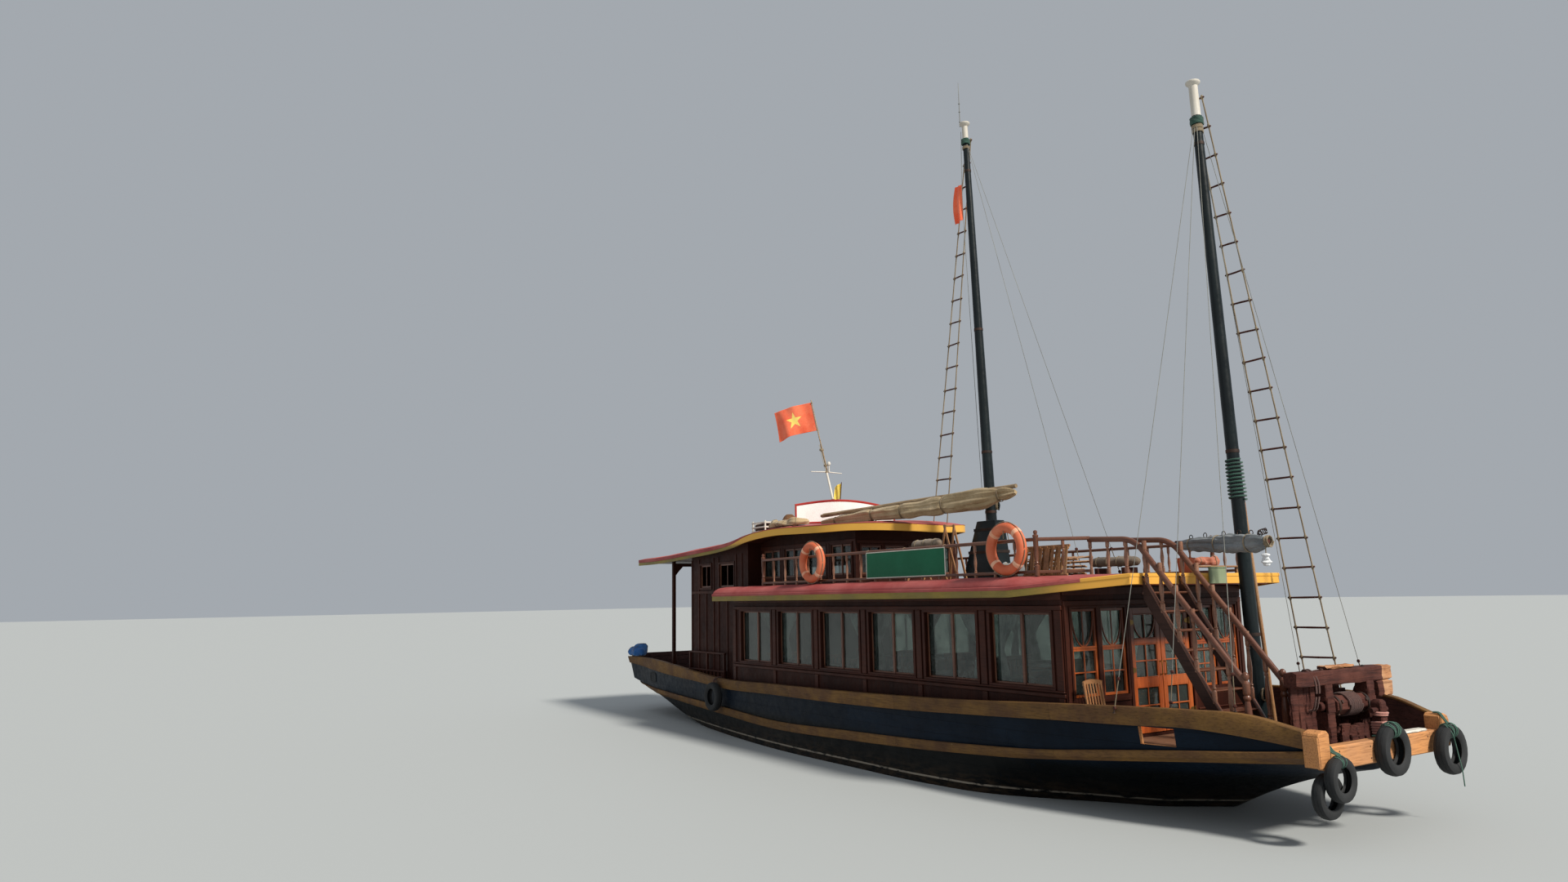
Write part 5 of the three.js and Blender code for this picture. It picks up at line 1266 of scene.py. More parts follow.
# A leaning spar, tapered and a little uneven, white above a height, under a dished cap, with iron hoops.
def makeMast(name, mast, saddle, hoops, node, cleats):
    z = np.unique(np.concatenate([np.linspace(mast["foot"], mast["top"], 60), [mast["top"] - mast["white"]]]))
    x, radius = mastPlace(mast, z)
    rng = np.random.default_rng(5)
    radius = radius * (1 - 0.02 * rng.random(len(z)))
    points, faces, _ = tube(columns(x, 0 * z, z), radius, 24)
    white = np.repeat(z[:-1] >= mast["top"] - mast["white"] - 1e-6, 24).astype(int).tolist() + [0, 1]
    shapes = [(points, faces, white)]
    top, _ = mastPlace(mast, mast["top"])
    cap, t = mast["cap"], mast["top"]
    shapes += [turned([(0, t - 0.055), (0.5 * cap, t - 0.05), (0.7 * cap, t - 0.03), (0.96 * cap, t - 0.004),
            (cap, t + 0.006), (cap, t + 0.022), (0.94 * cap, t + 0.03), (0, t + 0.03)], (top, 0, 0), 28, 2, 1)]
    for h in hoops:
        hx, hr = mastPlace(mast, h)
        shapes += [turned([(hr - 0.006, h - 0.022), (hr + 0.004, h - 0.022), (hr + 0.005, h), (hr + 0.004, h + 0.022),
                (hr - 0.006, h + 0.022)], (hx, 0, 0), 24, 2, 2)]
    sx, sz, sr = saddle
    shapes += [turned([(0.05, sz - 0.07), (0.78 * sr, sz - 0.06), (0.95 * sr, sz - 0.03), (sr, sz - 0.012), (sr, sz),
            (0.05, sz)], (sx, 0, 0), 28)]
    for h, angle in cleats:
        cx, cr = mastPlace(mast, h)
        out = np.array([cos(angle), sin(angle), 0])
        a = np.array([cx, 0, h]) + out * (cr - 0.01)
        b = a + out * 0.055
        shapes += [tube([a, b], 0.016, 8, 0)]
        horn = np.array([b - [0, 0, 0.09], b - [0, 0, 0.04] + out * 0.008, b + out * 0.012,
                b + [0, 0, 0.04] + out * 0.008, b + [0, 0, 0.09]])
        shapes += [tube(horn, [0.008, 0.014, 0.017, 0.014, 0.008], 8, 0)]
        w = np.linspace(0, 10 * pi, 90)
        coil = columns(0.02 * np.sin(w), 0.075 * np.cos(w))
        across = np.array([-out[1], out[0], 0])
        line = (a + b) / 2 + out * 0.012 * np.sin(w * 0.37)[:, None] + across * (coil[:, :1] * 1.6)
        line = line + np.array([0, 0, 1]) * coil[:, 1:]
        shapes += [tube(line, 0.006, 6, 3)]
    assemble(name, shapes, [mastPaint, whitePaint, blackIron, ropeFibre], stands=node)


def makeMasthead():
    m = mainMast
    top, _ = mastPlace(m, m["top"])
    rod = tube([(top - 0.12, 0, m["top"] + 0.02), (top - 0.12, 0, 11.8), (top - 0.12, 0, 12.2)],
            [0.008, 0.0065, 0.004], 8)
    arm = boards((top - 0.13, 0, m["top"] + 0.015), (top + 0.02, 0, m["top"] + 0.015), 0.02, 0.02, 0.004)
    ring = [turned([(0.006, h - 0.004), (0.017, h - 0.004), (0.017, h + 0.004), (0.006, h + 0.004)],
            (top - 0.12, 0, 0), 12) for h in (11.42, 11.62, 11.78)]
    assemble("mastheadRod", [rod, arm, *ring], [wireRope])


tabernacle = {"x": 1.31, "foot": 3.0003, "tall": 1.0097, "bands": (3.1, 3.48, 3.86)}


# The main mast's tabernacle: a tapering box with eased corners, three iron bands and bolt heads.
def makeTabernacle():
    m = tabernacle
    low = np.array([(-0.62, -0.17), (0.29, -0.17), (0.29, 0.17), (-0.62, 0.17)])
    high = np.array([(-0.25, -0.12), (0.19, -0.12), (0.19, 0.12), (-0.25, 0.12)])
    shares = np.array([0, 0.006, 0.994, 1.0])
    cuts = np.array([0.97, 1, 1, 0.96])
    rings = []
    for s, cut in zip(shares, cuts):
        square = (low + (high - low) * s) * cut
        eased = np.stack([square * 0.94 + np.roll(square, 1, 0) * 0.06,
                square * 0.94 + np.roll(square, -1, 0) * 0.06], 1).reshape(-1, 2)
        rings += [np.column_stack([eased + [m["x"], 0], np.full(8, m["foot"] + m["tall"] * s)])]
    shapes = [carried(np.array(rings))]
    for z in m["bands"]:
        s = (z - 3.0) / 1.01
        corners = low + (high - low) * s + np.array([(-1, -1), (1, -1), (1, 1), (-1, 1)]) * 0.004
        for a, b in zip(corners, np.roll(corners, -1, 0)):
            shapes += [boards((m["x"] + a[0], a[1], z), (m["x"] + b[0], b[1], z), 0.01, 0.05, 0.003, finish=1)]
    heads = [turned([(0, -0.002), (0.016, -0.002), (0.013, 0.008), (0, 0.01)], (m["x"] + dx, y, z), 10, 1, 1)
            for dx, z, y in ((-0.4, 3.25, 0.1575), (0.1, 3.25, 0.1575), (-0.27, 3.65, 0.138), (0.07, 3.65, 0.138))]
    assemble("mastTabernacle", shapes + bothSides(heads), [mastPaint, blackIron],
            stands="main_tabernacle")


# The middle line of a rolled sail, its radius, and the two directions across it, at shares t of its length.
def rollLine(sail, t):
    a, b = np.array(sail["aft"]), np.array(sail["front"])
    z, size = along(sail["line"], 1, t), along(sail["line"], 2, t)
    centre = a + (b - a) * t[:, None]
    centre[:, 2] = z
    axis = unit(b - a)
    level = unit(np.cross([0, 0, 1], axis))
    return centre, size, axis, level, np.cross(axis, level)


# A sail rolled on its boom. At a share t of its length and an angle w the radius is the roll's own, drawn in a little
# at each tie by a bell curve, with long folds: cosines of 3, 5 and 9 w whose phases drift slowly with t. Its lower half
# hangs by a fifth more, and its front end is ragged: the folds grow there with t to the sixth power.
def rollGrid(sail):
    rng = np.random.default_rng(sail["seed"])
    t = np.linspace(0.004, 0.996, 240)
    centre, size, _, level, lift = rollLine(sail, t)
    t, size = t[:, None], size[:, None]
    w = around(64)[None]
    drift = [sum(rng.uniform(0.3, 0.9) * np.sin(rng.uniform(3, 9) * t + rng.uniform(0, 6)) for _ in range(3))
            for _ in range(5)]
    near = np.clip(sum(np.exp(-((t - tie) / 0.011) ** 2) for tie in sail["ties"]), 0, 1)
    fold = 0.09 * np.cos(3 * w + drift[0]) + 0.075 * np.cos(5 * w + 1.3 * drift[1])
    fold = fold + 0.05 * np.cos(9 * w + 1.5 * drift[2]) + 0.03 * np.cos(17 * w + 2 * drift[4])
    lap = np.mod(w - 3.4 - 0.35 * drift[3], 2 * pi) / (2 * pi)
    flap = 0.13 * np.exp(-lap * 9) - 0.05
    ragged = 0.5 * t ** 6 * (np.cos(2 * w + 3 * drift[1]) + 0.7 * np.cos(4 * w + 30 * t))
    swell = 1 + 0.05 * np.sin(31 * t + drift[0]) + 0.04 * np.sin(53 * t)
    radius = size * (0.92 * swell - 0.12 * near + (fold + flap) * (1 - 0.6 * near) + 0.45 * ragged)
    high = radius * np.sin(w)
    high = np.where(high < 0, 1.2 * high, high)
    return centre[:, None] + (radius * np.cos(w))[..., None] * level + high[..., None] * lift


# Two turns of cord round a rolled sail at a tie: a helix just outside the drawn-in cloth.
def tieCord(sail, tie):
    w = np.linspace(0, 4 * pi, 50)
    centre, size, _, level, lift = rollLine(sail, tie + (w / (4 * pi) - 0.5) * 0.008)
    across, high = np.cos(w) * size * 0.92, np.sin(w) * size * 0.92
    high = np.where(high < 0, 1.2 * high, high)
    return tube(centre + level * across[:, None] + lift * high[:, None], 0.006, 6, 1)


def makeSail(name, sail, cloth, body, node, rings):
    grid = rollGrid(sail)
    piece = assemble(name, [carried(grid)], [cloth], body, node, sharp=60)
    a, b = np.array(sail["aft"]), np.array(sail["front"])
    axis = unit(b - a)
    level = unit(np.cross([0, 0, 1], axis))
    lift = np.cross(axis, level)
    shapes = [tube([a + axis * 0.002, (a + b) / 2, b - axis * 0.002], [0.03, 0.045, 0.034], 12)]
    rng = np.random.default_rng(sail["seed"] + 1)
    for k in range(sail["battens"]):
        turn, off = 2 * pi * k / sail["battens"] + 0.4, 0.03
        side = level * cos(turn) * off + lift * sin(turn) * off
        early, late = rng.uniform(0.0, 0.05, 2)
        shapes += [tube([a + axis * (0.01 + early) + side, b - axis * (0.01 + late) + side * 0.6], 0.013, 8)]
    m, height, hole = sail["mast"], sail["level"], sail["hole"]
    shapes += [turned([(hole, -0.034), (hole + 0.026, -0.034), (hole + 0.03, -0.02), (hole + 0.03, 0.02),
            (hole + 0.026, 0.034), (hole, 0.034), (hole, -0.034)], (m, 0, height), 28, 2, 2)]
    t = (m - a[0]) / (b - a)[0]
    y = (a + (b - a) * t)[1]
    shapes += [tube([(m, -hole - 0.012, height), (m, y, height)], 0.022, 10, 2)]
    shapes += [tieCord(sail, tie) for tie in sail["ties"]]
    w = np.linspace(0, 2 * pi, 17)[:, None]
    for middle, size in zip(*rollLine(sail, np.array(rings))[:2]):
        place = middle + lift * (size * 0.95 + 0.012)
        shapes += [tube(place + axis * 0.032 * np.cos(w) + lift * 0.032 * np.sin(w), 0.006, 6, 2)]
    assemble(name + "Spars", shapes, [sail["spar"], ropeFibre, blackIron], body)


# Ladders of two side ropes with wooden rungs, each lashed to the ropes by a few turns.
def makeLadder(name, top, topHalf, low, lowHalf, pitch, node):
    top, low = np.array(top), np.array(low)
    count = int((top[2] - low[2]) / pitch)
    ends = [(top + [s * topHalf, 0, 0], low + [s * lowHalf, 0, 0]) for s in (-1, 1)]
    shapes = [tube([a, (a + b) / 2, b], 0.0105, 8, 0) for a, b in ends]
    rng = np.random.default_rng(11)
    for i in range(count):
        t = i / count
        a, b = (p + (q - p) * t for p, q in ends)
        a, b = a - [0.03, 0, 0], b + [0.03, 0, 0]
        tip = 0.0 if i == 0 else rng.uniform(-0.012, 0.012)
        middle = (a + b) / 2
        shapes += [tube([a, middle + [0, 0, tip * 0.3], b + [0, 0, tip]], [0.0125, 0.0148, 0.0125], 8, 1)]
        for p, q in ends:
            c, line = p + (q - p) * t, unit(q - p)
            shapes += [tube([c + line * k for k in (-0.035, -0.02, 0.02, 0.035)], [0.011, 0.0185, 0.0185, 0.011], 8, 0)]
    assemble(name, shapes, [ropeFibre, roughTimber], stands=node)


# Standing rigging: wires from the mastheads, taut and straight, each with a lanyard and two deadeyes at its foot.
stays = [
    # mast, height of its hoop, foot, node
    (mainMast, 10.85, (4.3, -0.42, 3.0006), "main_stays"), (mainMast, 10.85, (4.0, -0.85, 3.0006), "main_stays"),
    (foreMast, 9.25, (5.37, -2.022, 1.305), "fore_stays_starboard"),
    (foreMast, 9.25, (5.98, -1.74, 1.4), "fore_stays_starboard"),
    (foreMast, 9.25, (6.71, -1.565, 1.4), "fore_stays_starboard"),
    (foreMast, 9.25, (5.37, 2.022, 1.305), "fore_stays_port"), (foreMast, 9.25, (6.5, 1.62, 1.4), "fore_stays_port"),
]


def makeStays():
    for node in dict.fromkeys(row[3] for row in stays):
        shapes = []
        for mast, z, foot, _ in (row for row in stays if row[3] == node):
            x, r = mastPlace(mast, z)
            foot = np.array(foot)
            out = unit([foot[0] - x, foot[1], 0.0])
            top = np.array([x, 0, z]) + out * (r + 0.006)
            down = unit(foot - top)
            eye, low = foot - down * 0.42, foot - down * 0.06
            shapes += [tube([top, (top + eye) / 2, eye], 0.004, 6, 0)]
            across = unit(np.cross(down, [0.3, 1, 0.1]))
            for s in (-1, 0, 1):
                shapes += [tube([eye + across * 0.006 * s, low + across * 0.006 * s], 0.0026, 5, 1)]
            for c in (eye, low):
                shapes += [tube([c + out * k for k in (-0.014, -0.008, 0.008, 0.014)],
                        [0.012, 0.022, 0.022, 0.012], 12, 2)]
            shapes += [tube([low, foot], 0.008, 8, 3)]
            shapes += [turned([(0, 0.0), (0.022, 0.0), (0.02, 0.006), (0.008, 0.012), (0, 0.012)], foot, 12, 2, 3)]
        w = np.linspace(0, 8 * pi, 80)
        level = z - (0.06 if node == "fore_stays_port" else 0)
        x, r = mastPlace(mast, level)
        shapes += [tube(columns(x + (r + 0.0085) * np.cos(w), (r + 0.0085) * np.sin(w),
                level - 0.025 + 0.05 * w / (8 * pi)), 0.007, 6, 1)]
        words = node.split("_")
        assemble(words[0] + "".join(word.title() for word in words[1:]), shapes,
                [wireRope, ropeFibre, roughTimber, blackIron], stands=node)


makeMast("mastMain", mainMast, (1.298, 4.4247, 0.13), (4.16, 5.2, 7.4, 10.4), "main_mast", [(4.27, 0.6)])
makeMast("mastFore", foreMast, (5.951, 3.3547, 0.128), (1.0, 2.2, 4.6, 9.0), "foremast", [(1.75, 2.4), (1.45, -0.4)])
makeMasthead()
makeTabernacle()
makeSail("sailMain", mainSail, mainCanvas, "main_sail", "main_boom", (0.12, 0.3, 0.52))
makeSail("sailFore", foreSail, foreCanvas, "fore_sail", "fore_boom", (0.2, 0.36, 0.56, 0.72, 0.84, 0.93))
makeLadder("ladderMain", (1.1187, 0.0692, 11.0), 0.06, (-0.25, 0.205, 4.07), 0.19, 0.4, "main_ladder")
makeLadder("ladderFore", (5.8051, 0.0781, 9.7), 0.07, (5.8, 1.818, 1.405), 0.24, 0.4, "fore_ladder")
makeStays()
print("rigging made")


# Fittings.

tyreShape = {
    "profile": [
        (0.165, -0.05), (0.18, -0.064), (0.215, -0.072), (0.245, -0.075), (0.262, -0.072), (0.278, -0.064),
        (0.288, -0.046), (0.2935, -0.026), (0.2895, -0.0235), (0.295, -0.02), (0.295, 0.02), (0.2895, 0.0235),
        (0.2935, 0.026), (0.288, 0.046), (0.278, 0.064), (0.245, 0.075), (0.215, 0.072), (0.18, 0.064), (0.165, 0.05),
        (0.182, 0.028), (0.25, 0.05), (0.256, 0.0), (0.25, -0.05), (0.182, -0.028),
    ],
    "steps": 22,
    "small": 0.84,
    "pair": [(7.6233, -1.16, 0.74), (7.5, -1.22, 0.555)],
    "middle": (7.5953, 0.0, 0.94),
    "port": (7.6353, 1.21, 0.84),
}


# A closed section turned about any axis through a place.
def ringAbout(profile, place, axis, steps):
    axis = unit(np.array(axis, float))
    a = unit(np.cross(axis, [0, 0, 1.0]))
    b = np.cross(axis, a)
    p = np.asarray(profile, float)
    w = around(steps)[:, None, None]
    grid = (np.cos(w) * a + np.sin(w) * b) * p[None, :, :1] + axis * p[None, :, 1:] + np.asarray(place)
    n, m = grid.shape[:2]
    closed = np.concatenate([grid, grid[:1]])
    return closed.reshape(-1, 3), gridFaces(n + 1, m, True), 0


# A rope over a tyre and its carrier: a smooth line with a small weave of its own.
def lashingRope(points, turns=2):
    shapes = []
    for k in range(turns):
        path = rounded(np.asarray(points, float) + [0, 0.03 * k - 0.015 * (turns - 1), 0], 0.04, 6)
        shapes += [tube(path, 0.01, 7, 1)]
    return shapes


# Rope wound round the top of a tyre: a helix about its ring whose turns wander, t = w / n + 0.2 sin(1.7 w).
def woundRope(place, middle, half, turns):
    x, y, z = place
    w = np.linspace(0, 2 * pi * turns, turns * 16)
    turn = (w / w[-1] - 0.5) * turns * 0.036 / middle + 0.05 * np.sin(0.62 * w)
    reach = middle + (half + 0.009) * np.cos(w)
    return [tube(columns(x + (half + 0.009) * np.sin(w), y + reach * np.sin(turn), z + reach * np.cos(turn)),
            0.0072, 6, 1)]


def makeFenders():
    t = tyreShape
    profile = np.array(t["profile"]) * 0.985
    bow = (1, 0, 0)
    x, y, z = t["pair"][0]
    shapes = [ringAbout(profile * t["small"], place, bow, t["steps"]) for place in t["pair"]]
    shapes += lashingRope([(x, y, z + 0.185), (x + 0.01, y, z + 0.262), (x - 0.07, y + 0.01, z + 0.272),
            (7.5, y + 0.02, 1.082), (7.43, y + 0.03, 1.078)], turns=3)
    shapes += woundRope((x, y, z), 0.185, 0.055, 3)
    assemble("fenderBowStarboard", shapes, [tyreRubber, greenRope], stands="fender_bow_starboard")
    x, y, z = t["middle"]
    shapes = [ringAbout(profile, t["middle"], bow, t["steps"]), *woundRope(t["middle"], 0.225, 0.075, 5)]
    shapes += lashingRope([(x, y, z + 0.155), (x - 0.05, y, z + 0.15), (7.49, y - 0.01, 1.085), (7.4, y - 0.03, 1.078)])
    assemble("fenderBowMiddle", shapes, [tyreRubber, greenRope], stands="fender_bow_middle")
    x, y, z = t["port"]
    shapes = [ringAbout(profile, t["port"], bow, t["steps"]), *woundRope(t["port"], 0.225, 0.075, 4)]
    shapes += lashingRope([(x, y, z + 0.3), (x - 0.06, y + 0.01, z + 0.38), (7.54, y + 0.03, 1.262),
            (7.47, y + 0.04, 1.258)])
    drop = [(x + 0.02, y - 0.1, z + 0.29), (x + 0.088, y - 0.09, z + 0.2), (x + 0.09, y - 0.03, z - 0.02),
            (x + 0.088, y + 0.04, z - 0.24), (x + 0.088, y + 0.05, z - 0.42)]
    shapes += [tube(rounded(drop, 0.05), 0.007, 7, 1)]
    assemble("fenderBowPort", shapes, [tyreRubber, greenRope], stands="fender_bow_port")
    x = -4.8
    rail = float(along(stations, 9, np.array([x]))[0])
    edge = -float(breadth(np.array([x]), np.array([rail]))[0]) - 0.05
    place = (x, edge - 0.09, 0.78)
    ropes = lashingRope([(x, edge - 0.09, 1.02), (x, edge - 0.055, 1.13), (x, edge - 0.016, rail + 0.02),
            (x, edge + 0.03, rail + 0.045), (x, edge + 0.1, rail + 0.045)])
    assemble("fenderQuarter", [ringAbout(profile, place, (0, 1, 0), t["steps"]), *ropes], [tyreRubber, tarredRope],
            stands="fender_quarter")


buoyShape = {"middle": 0.297, "tube": 0.074, "y": -2.0353, "z": 3.39}


# Lifebuoys: a ring of round section, four bands wound round it, and a grab line seized under the bands.
def makeLifebuoys():
    b = buoyShape
    w = around(20)
    section = columns(b["middle"] + b["tube"] * np.cos(w), b["tube"] * 0.98 * np.sin(w))
    for name, x, node in (("lifebuoyForward", 3.69, "lifebuoy_forward"), ("lifebuoyAft", -1.2, "lifebuoy_aft")):
        place = (x, b["y"], b["z"])
        shapes = [ringAbout(section, place, (0, 1, 0), 56)]
        for k in range(4):
            turn = pi / 4 + k * pi / 2
            arc = turn + np.linspace(-0.095, 0.095, 5)[:, None, None]
            c = np.array([1.0, 0, 0]) * np.cos(arc) + np.array([0, 0, 1.0]) * np.sin(arc)
            grow = np.array([0.0, 0.0035, 0.0035, 0.0035, 0.0])[:, None, None]
            thick = b["tube"] + grow
            band = c * (b["middle"] + thick * np.cos(w)[None, :, None])
            band = band + np.array([0, 1.0, 0]) * (thick * 0.98 * np.sin(w)[None, :, None]) + np.array(place)
            shapes += [carried(band, 1)]
        line = np.linspace(0, 2 * pi, 97)
        slack = 0.012 * np.abs(np.sin(2 * (line - pi / 4)))
        radius = b["middle"] + b["tube"] + 0.001 + slack * 0.6
        ropePath = columns(x + radius * np.cos(line), b["y"] - 0.022, b["z"] + radius * np.sin(line))
        shapes += [tube(ropePath[:-1], 0.0055, 6, 2)]
        shapes += [tube(rounded([(x - 0.03, -1.945, 3.49), (x - 0.02, -1.975, 3.6), (x, b["y"], b["z"] + 0.375),
                (x + 0.02, -2.1, 3.62), (x + 0.01, -2.09, 3.53)], 0.03, 5), 0.006, 6, 2)]
        assemble(name, shapes, [buoyOrange, buoyBand, ropeFibre], stands=node)


# Hewn timber: a section of cut corners along a line, its faces waved by slow sines and roughened at random.
def hewn(a, b, width, depth, seed, up=(0, 0, 1), rough=0.006, steps=26):
    rng = np.random.default_rng(seed)
    a, b = np.array(a, float), np.array(b, float)
    t = np.linspace(0, 1, steps)[:, None]
    w, d, c = width / 2, depth / 2, 0.014
    half = np.array([(w - c, d), (w, d - c), (w, d * 0.4), (w, -d * 0.4), (w, c - d), (w - c, -d), (w * 0.4, -d),
            (-w * 0.4, -d)])
    section = np.concatenate([half, -half])
    wave = 1 + rough / min(w, d) * (np.sin(7 * t + rng.uniform(0, 6, (1, 16))) * 0.7 + rng.normal(0, 0.6, (steps, 16)))
    wave[[0, -1]] *= 0.93
    axis = unit(b - a)
    side = unit(np.cross(up, axis))
    lift = np.cross(axis, side)
    centre = a + (b - a) * np.clip((t - 0.012) / 0.976, 0, 1)
    centre[0], centre[-1] = a, b
    across, high = section[None, :, :1] * wave[..., None], section[None, :, 1:] * wave[..., None]
    return carried(centre[:, None] + side * across + lift * high)


# A hewn timber whose faces from one ring on are the pale sawn ones.
def sawnEnd(shape, rings, start):
    kinds = np.repeat((np.arange(rings - 1) >= start) * 2, 16).tolist()
    return shape[0], shape[1], kinds + [0, 2]


windlassShape = {"x": 7.02, "z": 1.4, "posts": (-0.3, 0.6), "half": 0.08, "log": 0.118, "pin": 0.0545}


def makeWindlass():
    s = windlassShape
    x0 = s["x"] - 0.09
    shapes = [sawnEnd(hewn((s["x"], -0.95, 1.73), (s["x"], 1.1, 1.73), 0.172, 0.172, 1), 26, 22)]
    shapes += [sawnEnd(hewn((s["x"], 0.765, 1.545), (s["x"], 1.095, 1.545), 0.172, 0.185, 2, steps=12), 12, 4)]
    shapes += [sawnEnd(hewn((s["x"] - 0.03, -0.24, 1.838), (s["x"] - 0.02, 0.36, 1.84), 0.12, 0.036, 3, rough=0.003,
            steps=14), 14, 0)]
    foot = float(deckAt(s["x"])) + 0.004
    for k, y in enumerate(np.linspace(-0.16, 0.46, 5)):
        shapes += [hewn((s["x"] - 0.22, y, foot - 0.006), (s["x"] - 0.215, y, 1.6 + 0.05 * sin(9 * k)), 0.14, 0.06,
                40 + k, (1, 0, 0), 0.005, 18)]
        shapes += [hewn((s["x"] + 0.135, y, foot), (s["x"] + 0.135, y, 1.2 + 0.03 * sin(5 * k)), 0.14, 0.05, 50 + k,
                (1, 0, 0), 0.005, 14)]
    for y in (-0.62, -0.56):
        w = np.linspace(0, 2 * pi, 41)
        loop = columns(s["x"] + 0.105 * np.cos(w), y + 0.02 * np.sin(3 * w),
                1.6 + 0.235 * np.sin(w) - 0.03 * np.cos(w) ** 2)
        shapes += [tube(loop[:-1], 0.011, 7, 3)]
    for k, y in enumerate(np.linspace(-0.855, -0.5, 4)):
        shapes += [hewn((x0 + 0.05, y, 1.0 + 0.03 * (k % 2)), (x0 + 0.05, y, 1.66), 0.112, 0.05, 30 + k,
                (1, 0, 0), 0.004, 16)]
    for k, y in enumerate(s["posts"]):
        foot = float(deckAt(s["x"])) + 0.004
        shapes += [hewn((s["x"], y, foot), (s["x"], y, 1.338), 0.15, 0.17, 10 + k, (1, 0, 0), 0.004)]
        shapes += [hewn((s["x"], y, 1.462), (s["x"], y, 1.655), 0.15, 0.17, 20 + k, (1, 0, 0), 0.003, 10)]
        for side in (-1, 1):
            shapes += [boards((s["x"] + side * 0.073, y, 1.33), (s["x"] + side * 0.073, y, 1.47), 0.152, 0.03,
                    0.004, (1, 0, 0))]
        knee = [(x0 - 0.29, foot - 0.006), (x0 + 0.01, foot), (x0 + 0.01, 1.6), (x0 - 0.02, 1.55), (x0 - 0.09, 1.3),
                (x0 - 0.2, 1.12), (x0 - 0.28, foot + 0.06)]
        shapes += [slab(knee, 1, y - 0.065, y + 0.065, 0.01)]
    shapes += [hewn((s["x"], -0.22, 1.02), (s["x"], 0.52, 1.02), 0.15, 0.11, 4)]
    for y, z in [(-0.3, 1.822), (0.6, 1.822)]:
        shapes += [turned([(0, -0.004), (0.024, -0.004), (0.022, 0.006), (0.01, 0.012), (0, 0.012)],
                (s["x"], y, z), 10, 2, 1)]
    assemble("windlassFrame", shapes, [windlassTimber, blackIron, sawnTimber, tarredRope],
            stands="windlass_frame")
    w = around(8) + pi / 8
    ringsY = [-0.205, -0.195, -0.06, 0.36, 0.495, 0.505]
    scale = [0.93, 1, 1, 1, 1, 0.93]
    log = np.stack([columns(s["x"] + s["log"] * k * np.cos(w), y, s["z"] + s["log"] * k * np.sin(w))
            for y, k in zip(ringsY, scale)])
    shapes = [carried(log)]
    for y0, y1 in ((-0.44, -0.2), (0.5, 0.74)):
        shapes += [turned([(0, y0), (s["pin"] - 0.006, y0), (s["pin"], y0 + 0.008), (s["pin"], y1 - 0.004),
                (s["pin"] - 0.004, y1), (0, y1)], (s["x"], 0, s["z"]), 32, 1)]
    for y in (-0.16, 0.46):
        shapes += [turned([(s["log"] * 0.93, y - 0.02), (s["log"] + 0.004, y - 0.02), (s["log"] + 0.004, y + 0.02),
                (s["log"] * 0.93, y + 0.02)], (s["x"], 0, s["z"]), 24, 1, 1)]
    turns = 9
    v = np.linspace(0, 2 * pi * turns, turns * 22)
    wound = columns(s["x"] + (s["log"] + 0.01) * np.cos(v), 0.02 + 0.27 * v / v[-1],
            s["z"] + (s["log"] + 0.01) * np.sin(v))
    shapes += [tube(wound, 0.0135, 8, 2)]
    sockets = (0.924, 0.383), (-0.383, 0.924), (-0.924, -0.383), (0.383, -0.924)
    shapes += [tube([(s["x"] + k * c, y, s["z"] + k * d) for k in (0.1, 0.128)], 0.02, 10, 1)
            for y in (-0.11, 0.41) for c, d in sockets]
    assemble("windlassBarrel", shapes, [windlassTimber, blackIron, tarredRope], "barrel",
            "windlass_barrel")


bollardShape = {"x": 7.26, "y": 0.42, "half": 0.065, "top": 1.45, "cut": 0.22}


# The bollard: a square post with cut corners, a pin through it, line wound round it and a figure of eight on the pin.
def makeBollard():
    x, y, h, top, c = bollardShape.values()
    steps = [(0.9, 1.0), (0.915, 1.0), (1.24, 1.0), (1.25, 0.9), (1.3, 0.9), (1.31, 1.0), (1.4, 1.0),
            (1.425, 0.94), (top, 0.6)]
    corner = np.array([(1 - c, -1), (1, c - 1), (1, 1 - c), (1 - c, 1), (c - 1, 1), (-1, 1 - c), (-1, c - 1),
            (c - 1, -1)]) * h
    rings = np.stack([np.column_stack([corner * k + [x, y], np.full(8, z)]) for z, k in steps])
    shapes = [carried(rings)]
    shapes += [turned([(0, -0.17), (0.024, -0.17), (0.033, -0.155), (0.03, -0.08), (0.034, -0.06), (0.034, 0.06),
            (0.03, 0.08), (0.033, 0.155), (0.024, 0.17), (0, 0.17)], (x, y, 1.33), 16, 1)]
    v = np.linspace(0, 2 * pi * 5, 110)
    square = columns(np.cos(v), np.sin(v)) / np.maximum(np.abs(np.cos(v)), np.abs(np.sin(v)))[:, None] ** 0.75
    wound = columns(x + (h + 0.008) * square[:, 0], y + (h + 0.008) * square[:, 1], 1.04 + 0.15 * v / v[-1])
    shapes += [tube(wound, 0.014, 8, 1)]
    e = np.linspace(0, 4 * pi, 90)
    eight = columns(x + 0.075 * np.sin(e) + 0.004 * e / pi, y + 0.1 * np.cos(e), 1.265 + 0.012 * e / pi)
    shapes += [tube(eight, 0.013, 8, 1)]
    assemble("bollardPost", shapes, [windlassTimber, pinkRope], stands="bollard")


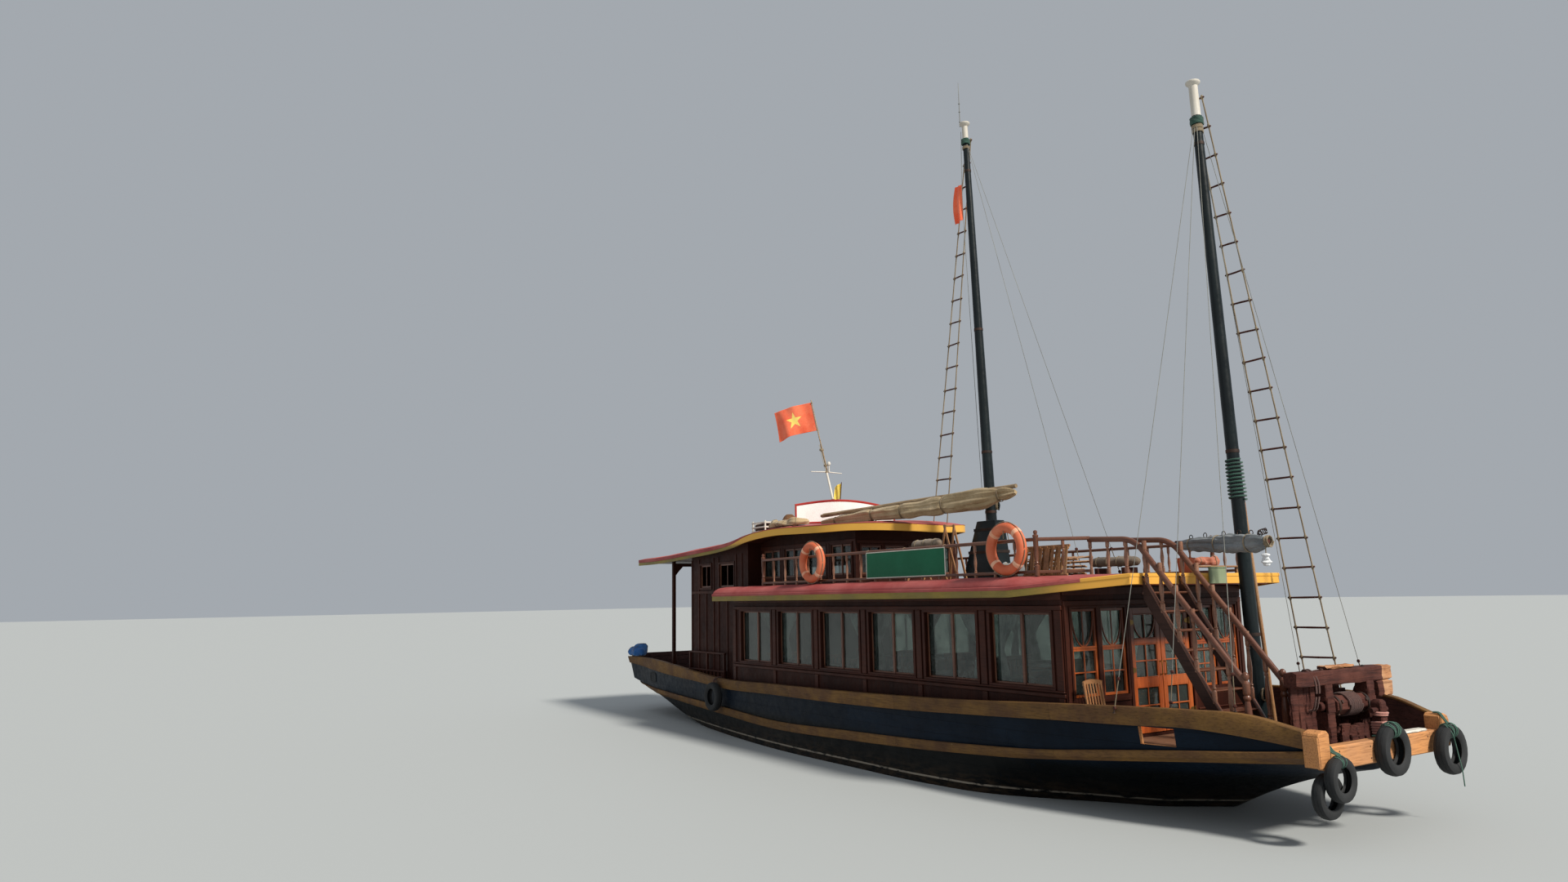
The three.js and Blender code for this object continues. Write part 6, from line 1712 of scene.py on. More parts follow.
greenRope = clothFinish("greenRope", (44, 84, 70), (84, 120, 104), (20, 42, 36), 70)
pinkRope = clothFinish("pinkRope", (170, 112, 100), (196, 150, 136), (110, 70, 62), 70)
buoyBand = clothFinish("buoyBand", (226, 160, 124), (236, 190, 160), (180, 96, 62), 120)
windlassTimber = boardFinish("windlassTimber", dict(timberLook, run=1))
sawnTimber = boardFinish("sawnTimber", dict(timberLook, run=1, paint=(176, 122, 82), faded=(196, 150, 112),
        dark=(96, 58, 40), bare=(206, 170, 136)))
tarredRope = clothFinish("tarredRope", (66, 42, 38), (96, 66, 58), (34, 22, 20), 70)
makeFenders()
makeLifebuoys()
makeWindlass()
makeBollard()
print("fittings made")


# Aft houses and what stands on the roof.

pilotShape = {
    "half": 1.2, "front": -1.0, "aft": -4.44, "wall": 0.045, "starts": -4.27, "pitch": 0.83, "wide": 0.64,
    "low": 3.17, "high": 3.74,
    "frontStarts": (-1.08, -0.52, 0.04, 0.6), "frontWide": 0.48, "frontHigh": 3.7,
}
sternShape = {"half": 1.52, "aft": -7.0, "front": -4.4, "windows": [(-6.55, -6.05), (-5.65, -5.0)], "low": 3.02,
        "high": 3.52}


# Height of the upper roof at a place: the crown's curve over its width.
def roofTop(x, y):
    w, low, crown = (along(upperRoofLines, c, np.asarray(x, float)) for c in (1, 2, 3))
    rim = low + upperRoofShape["fascia"]
    return rim + (crown - rim) * (1 - (np.minimum(np.abs(y), w) / w) ** 2) ** 0.7


# Casings, sashes and mouldings of the pilothouse; each window has two panes whose stiles meet in the middle.
def makePilothouse():
    p = pilotShape
    shapes = []
    y = -p["half"] - 0.01
    for x in p["starts"] + p["pitch"] * np.arange(4):
        low, high = (x, p["low"]), (x + p["wide"], p["high"])
        shapes += [casing(low, high, y, 0.045, 0.018, 1)]
        for a, b, level in ((x, x + p["wide"] / 2 + 0.018, 0.012), (x + p["wide"] / 2 - 0.018, x + p["wide"], 0.029)):
            shapes += [casing((a, p["low"]), (b, p["high"]), -p["half"] + level, 0.036, 0.0155, 1, 0.003, 1, True)]
        shapes += [boards((x - 0.06, y - 0.008, p["low"] - 0.056),
                (x + p["wide"] + 0.06, y - 0.008, p["low"] - 0.056), 0.024, 0.034, 0.006, (0, 1, 0))]
    ends = (-4.38, p["front"] + 0.016)
    for z, width in ((3.042, 0.075), (3.8, 0.05)):
        shapes += [boards((ends[0], y, z), (ends[1], y, z), width, 0.019, 0.005, (0, 1, 0))]
    posts = np.array([ends[1] - 0.03, *(p["starts"] + p["pitch"] * np.arange(1, 4) - 0.095)])
    foot = columns(posts, y, 3.08)
    shapes += [upright(foot, 0.7, 0.07, 0.02, 0.005, (0, 1, 0))]
    shapes = bothSides(shapes)
    x = p["front"] + 0.01
    for a in p["frontStarts"]:
        shapes += [casing((a, p["low"]), (a + p["frontWide"], p["frontHigh"]), x, 0.036, 0.018, 0)]
        shapes += [casing((a, p["low"]), (a + p["frontWide"], p["frontHigh"]), p["front"] - 0.022, 0.034, 0.026, 0,
                0.003, 1, True)]
        shapes += [muntins((a + 0.034, p["low"] + 0.034), (a + p["frontWide"] - 0.034, p["frontHigh"] - 0.034),
                p["front"] - 0.022, 2, 1, 0, finish=1)]
    for z, width in ((3.055, 0.1), (3.77, 0.06)):
        shapes += [boards((x, -1.185, z), (x, 1.185, z), width, 0.019, 0.005, (1, 0, 0))]
    assemble("pilothouseTrim", shapes, [darkTrim, railWood])


# The stern house's planking: cover strips over the joints, corner posts, a girt, and the windows' casings and bars.
def makeSternHouse():
    s = sternShape
    y = -s["half"] - 0.009
    spans = [
        (-7.0, 0.83, 3.64), (-6.65, 0.83, 3.65), (-6.3, 0.83, 2.93), (-5.95, 0.83, 3.67), (-5.72, 0.83, 3.67),
        (-5.33, 0.83, 2.93), (-4.93, 0.83, 3.71), (-4.68, 0.83, 3.72),
    ]
    shapes = [boards((x + 0.02, y, low), (x + 0.02, y, high), 0.034, 0.016, 0.004, (0, 1, 0)) for x, low, high in spans]
    for x0, x1 in s["windows"]:
        shapes += [casing((x0, s["low"]), (x1, s["high"]), y - 0.002, 0.042, 0.02, 1)]
        shapes += [casing((x0, s["low"]), (x1, s["high"]), -s["half"] + 0.022, 0.034, 0.026, 1, 0.003, 1, True)]
        shapes += [muntins((x0 + 0.034, s["low"] + 0.034), (x1 - 0.034, s["high"] - 0.034), -s["half"] + 0.022, 2, 1,
                1, finish=1)]
    shapes += [boards((-6.98, y - 0.002, 2.915), (-4.64, y - 0.002, 2.915), 0.06, 0.02, 0.005, (0, 1, 0))]
    shapes += [boards((-6.98, y - 0.002, 0.9), (-4.36, y - 0.002, 0.9), 0.12, 0.02, 0.005, (0, 1, 0))]
    shapes = bothSides(shapes)
    x = s["aft"] - 0.01
    planks = np.array([-1.5, -1.15, -0.8, 0.8, 1.15, 1.5])
    foot = columns(x, planks, 0.84)
    shapes += [upright(foot, 2.78, 0.034, 0.018, 0.004, (1, 0, 0))]
    shapes += [boards((x, -1.48, 2.86), (x, 1.48, 2.86), 0.06, 0.019, 0.005, (1, 0, 0))]
    door = np.array([(x, -0.43, 0.84), (x, 0.452, 0.84)])
    shapes += [upright(door, 1.93, 0.07, 0.019, 0.005, (1, 0, 0))]
    shapes += [boards((x, -0.47, 2.75), (x, 0.49, 2.75), 0.07, 0.02, 0.005, (1, 0, 0))]
    assemble("sternHouseTrim", shapes, [darkTrim, railWood])


sternLeaf = {"outside": -6.996, "inside": -6.956, "edges": (-0.371, 0.374), "boards": 5, "pin": (-7.0103, 0.382)}


# The stern door: five upright boards on three ledges with a brace, strap hinges and a ring handle.
def makeSternDoor():
    s = sternLeaf
    x0, x1 = s["outside"], s["inside"]
    edges = np.linspace(*s["edges"], s["boards"] + 1)
    wide = edges[1] - edges[0] - 0.003
    middle = (edges[1:] + edges[:-1]) / 2
    foot = columns(x0 + 0.011, middle, 0.868)
    shapes = [upright(foot, 1.824, wide, 0.022, 0.004, (1, 0, 0))]
    for z in (1.15, 1.75, 2.35):
        shapes += [boards((x1 - 0.009, -0.355, z), (x1 - 0.009, 0.355, z), 0.11, 0.018, 0.004, (1, 0, 0))]
        shapes += [turned([(0, -0.045), (0.0095, -0.045), (0.0095, -0.016), (0.0085, -0.015), (0.0095, -0.014),
                (0.0095, 0.045), (0, 0.045)], (*s["pin"], z), 14, 2, 1)]
        strap = [(0.377, z - 0.028), (0.1, z - 0.016), (0.05, z - 0.022), (0.035, z), (0.05, z + 0.022),
                (0.1, z + 0.016), (0.377, z + 0.028)]
        shapes += [slab(strap, 0, x0 - 0.0055, x0 - 0.0005, 0.001, 1)]
        shapes += [slab([(0.386, z - 0.028), (0.372, z - 0.028), (0.372, z + 0.028), (0.386, z + 0.028)], 0, -7.0105,
                x0, 0.001, 1)]
    shapes += [boards((x1 - 0.009, -0.28, 1.22), (x1 - 0.009, 0.3, 1.68), 0.09, 0.016, 0.004, (1, 0, 0))]
    w = np.linspace(0, 2 * pi, 17)
    ring = columns(0 * w + x0 - 0.014, -0.3 + 0.032 * np.sin(w), 1.7 + 0.032 * np.cos(w))
    shapes += [tube(ring, 0.0045, 8, 1)]
    shapes += [turned([(0, -0.018), (0.006, -0.016), (0.008, -0.01), (0.022, -0.004), (0.022, 0.0), (0, 0.0)],
            (x0, -0.3, 1.735), 12, 0, 1)]
    assemble("sternDoor", shapes, [frontPanels, blackIron], "aft_door", "stern_door")


aftFrame = {"x": -8.4, "y": 1.3, "head": 3.684}
transom = {"foot": (-10.848, 0, 0.9), "rake": (-0.154, 0, 0.47), "out": (-0.47, 0, -0.154), "long": 0.4946,
        "boards": 4, "pitch": 0.1155}


# Two posts under the roof's aft end, with a beam and knees between them, and the boards that close the stern.
def makeAftFrame():
    x, y, head = aftFrame.values()
    foot = float(deckAt(x)) + 0.004
    shapes = []
    for side in (-y, y):
        shapes += [boards((x, side, foot), (x, side, head), 0.078, 0.078, 0.008, (1, 0, 0))]
        shapes += [boards((x, side, foot + 0.001), (x, side, foot + 0.12), 0.12, 0.12, 0.01, (1, 0, 0))]
        inward = -np.sign(side)
        knee = [(side + inward * 0.038, 3.34), (side + inward * 0.11, 3.43), (side + inward * 0.24, 3.565),
                (side + inward * 0.038, 3.565)]
        shapes += [slab(knee, 0, x - 0.022, x + 0.022, 0.004)]
    shapes += [boards((x, -y + 0.039, 3.6), (x, y - 0.039, 3.6), 0.078, 0.078, 0.008, (1, 0, 0))]
    assemble("aftPosts", shapes, [darkTrim], stands="aft_post_frame")
    rake, out = (np.array(transom[k]) / transom["long"] for k in ("rake", "out"))
    shapes = []
    for k in range(transom["boards"]):
        z = 0.985 + transom["pitch"] * k
        place = np.array(transom["foot"]) + rake * (z - 0.9) / rake[2]
        half = float(breadth(np.array([-10.95]), np.array([z]))[0]) - 0.066
        shapes += [boards(place - [0, half, 0], place + [0, half, 0], 0.1145, 0.056, 0.006, out)]
    for side in (-0.75, 0.0, 0.75):
        low, high = np.array([-10.814, side, 0.93]), np.array([-10.814, side, 0.93]) + rake * 0.45
        shapes += [boards(low, high, 0.07, 0.05, 0.006, (0, 1, 0))]
    assemble("sternBoards", shapes, [bulwarkInside], stands="stern_board")


nameShape = {"face": -2.93, "half": 1.27}


# The name board stays blank: it stands across the roof under a low arch, with a border and props that lean aft.
def makeNameBoard():
    face, half = nameShape.values()
    t = np.linspace(0, 1, 41)
    y = half * (1 - 2 * t)
    top = columns(y, 4.622 + 0.138 * np.sin(pi * t))
    low = columns(y, roofTop(face, y) + 0.012)
    shapes = [slab(np.concatenate([top, low[::-1]]), 0, -2.949, face, 0.003)]
    section = np.array([(-0.003, -0.022), (0.005, -0.022), (0.008, -0.016), (0.008, 0.016), (0.005, 0.022),
            (-0.003, 0.022)])
    for line in (top - [0, 0.022], low + [0, 0.022]):
        shapes += [swept(np.insert(line, 0, face, axis=1), section[:, ::-1], 1, (1, 0, 0))]
    ends = np.array([(side * (half - 0.021), z) for side in (-1, 1)
            for z in (float(low[0, 1]) + 0.044, 4.578)]).reshape(2, 2, 2)
    ends = np.insert(ends, 0, face + 0.003, axis=2)
    shapes += [boards(ends[:, 0], ends[:, 1], 0.04, 0.01, 0.003, (1, 0, 0), 1)]
    for place in (-1.15, -0.4, 0.4, 1.15):
        behind, high = face - 0.0375, 4.6 + 0.12 * cos(place * 1.2)
        shapes += [boards((behind, place, float(roofTop(behind, abs(place))) + 0.012), (behind, place, high), 0.035,
                0.028, 0.004, (0, 1, 0), 2)]
        shapes += [boards((behind - 0.018, place + 0.036, high - 0.06),
                (behind - 0.33, place + 0.036, float(roofTop(behind - 0.33, abs(place))) + 0.014), 0.03, 0.026, 0.004,
                (0, 1, 0), 2)]
    assemble("nameBoard", shapes, [boardPaint, borderPaint, roughTimber], stands="name_board")


signShape = {"aft": 0.33, "front": 2.32, "low": 3.06, "high": 3.49, "y": -1.9628}


# The green board on the railing is left blank too, in a pale frame tied to the rails by cord.
def makeSign():
    x0, x1, z0, z1, y = signShape.values()
    shapes = [slab([(x0 + 0.01, z0 + 0.01), (x1 - 0.01, z0 + 0.01), (x1 - 0.01, z1 - 0.01), (x0 + 0.01, z1 - 0.01)],
            1, y - 0.0018, y + 0.0018, 0.0006)]
    shapes += [casing((x0, z0), (x1, z1), y, 0.014, 0.01, 1, 0.002, 1, True)]
    for x in (x0 + 0.03, (x0 + x1) / 2, x1 - 0.03):
        w = np.linspace(0, 2 * pi, 15)
        shapes += [tube(columns(x, -1.93 + 0.038 * np.cos(w), 3.5 + 0.03 * np.sin(w)), 0.003, 6, 2)]
    assemble("signBoard", shapes, [signPaint, whitePaint, ropeFibre], stands="sign_board")


# Whether points lie in a five-pointed star: its edge, at an angle from the nearest point, is a straight line.
def inStar(points, middle, size):
    d = points - middle
    r, w = np.hypot(d[:, 0], d[:, 1]), np.arctan2(d[:, 0], d[:, 1])
    w = np.abs(np.mod(w + pi / 5, 2 * pi / 5) - pi / 5)
    inner, turn = 0.382 * size, pi / 5
    edge = size * inner * sin(turn) / (inner * np.sin(turn - w) + size * np.sin(w))
    return r < edge


poleShape = {"foot": (-3.4, 4.79), "head": (-4.16, 7.08)}
flagShape = {"flow": (-0.87, -0.493), "size": (0.98, 0.66)}


# Place along x of the leaning pole at a height.
def poleAt(z):
    (x0, z0), (x1, z1) = poleShape["foot"], poleShape["head"]
    return x0 + (x1 - x0) * (z - z0) / (z1 - z0)


# A flag blown aft: waves w sin(a u + b v) grow with the distance from the pole, and its free corners droop.
def makeFlag():
    (x0, z0), (x1, z1) = poleShape["foot"], poleShape["head"]
    long, high = flagShape["size"]
    u, v = np.meshgrid(np.linspace(0, 1, 121), np.linspace(0, 1, 85), indexing="ij")
    z = 6.365 + high * v
    pole = poleAt(z)
    wave = 0.06 * u * np.sin(7.2 * u + 1.4 * v) + 0.022 * u * np.sin(15 * u - 2.6 * v + 1)
    away, flow = 0.017 + (long - 0.02) * u, flagShape["flow"]
    drop = 0.13 * u ** 1.4 + 0.024 * u * np.sin(6 * u + 2) * (1 - v) + 0.02 * u * u * (1 - v)
    grid = columns(pole + flow[0] * away + flow[1] * wave, flow[1] * away - flow[0] * wave, z - drop)
    flat = columns(u * long, v * high).reshape(-1, 2)
    points, faces, _ = sheetOf(grid)
    middle = flat[np.array(faces)].mean(1)
    star = inStar(middle, np.array([long, high]) / 2, 0.2).astype(int).tolist()
    piece = assemble("flagSheet", [(points, faces, star)], [flagCloth, starCloth],
            stands="flag", sharp=180)
    thicken(piece)
    shapes = [tube([(x0, 0, float(roofTop(x0, 0)) + 0.002), (x0, 0, 4.5), (x0, 0, 4.8)], [0.038, 0.034, 0.029], 14, 0),
              tube([(x0, 0, z0), (poleAt(5.4) - 0.012, 0, 5.4), (poleAt(6.04) - 0.04, 0, 6.04)],
              [0.024, 0.023, 0.021], 12, 0),
              tube([(poleAt(5.45) + 0.026, 0, 5.45), (poleAt(6.2), 0, 6.2), (x1, 0, z1)],
              [0.0135, 0.0125, 0.0105], 12, 2),
              tube([(-3.625, -0.4, 5.405), (-3.625, 0, 5.418), (-3.625, 0.4, 5.405)], [0.009, 0.0135, 0.009], 10, 0),
              turned([(0, 0.0), (0.012, 0.0), (0.012, 0.13), (0.034, 0.15), (0.04, 0.185), (0.026, 0.215),
              (0, 0.222)], (-3.6, 0.05, 5.42), 16, 2, 0)]
    for z, r, off in ((4.8, 0.034, 0.0), (5.418, 0.032, -0.012), (5.56, 0.042, 0.004), (5.92, 0.048, -0.016),
            (6.37, 0.0195, 0.0), (7.01, 0.0185, 0.0)):
        ringed = [(0, z - 0.02), (r - 0.003, z - 0.02), (r, z - 0.014), (r, z + 0.014), (r - 0.003, z + 0.02),
                (0, z + 0.02)]
        shapes += [turned(ringed, (max(poleAt(z), x1) + off if z > z0 + 0.1 else x0, 0, 0), 14, 2, 1)]
    assemble("flagPole", shapes, [whitePaint, ropeFibre, bleachedWood], stands="flagpole")


# A pennant tied to a short stick behind the name board.
def makePennant():
    a, b = np.array([-3.36, 0.1, float(roofTop(-3.36, 0.1)) + 0.002]), np.array([-3.22, 0.1, 5.16])
    stick = assemble("pennantStick", [tube([a, (a + b) / 2, b], 0.008, 8, 0)], [roughTimber])
    u, v = np.meshgrid(np.linspace(0, 1, 41), np.linspace(0, 1, 31), indexing="ij")
    away, flow = 0.009 + 0.165 * u * (0.9 + 0.1 * np.cos(2.2 * u)), flagShape["flow"]
    z = b[2] - 0.03 - 0.32 * v - 0.06 * u ** 1.5
    hoist = b[0] + (a[0] - b[0]) * (b[2] - z) / (b[2] - a[2])
    wave = 0.02 * np.sin(9 * u + 3 * v) * u
    grid = columns(hoist + flow[0] * away + flow[1] * wave, b[1] + flow[1] * away - flow[0] * wave, z)
    piece = assemble("pennantCloth", [sheetOf(grid)], [starCloth], sharp=180)
    thicken(piece)


# Furniture and what is under water.

# A small dark port on each quarter: its rim and its hollow follow the hull's skin, pushed out along y.
def makeQuarterPorts():
    w = around(32)
    square = columns(np.sign(np.cos(w)) * np.abs(np.cos(w)) ** 0.45 * 0.24,
            np.sign(np.sin(w)) * np.abs(np.sin(w)) ** 0.45 * 0.12)
    rings = []
    for size, out in ((1, -0.004), (1, 0.012), (0.86, 0.014), (0.8, 0.003), (0.3, 0.003)):
        x, z = (square * size + [-9.18, 0.89]).T
        rings += [columns(x, -breadth(x, z) - out, z)]
    assemble("quarterPorts", bothSides([carried(np.stack(rings))]), [tyreRubber])


makeQuarterPorts()


seating = {"floor": 0.8003, "side": -1.48, "aisle": -0.7, "first": -3.0, "tables": 5, "bench": 0.56, "backs": 0.14}


# Benches with slatted backs and tables on turned legs, on a floor board along each side of the saloon.
def makeFurniture():
    floor, y0, y1 = (seating[k] for k in ("floor", "side", "aisle"))
    shapes = [boards((-3.715, (y0 + y1) / 2, floor + 0.009), (3.455, (y0 + y1) / 2, floor + 0.009), y1 - y0,
            0.017, 0.003)]
    leg = [
        (0, 0.018), (0.058, 0.018), (0.058, 0.05), (0.03, 0.08), (0.024, 0.3), (0.036, 0.38), (0.026, 0.46),
        (0.03, 0.64), (0.055, 0.7), (0, 0.7),
    ]
    for x in seating["first"] + bays["pitch"] * np.arange(seating["tables"]):
        shapes += [boards((x, y0, floor + 0.72), (x, y1, floor + 0.72), 0.66, 0.036, 0.008)]
        shapes += [turned(leg, (x, (y0 + y1) / 2, floor), 12)]
        for side in (-1, 1):
            c = x + side * seating["bench"]
            back = c + side * seating["backs"]
            shapes += [boards((c, y0, floor + 0.412), (c, y1, floor + 0.412), 0.31, 0.034, 0.008)]
            feet = np.array([(c - side * 0.13, y0 + 0.04, floor + 0.018), (c - side * 0.13, y1 - 0.04, floor + 0.018),
                    (back, y0 + 0.04, floor + 0.018), (back, y1 - 0.04, floor + 0.018)])
            shapes += [upright(feet, 0.376, 0.036, 0.036, 0.005, (1, 0, 0))]
            shapes += [boards((c, y0 + 0.02, floor + 0.36), (c, y1 - 0.02, floor + 0.36), 0.024, 0.06, 0.004)]
            for z in (0.84, 0.52):
                shapes += [boards((back, y0, floor + z), (back, y1, floor + z), 0.03, 0.07, 0.006)]
            slats = evenly((y0 + 0.03, 0), (y1 - 0.03, 0), 0.09)[:, 0]
            foot = columns(back, slats, floor + 0.43)
            shapes += [upright(foot, 0.4, 0.032, 0.014, 0.003, (1, 0, 0))]
    for name, made in (("furnitureStarboard", shapes), ("furniturePort", [otherSide(s) for s in shapes])):
        assemble(name, made, [orangeVarnishPaintedShadow], stands="saloon_furniture_" + name[9:].lower())


rudderShape = {"x": -7.96, "stock": 0.04, "low": -1.0, "high": 0.3}
screwShape = {"x": -7.05, "z": -0.62, "hub": 0.045, "blade": 0.203, "blades": 3}


# The keel with its deadwood, the rudder of three boards with its straps, and the screw of three twisted blades.
def makeUnderwater():
    top = np.array([(4.95, -0.352), (4.4, -0.502), (3.8, -0.602), (3.0, -0.642), (0.0, -0.642), (-2.5, -0.602),
            (-4.5, -0.502), (-6.0, -0.332), (-6.7, -0.206)])
    low = np.array([(-6.7, -1.0), (-6.5, -1.0), (3.6, -0.9), (4.6, -0.7), (5.04, -0.345)])
    assemble("keelTimber", [slab(np.concatenate([top, low]), 1, -0.06, 0.06, 0.008)], [navyPaint],
            stands="keel")
    r = rudderShape
    shapes = []
    for k in range(3):
        z0, z1 = -0.995 + 0.312 * k, -0.687 + 0.312 * k
        lean0, lean1 = 0.09 * (1 - k / 3), 0.09 * (1 - (k + 1) / 3)
        back = [(r["x"] - 0.045, z0), (r["x"] - 0.64 - lean0, z0), (r["x"] - 0.64 - lean1, z1), (r["x"] - 0.045, z1)]
        shapes += [slab(back, 1, -0.027, 0.027, 0.005)]
    for z in (-0.85, -0.5, -0.18):
        straps = np.array([(r["x"] - 0.42, -0.03, z), (r["x"] - 0.42, 0.03, z)])
        shapes += [boards(straps, straps + [0.42, 0, 0], 0.05, 0.006, 0.002, (0, 1, 0), 1)]
        shapes += [turned([(0, z - 0.035), (0.047, z - 0.035), (0.05, z - 0.03), (0.05, z + 0.03), (0.047, z + 0.035),
                (0, z + 0.035)], (r["x"], 0, 0), 20, 2, 1)]
    shapes += [turned([(0, r["low"]), (0.034, r["low"]), (r["stock"], r["low"] + 0.01),
            (r["stock"], r["high"] - 0.006), (0.036, r["high"]), (0, r["high"])], (r["x"], 0, 0), 24, 2, 1)]
    assemble("rudderBlade", shapes, [roughTimber, blackIron], "steering", "rudder")
    x, z, blades = (screwShape[k] for k in ("x", "z", "blades"))
    hub = [
        (0, -0.09), (0.022, -0.088), (0.04, -0.06), (0.048, -0.02), (0.056, 0.04), (0.058, 0.066), (0.03, 0.07),
        (0.029, 0.1), (0.029, 0.3495), (0, 0.3495),
    ]
    shapes = [turned(hub, (x, 0, z), 24, 0)]
    w = around(17)
    for k in range(blades):
        turn = 2 * pi * k / blades
        rings = []
        for s in np.linspace(0, 1, 9):
            reach = screwShape["hub"] + screwShape["blade"] * s
            wide = 0.036 + 0.085 * np.sin(pi * (0.12 + 0.8 * s)) * (1 - 0.45 * s ** 3)
            pitch = radians(62 - 34 * s)
            across, thick = wide * np.cos(w), 0.008 * (1 - 0.7 * s) * np.sin(w)
            dx = across * sin(pitch) * 0.45 + thick * cos(pitch)
            side = across * cos(pitch) * 0.9 - thick * sin(pitch)
            rings += [columns(x + dx, reach * cos(turn) - side * sin(turn), z + reach * sin(turn) + side * cos(turn))]
        shapes += [carried(np.array(rings))]
    assemble("screw", shapes, [dullBronze], "screw", "propeller")


boardPaint = boardFinish("boardPaint", dict(whiteLook, run=0, paint=(252, 250, 246), faded=(240, 238, 232), wear=0.12))
borderPaint = boardFinish("borderPaint", dict(whiteLook, run=0, paint=(150, 30, 26), faded=(172, 56, 46),
        dark=(84, 16, 14)))
makePilothouse()
makeSternHouse()
makeSternDoor()
makeAftFrame()
makeNameBoard()
makeSign()
makeFlag()
makePennant()
print("aft houses and boards made")
makeFurniture()
makeUnderwater()
print("furniture, rudder and screw made")


# Loose things on deck and roof, and small rigging.

# A shape turned about the vertical by turn and leant over about its own X by lean, then moved to a place.
def placed(shape, place, turn=0.0, lean=0.0):
    points, faces, finish = shape
    c, s, cl, sl = cos(turn), sin(turn), cos(lean), sin(lean)
    tilt = np.array([[1, 0, 0], [0, cl, -sl], [0, sl, cl]])
    spin = np.array([[c, -s, 0], [s, c, 0], [0, 0, 1]])
    return points @ (spin @ tilt).T + np.asarray(place, float), faces, finish


# A flat frame of two stiles with slats across, lying in the XY plane.
def slatFrame(length, width, slats):
    stiles = boards([(0, -width / 2, 0), (0, width / 2, 0)], [(length, -width / 2, 0), (length, width / 2, 0)], 0.034,
            0.022, 0.004)
    x = np.linspace(0.04, length - 0.04, slats)
    cross = boards(columns(x, 0 * x - width / 2, 0.017), columns(x, width / 2, 0.017), 0.045, 0.011, 0.003)
    return [stiles, cross]


# Folded chairs in a heap: two slatted frames each, leant on one another along the deck's starboard side.
def makeFoldedChairs():
    shapes = []
    table = [
        # x, y, z, turn, lean
        (3.3, -1.28, 3.03, 0.05, 0.0), (3.36, -1.24, 3.075, -0.1, 0.02), (3.3, -1.3, 3.125, 0.12, 0.03),
        (3.42, -1.22, 3.18, -0.05, 0.06),
        (3.36, -1.52, 3.2, 0.02, 1.2), (3.46, -1.6, 3.215, -0.03, 1.28), (3.55, -1.68, 3.21, 0.03, 1.38),
        (3.34, -1.25, 3.245, 0.2, 0.1),
    ]
    for x, y, z, turn, lean in table:
        for part in slatFrame(0.92, 0.4, 8) + slatFrame(0.6, 0.36, 5):
            shapes += [placed(part, (x, y, z), turn, lean)]
    assemble("foldedChairs", shapes, [paleWood])


chairShape = {"x": 4.97, "y": -1.66, "floor": 0.8006}


# A kitchen chair: seat of slats on four legs, a back of upright slats under a bowed top rail.
def makeDeckChair():
    x, y, floor = chairShape.values()
    shapes = []
    feet = np.array([(-0.17, -0.16, 0), (-0.17, 0.16, 0), (0.17, -0.16, 0), (0.17, 0.16, 0)])
    shapes += [boards(feet + [x, y, floor], feet + [x, y, floor + 0.425], 0.032, 0.032, 0.004, (1, 0, 0))]
    slats = np.linspace(-0.16, 0.16, 7)
    seat = columns(slats + x, 0 * slats + y - 0.18, floor + 0.435)
    shapes += [boards(seat, seat + [0, 0.36, 0], 0.044, 0.016, 0.004)]
    for z in (0.2, 0.33):
        shapes += [boards(feet[:2] + [x, y, floor + z], feet[2:] + [x, y, floor + z], 0.016, 0.024, 0.003)]
        shapes += [boards(feet[[0, 2]] + [x, y, floor + z], feet[[1, 3]] + [x, y, floor + z], 0.016, 0.024, 0.003)]
    rise = np.array([-0.06, 0, 0.4])
    for side in (-0.155, 0.155):
        a = np.array([x - 0.17, y + side, floor + 0.42])
        shapes += [boards(a, a + rise, 0.034, 0.026, 0.004, (1, 0, 0))]
    for k in np.linspace(-0.105, 0.105, 5):
        a = np.array([x - 0.165, y + k, floor + 0.445])
        shapes += [boards(a, a + rise * 0.9, 0.026, 0.01, 0.003, (1, 0, 0))]
    t = np.linspace(-1, 1, 11)
    top = columns(x - 0.225 - 0.02 * (1 - t * t), y + 0.175 * t, floor + 0.8 + 0.025 * (1 - t * t))
    shapes += [swept(top, [(-0.012, -0.028), (0.012, -0.028), (0.014, 0.0), (0.01, 0.028), (-0.01, 0.028)])]
    assemble("deckChair", shapes, [paleWood])


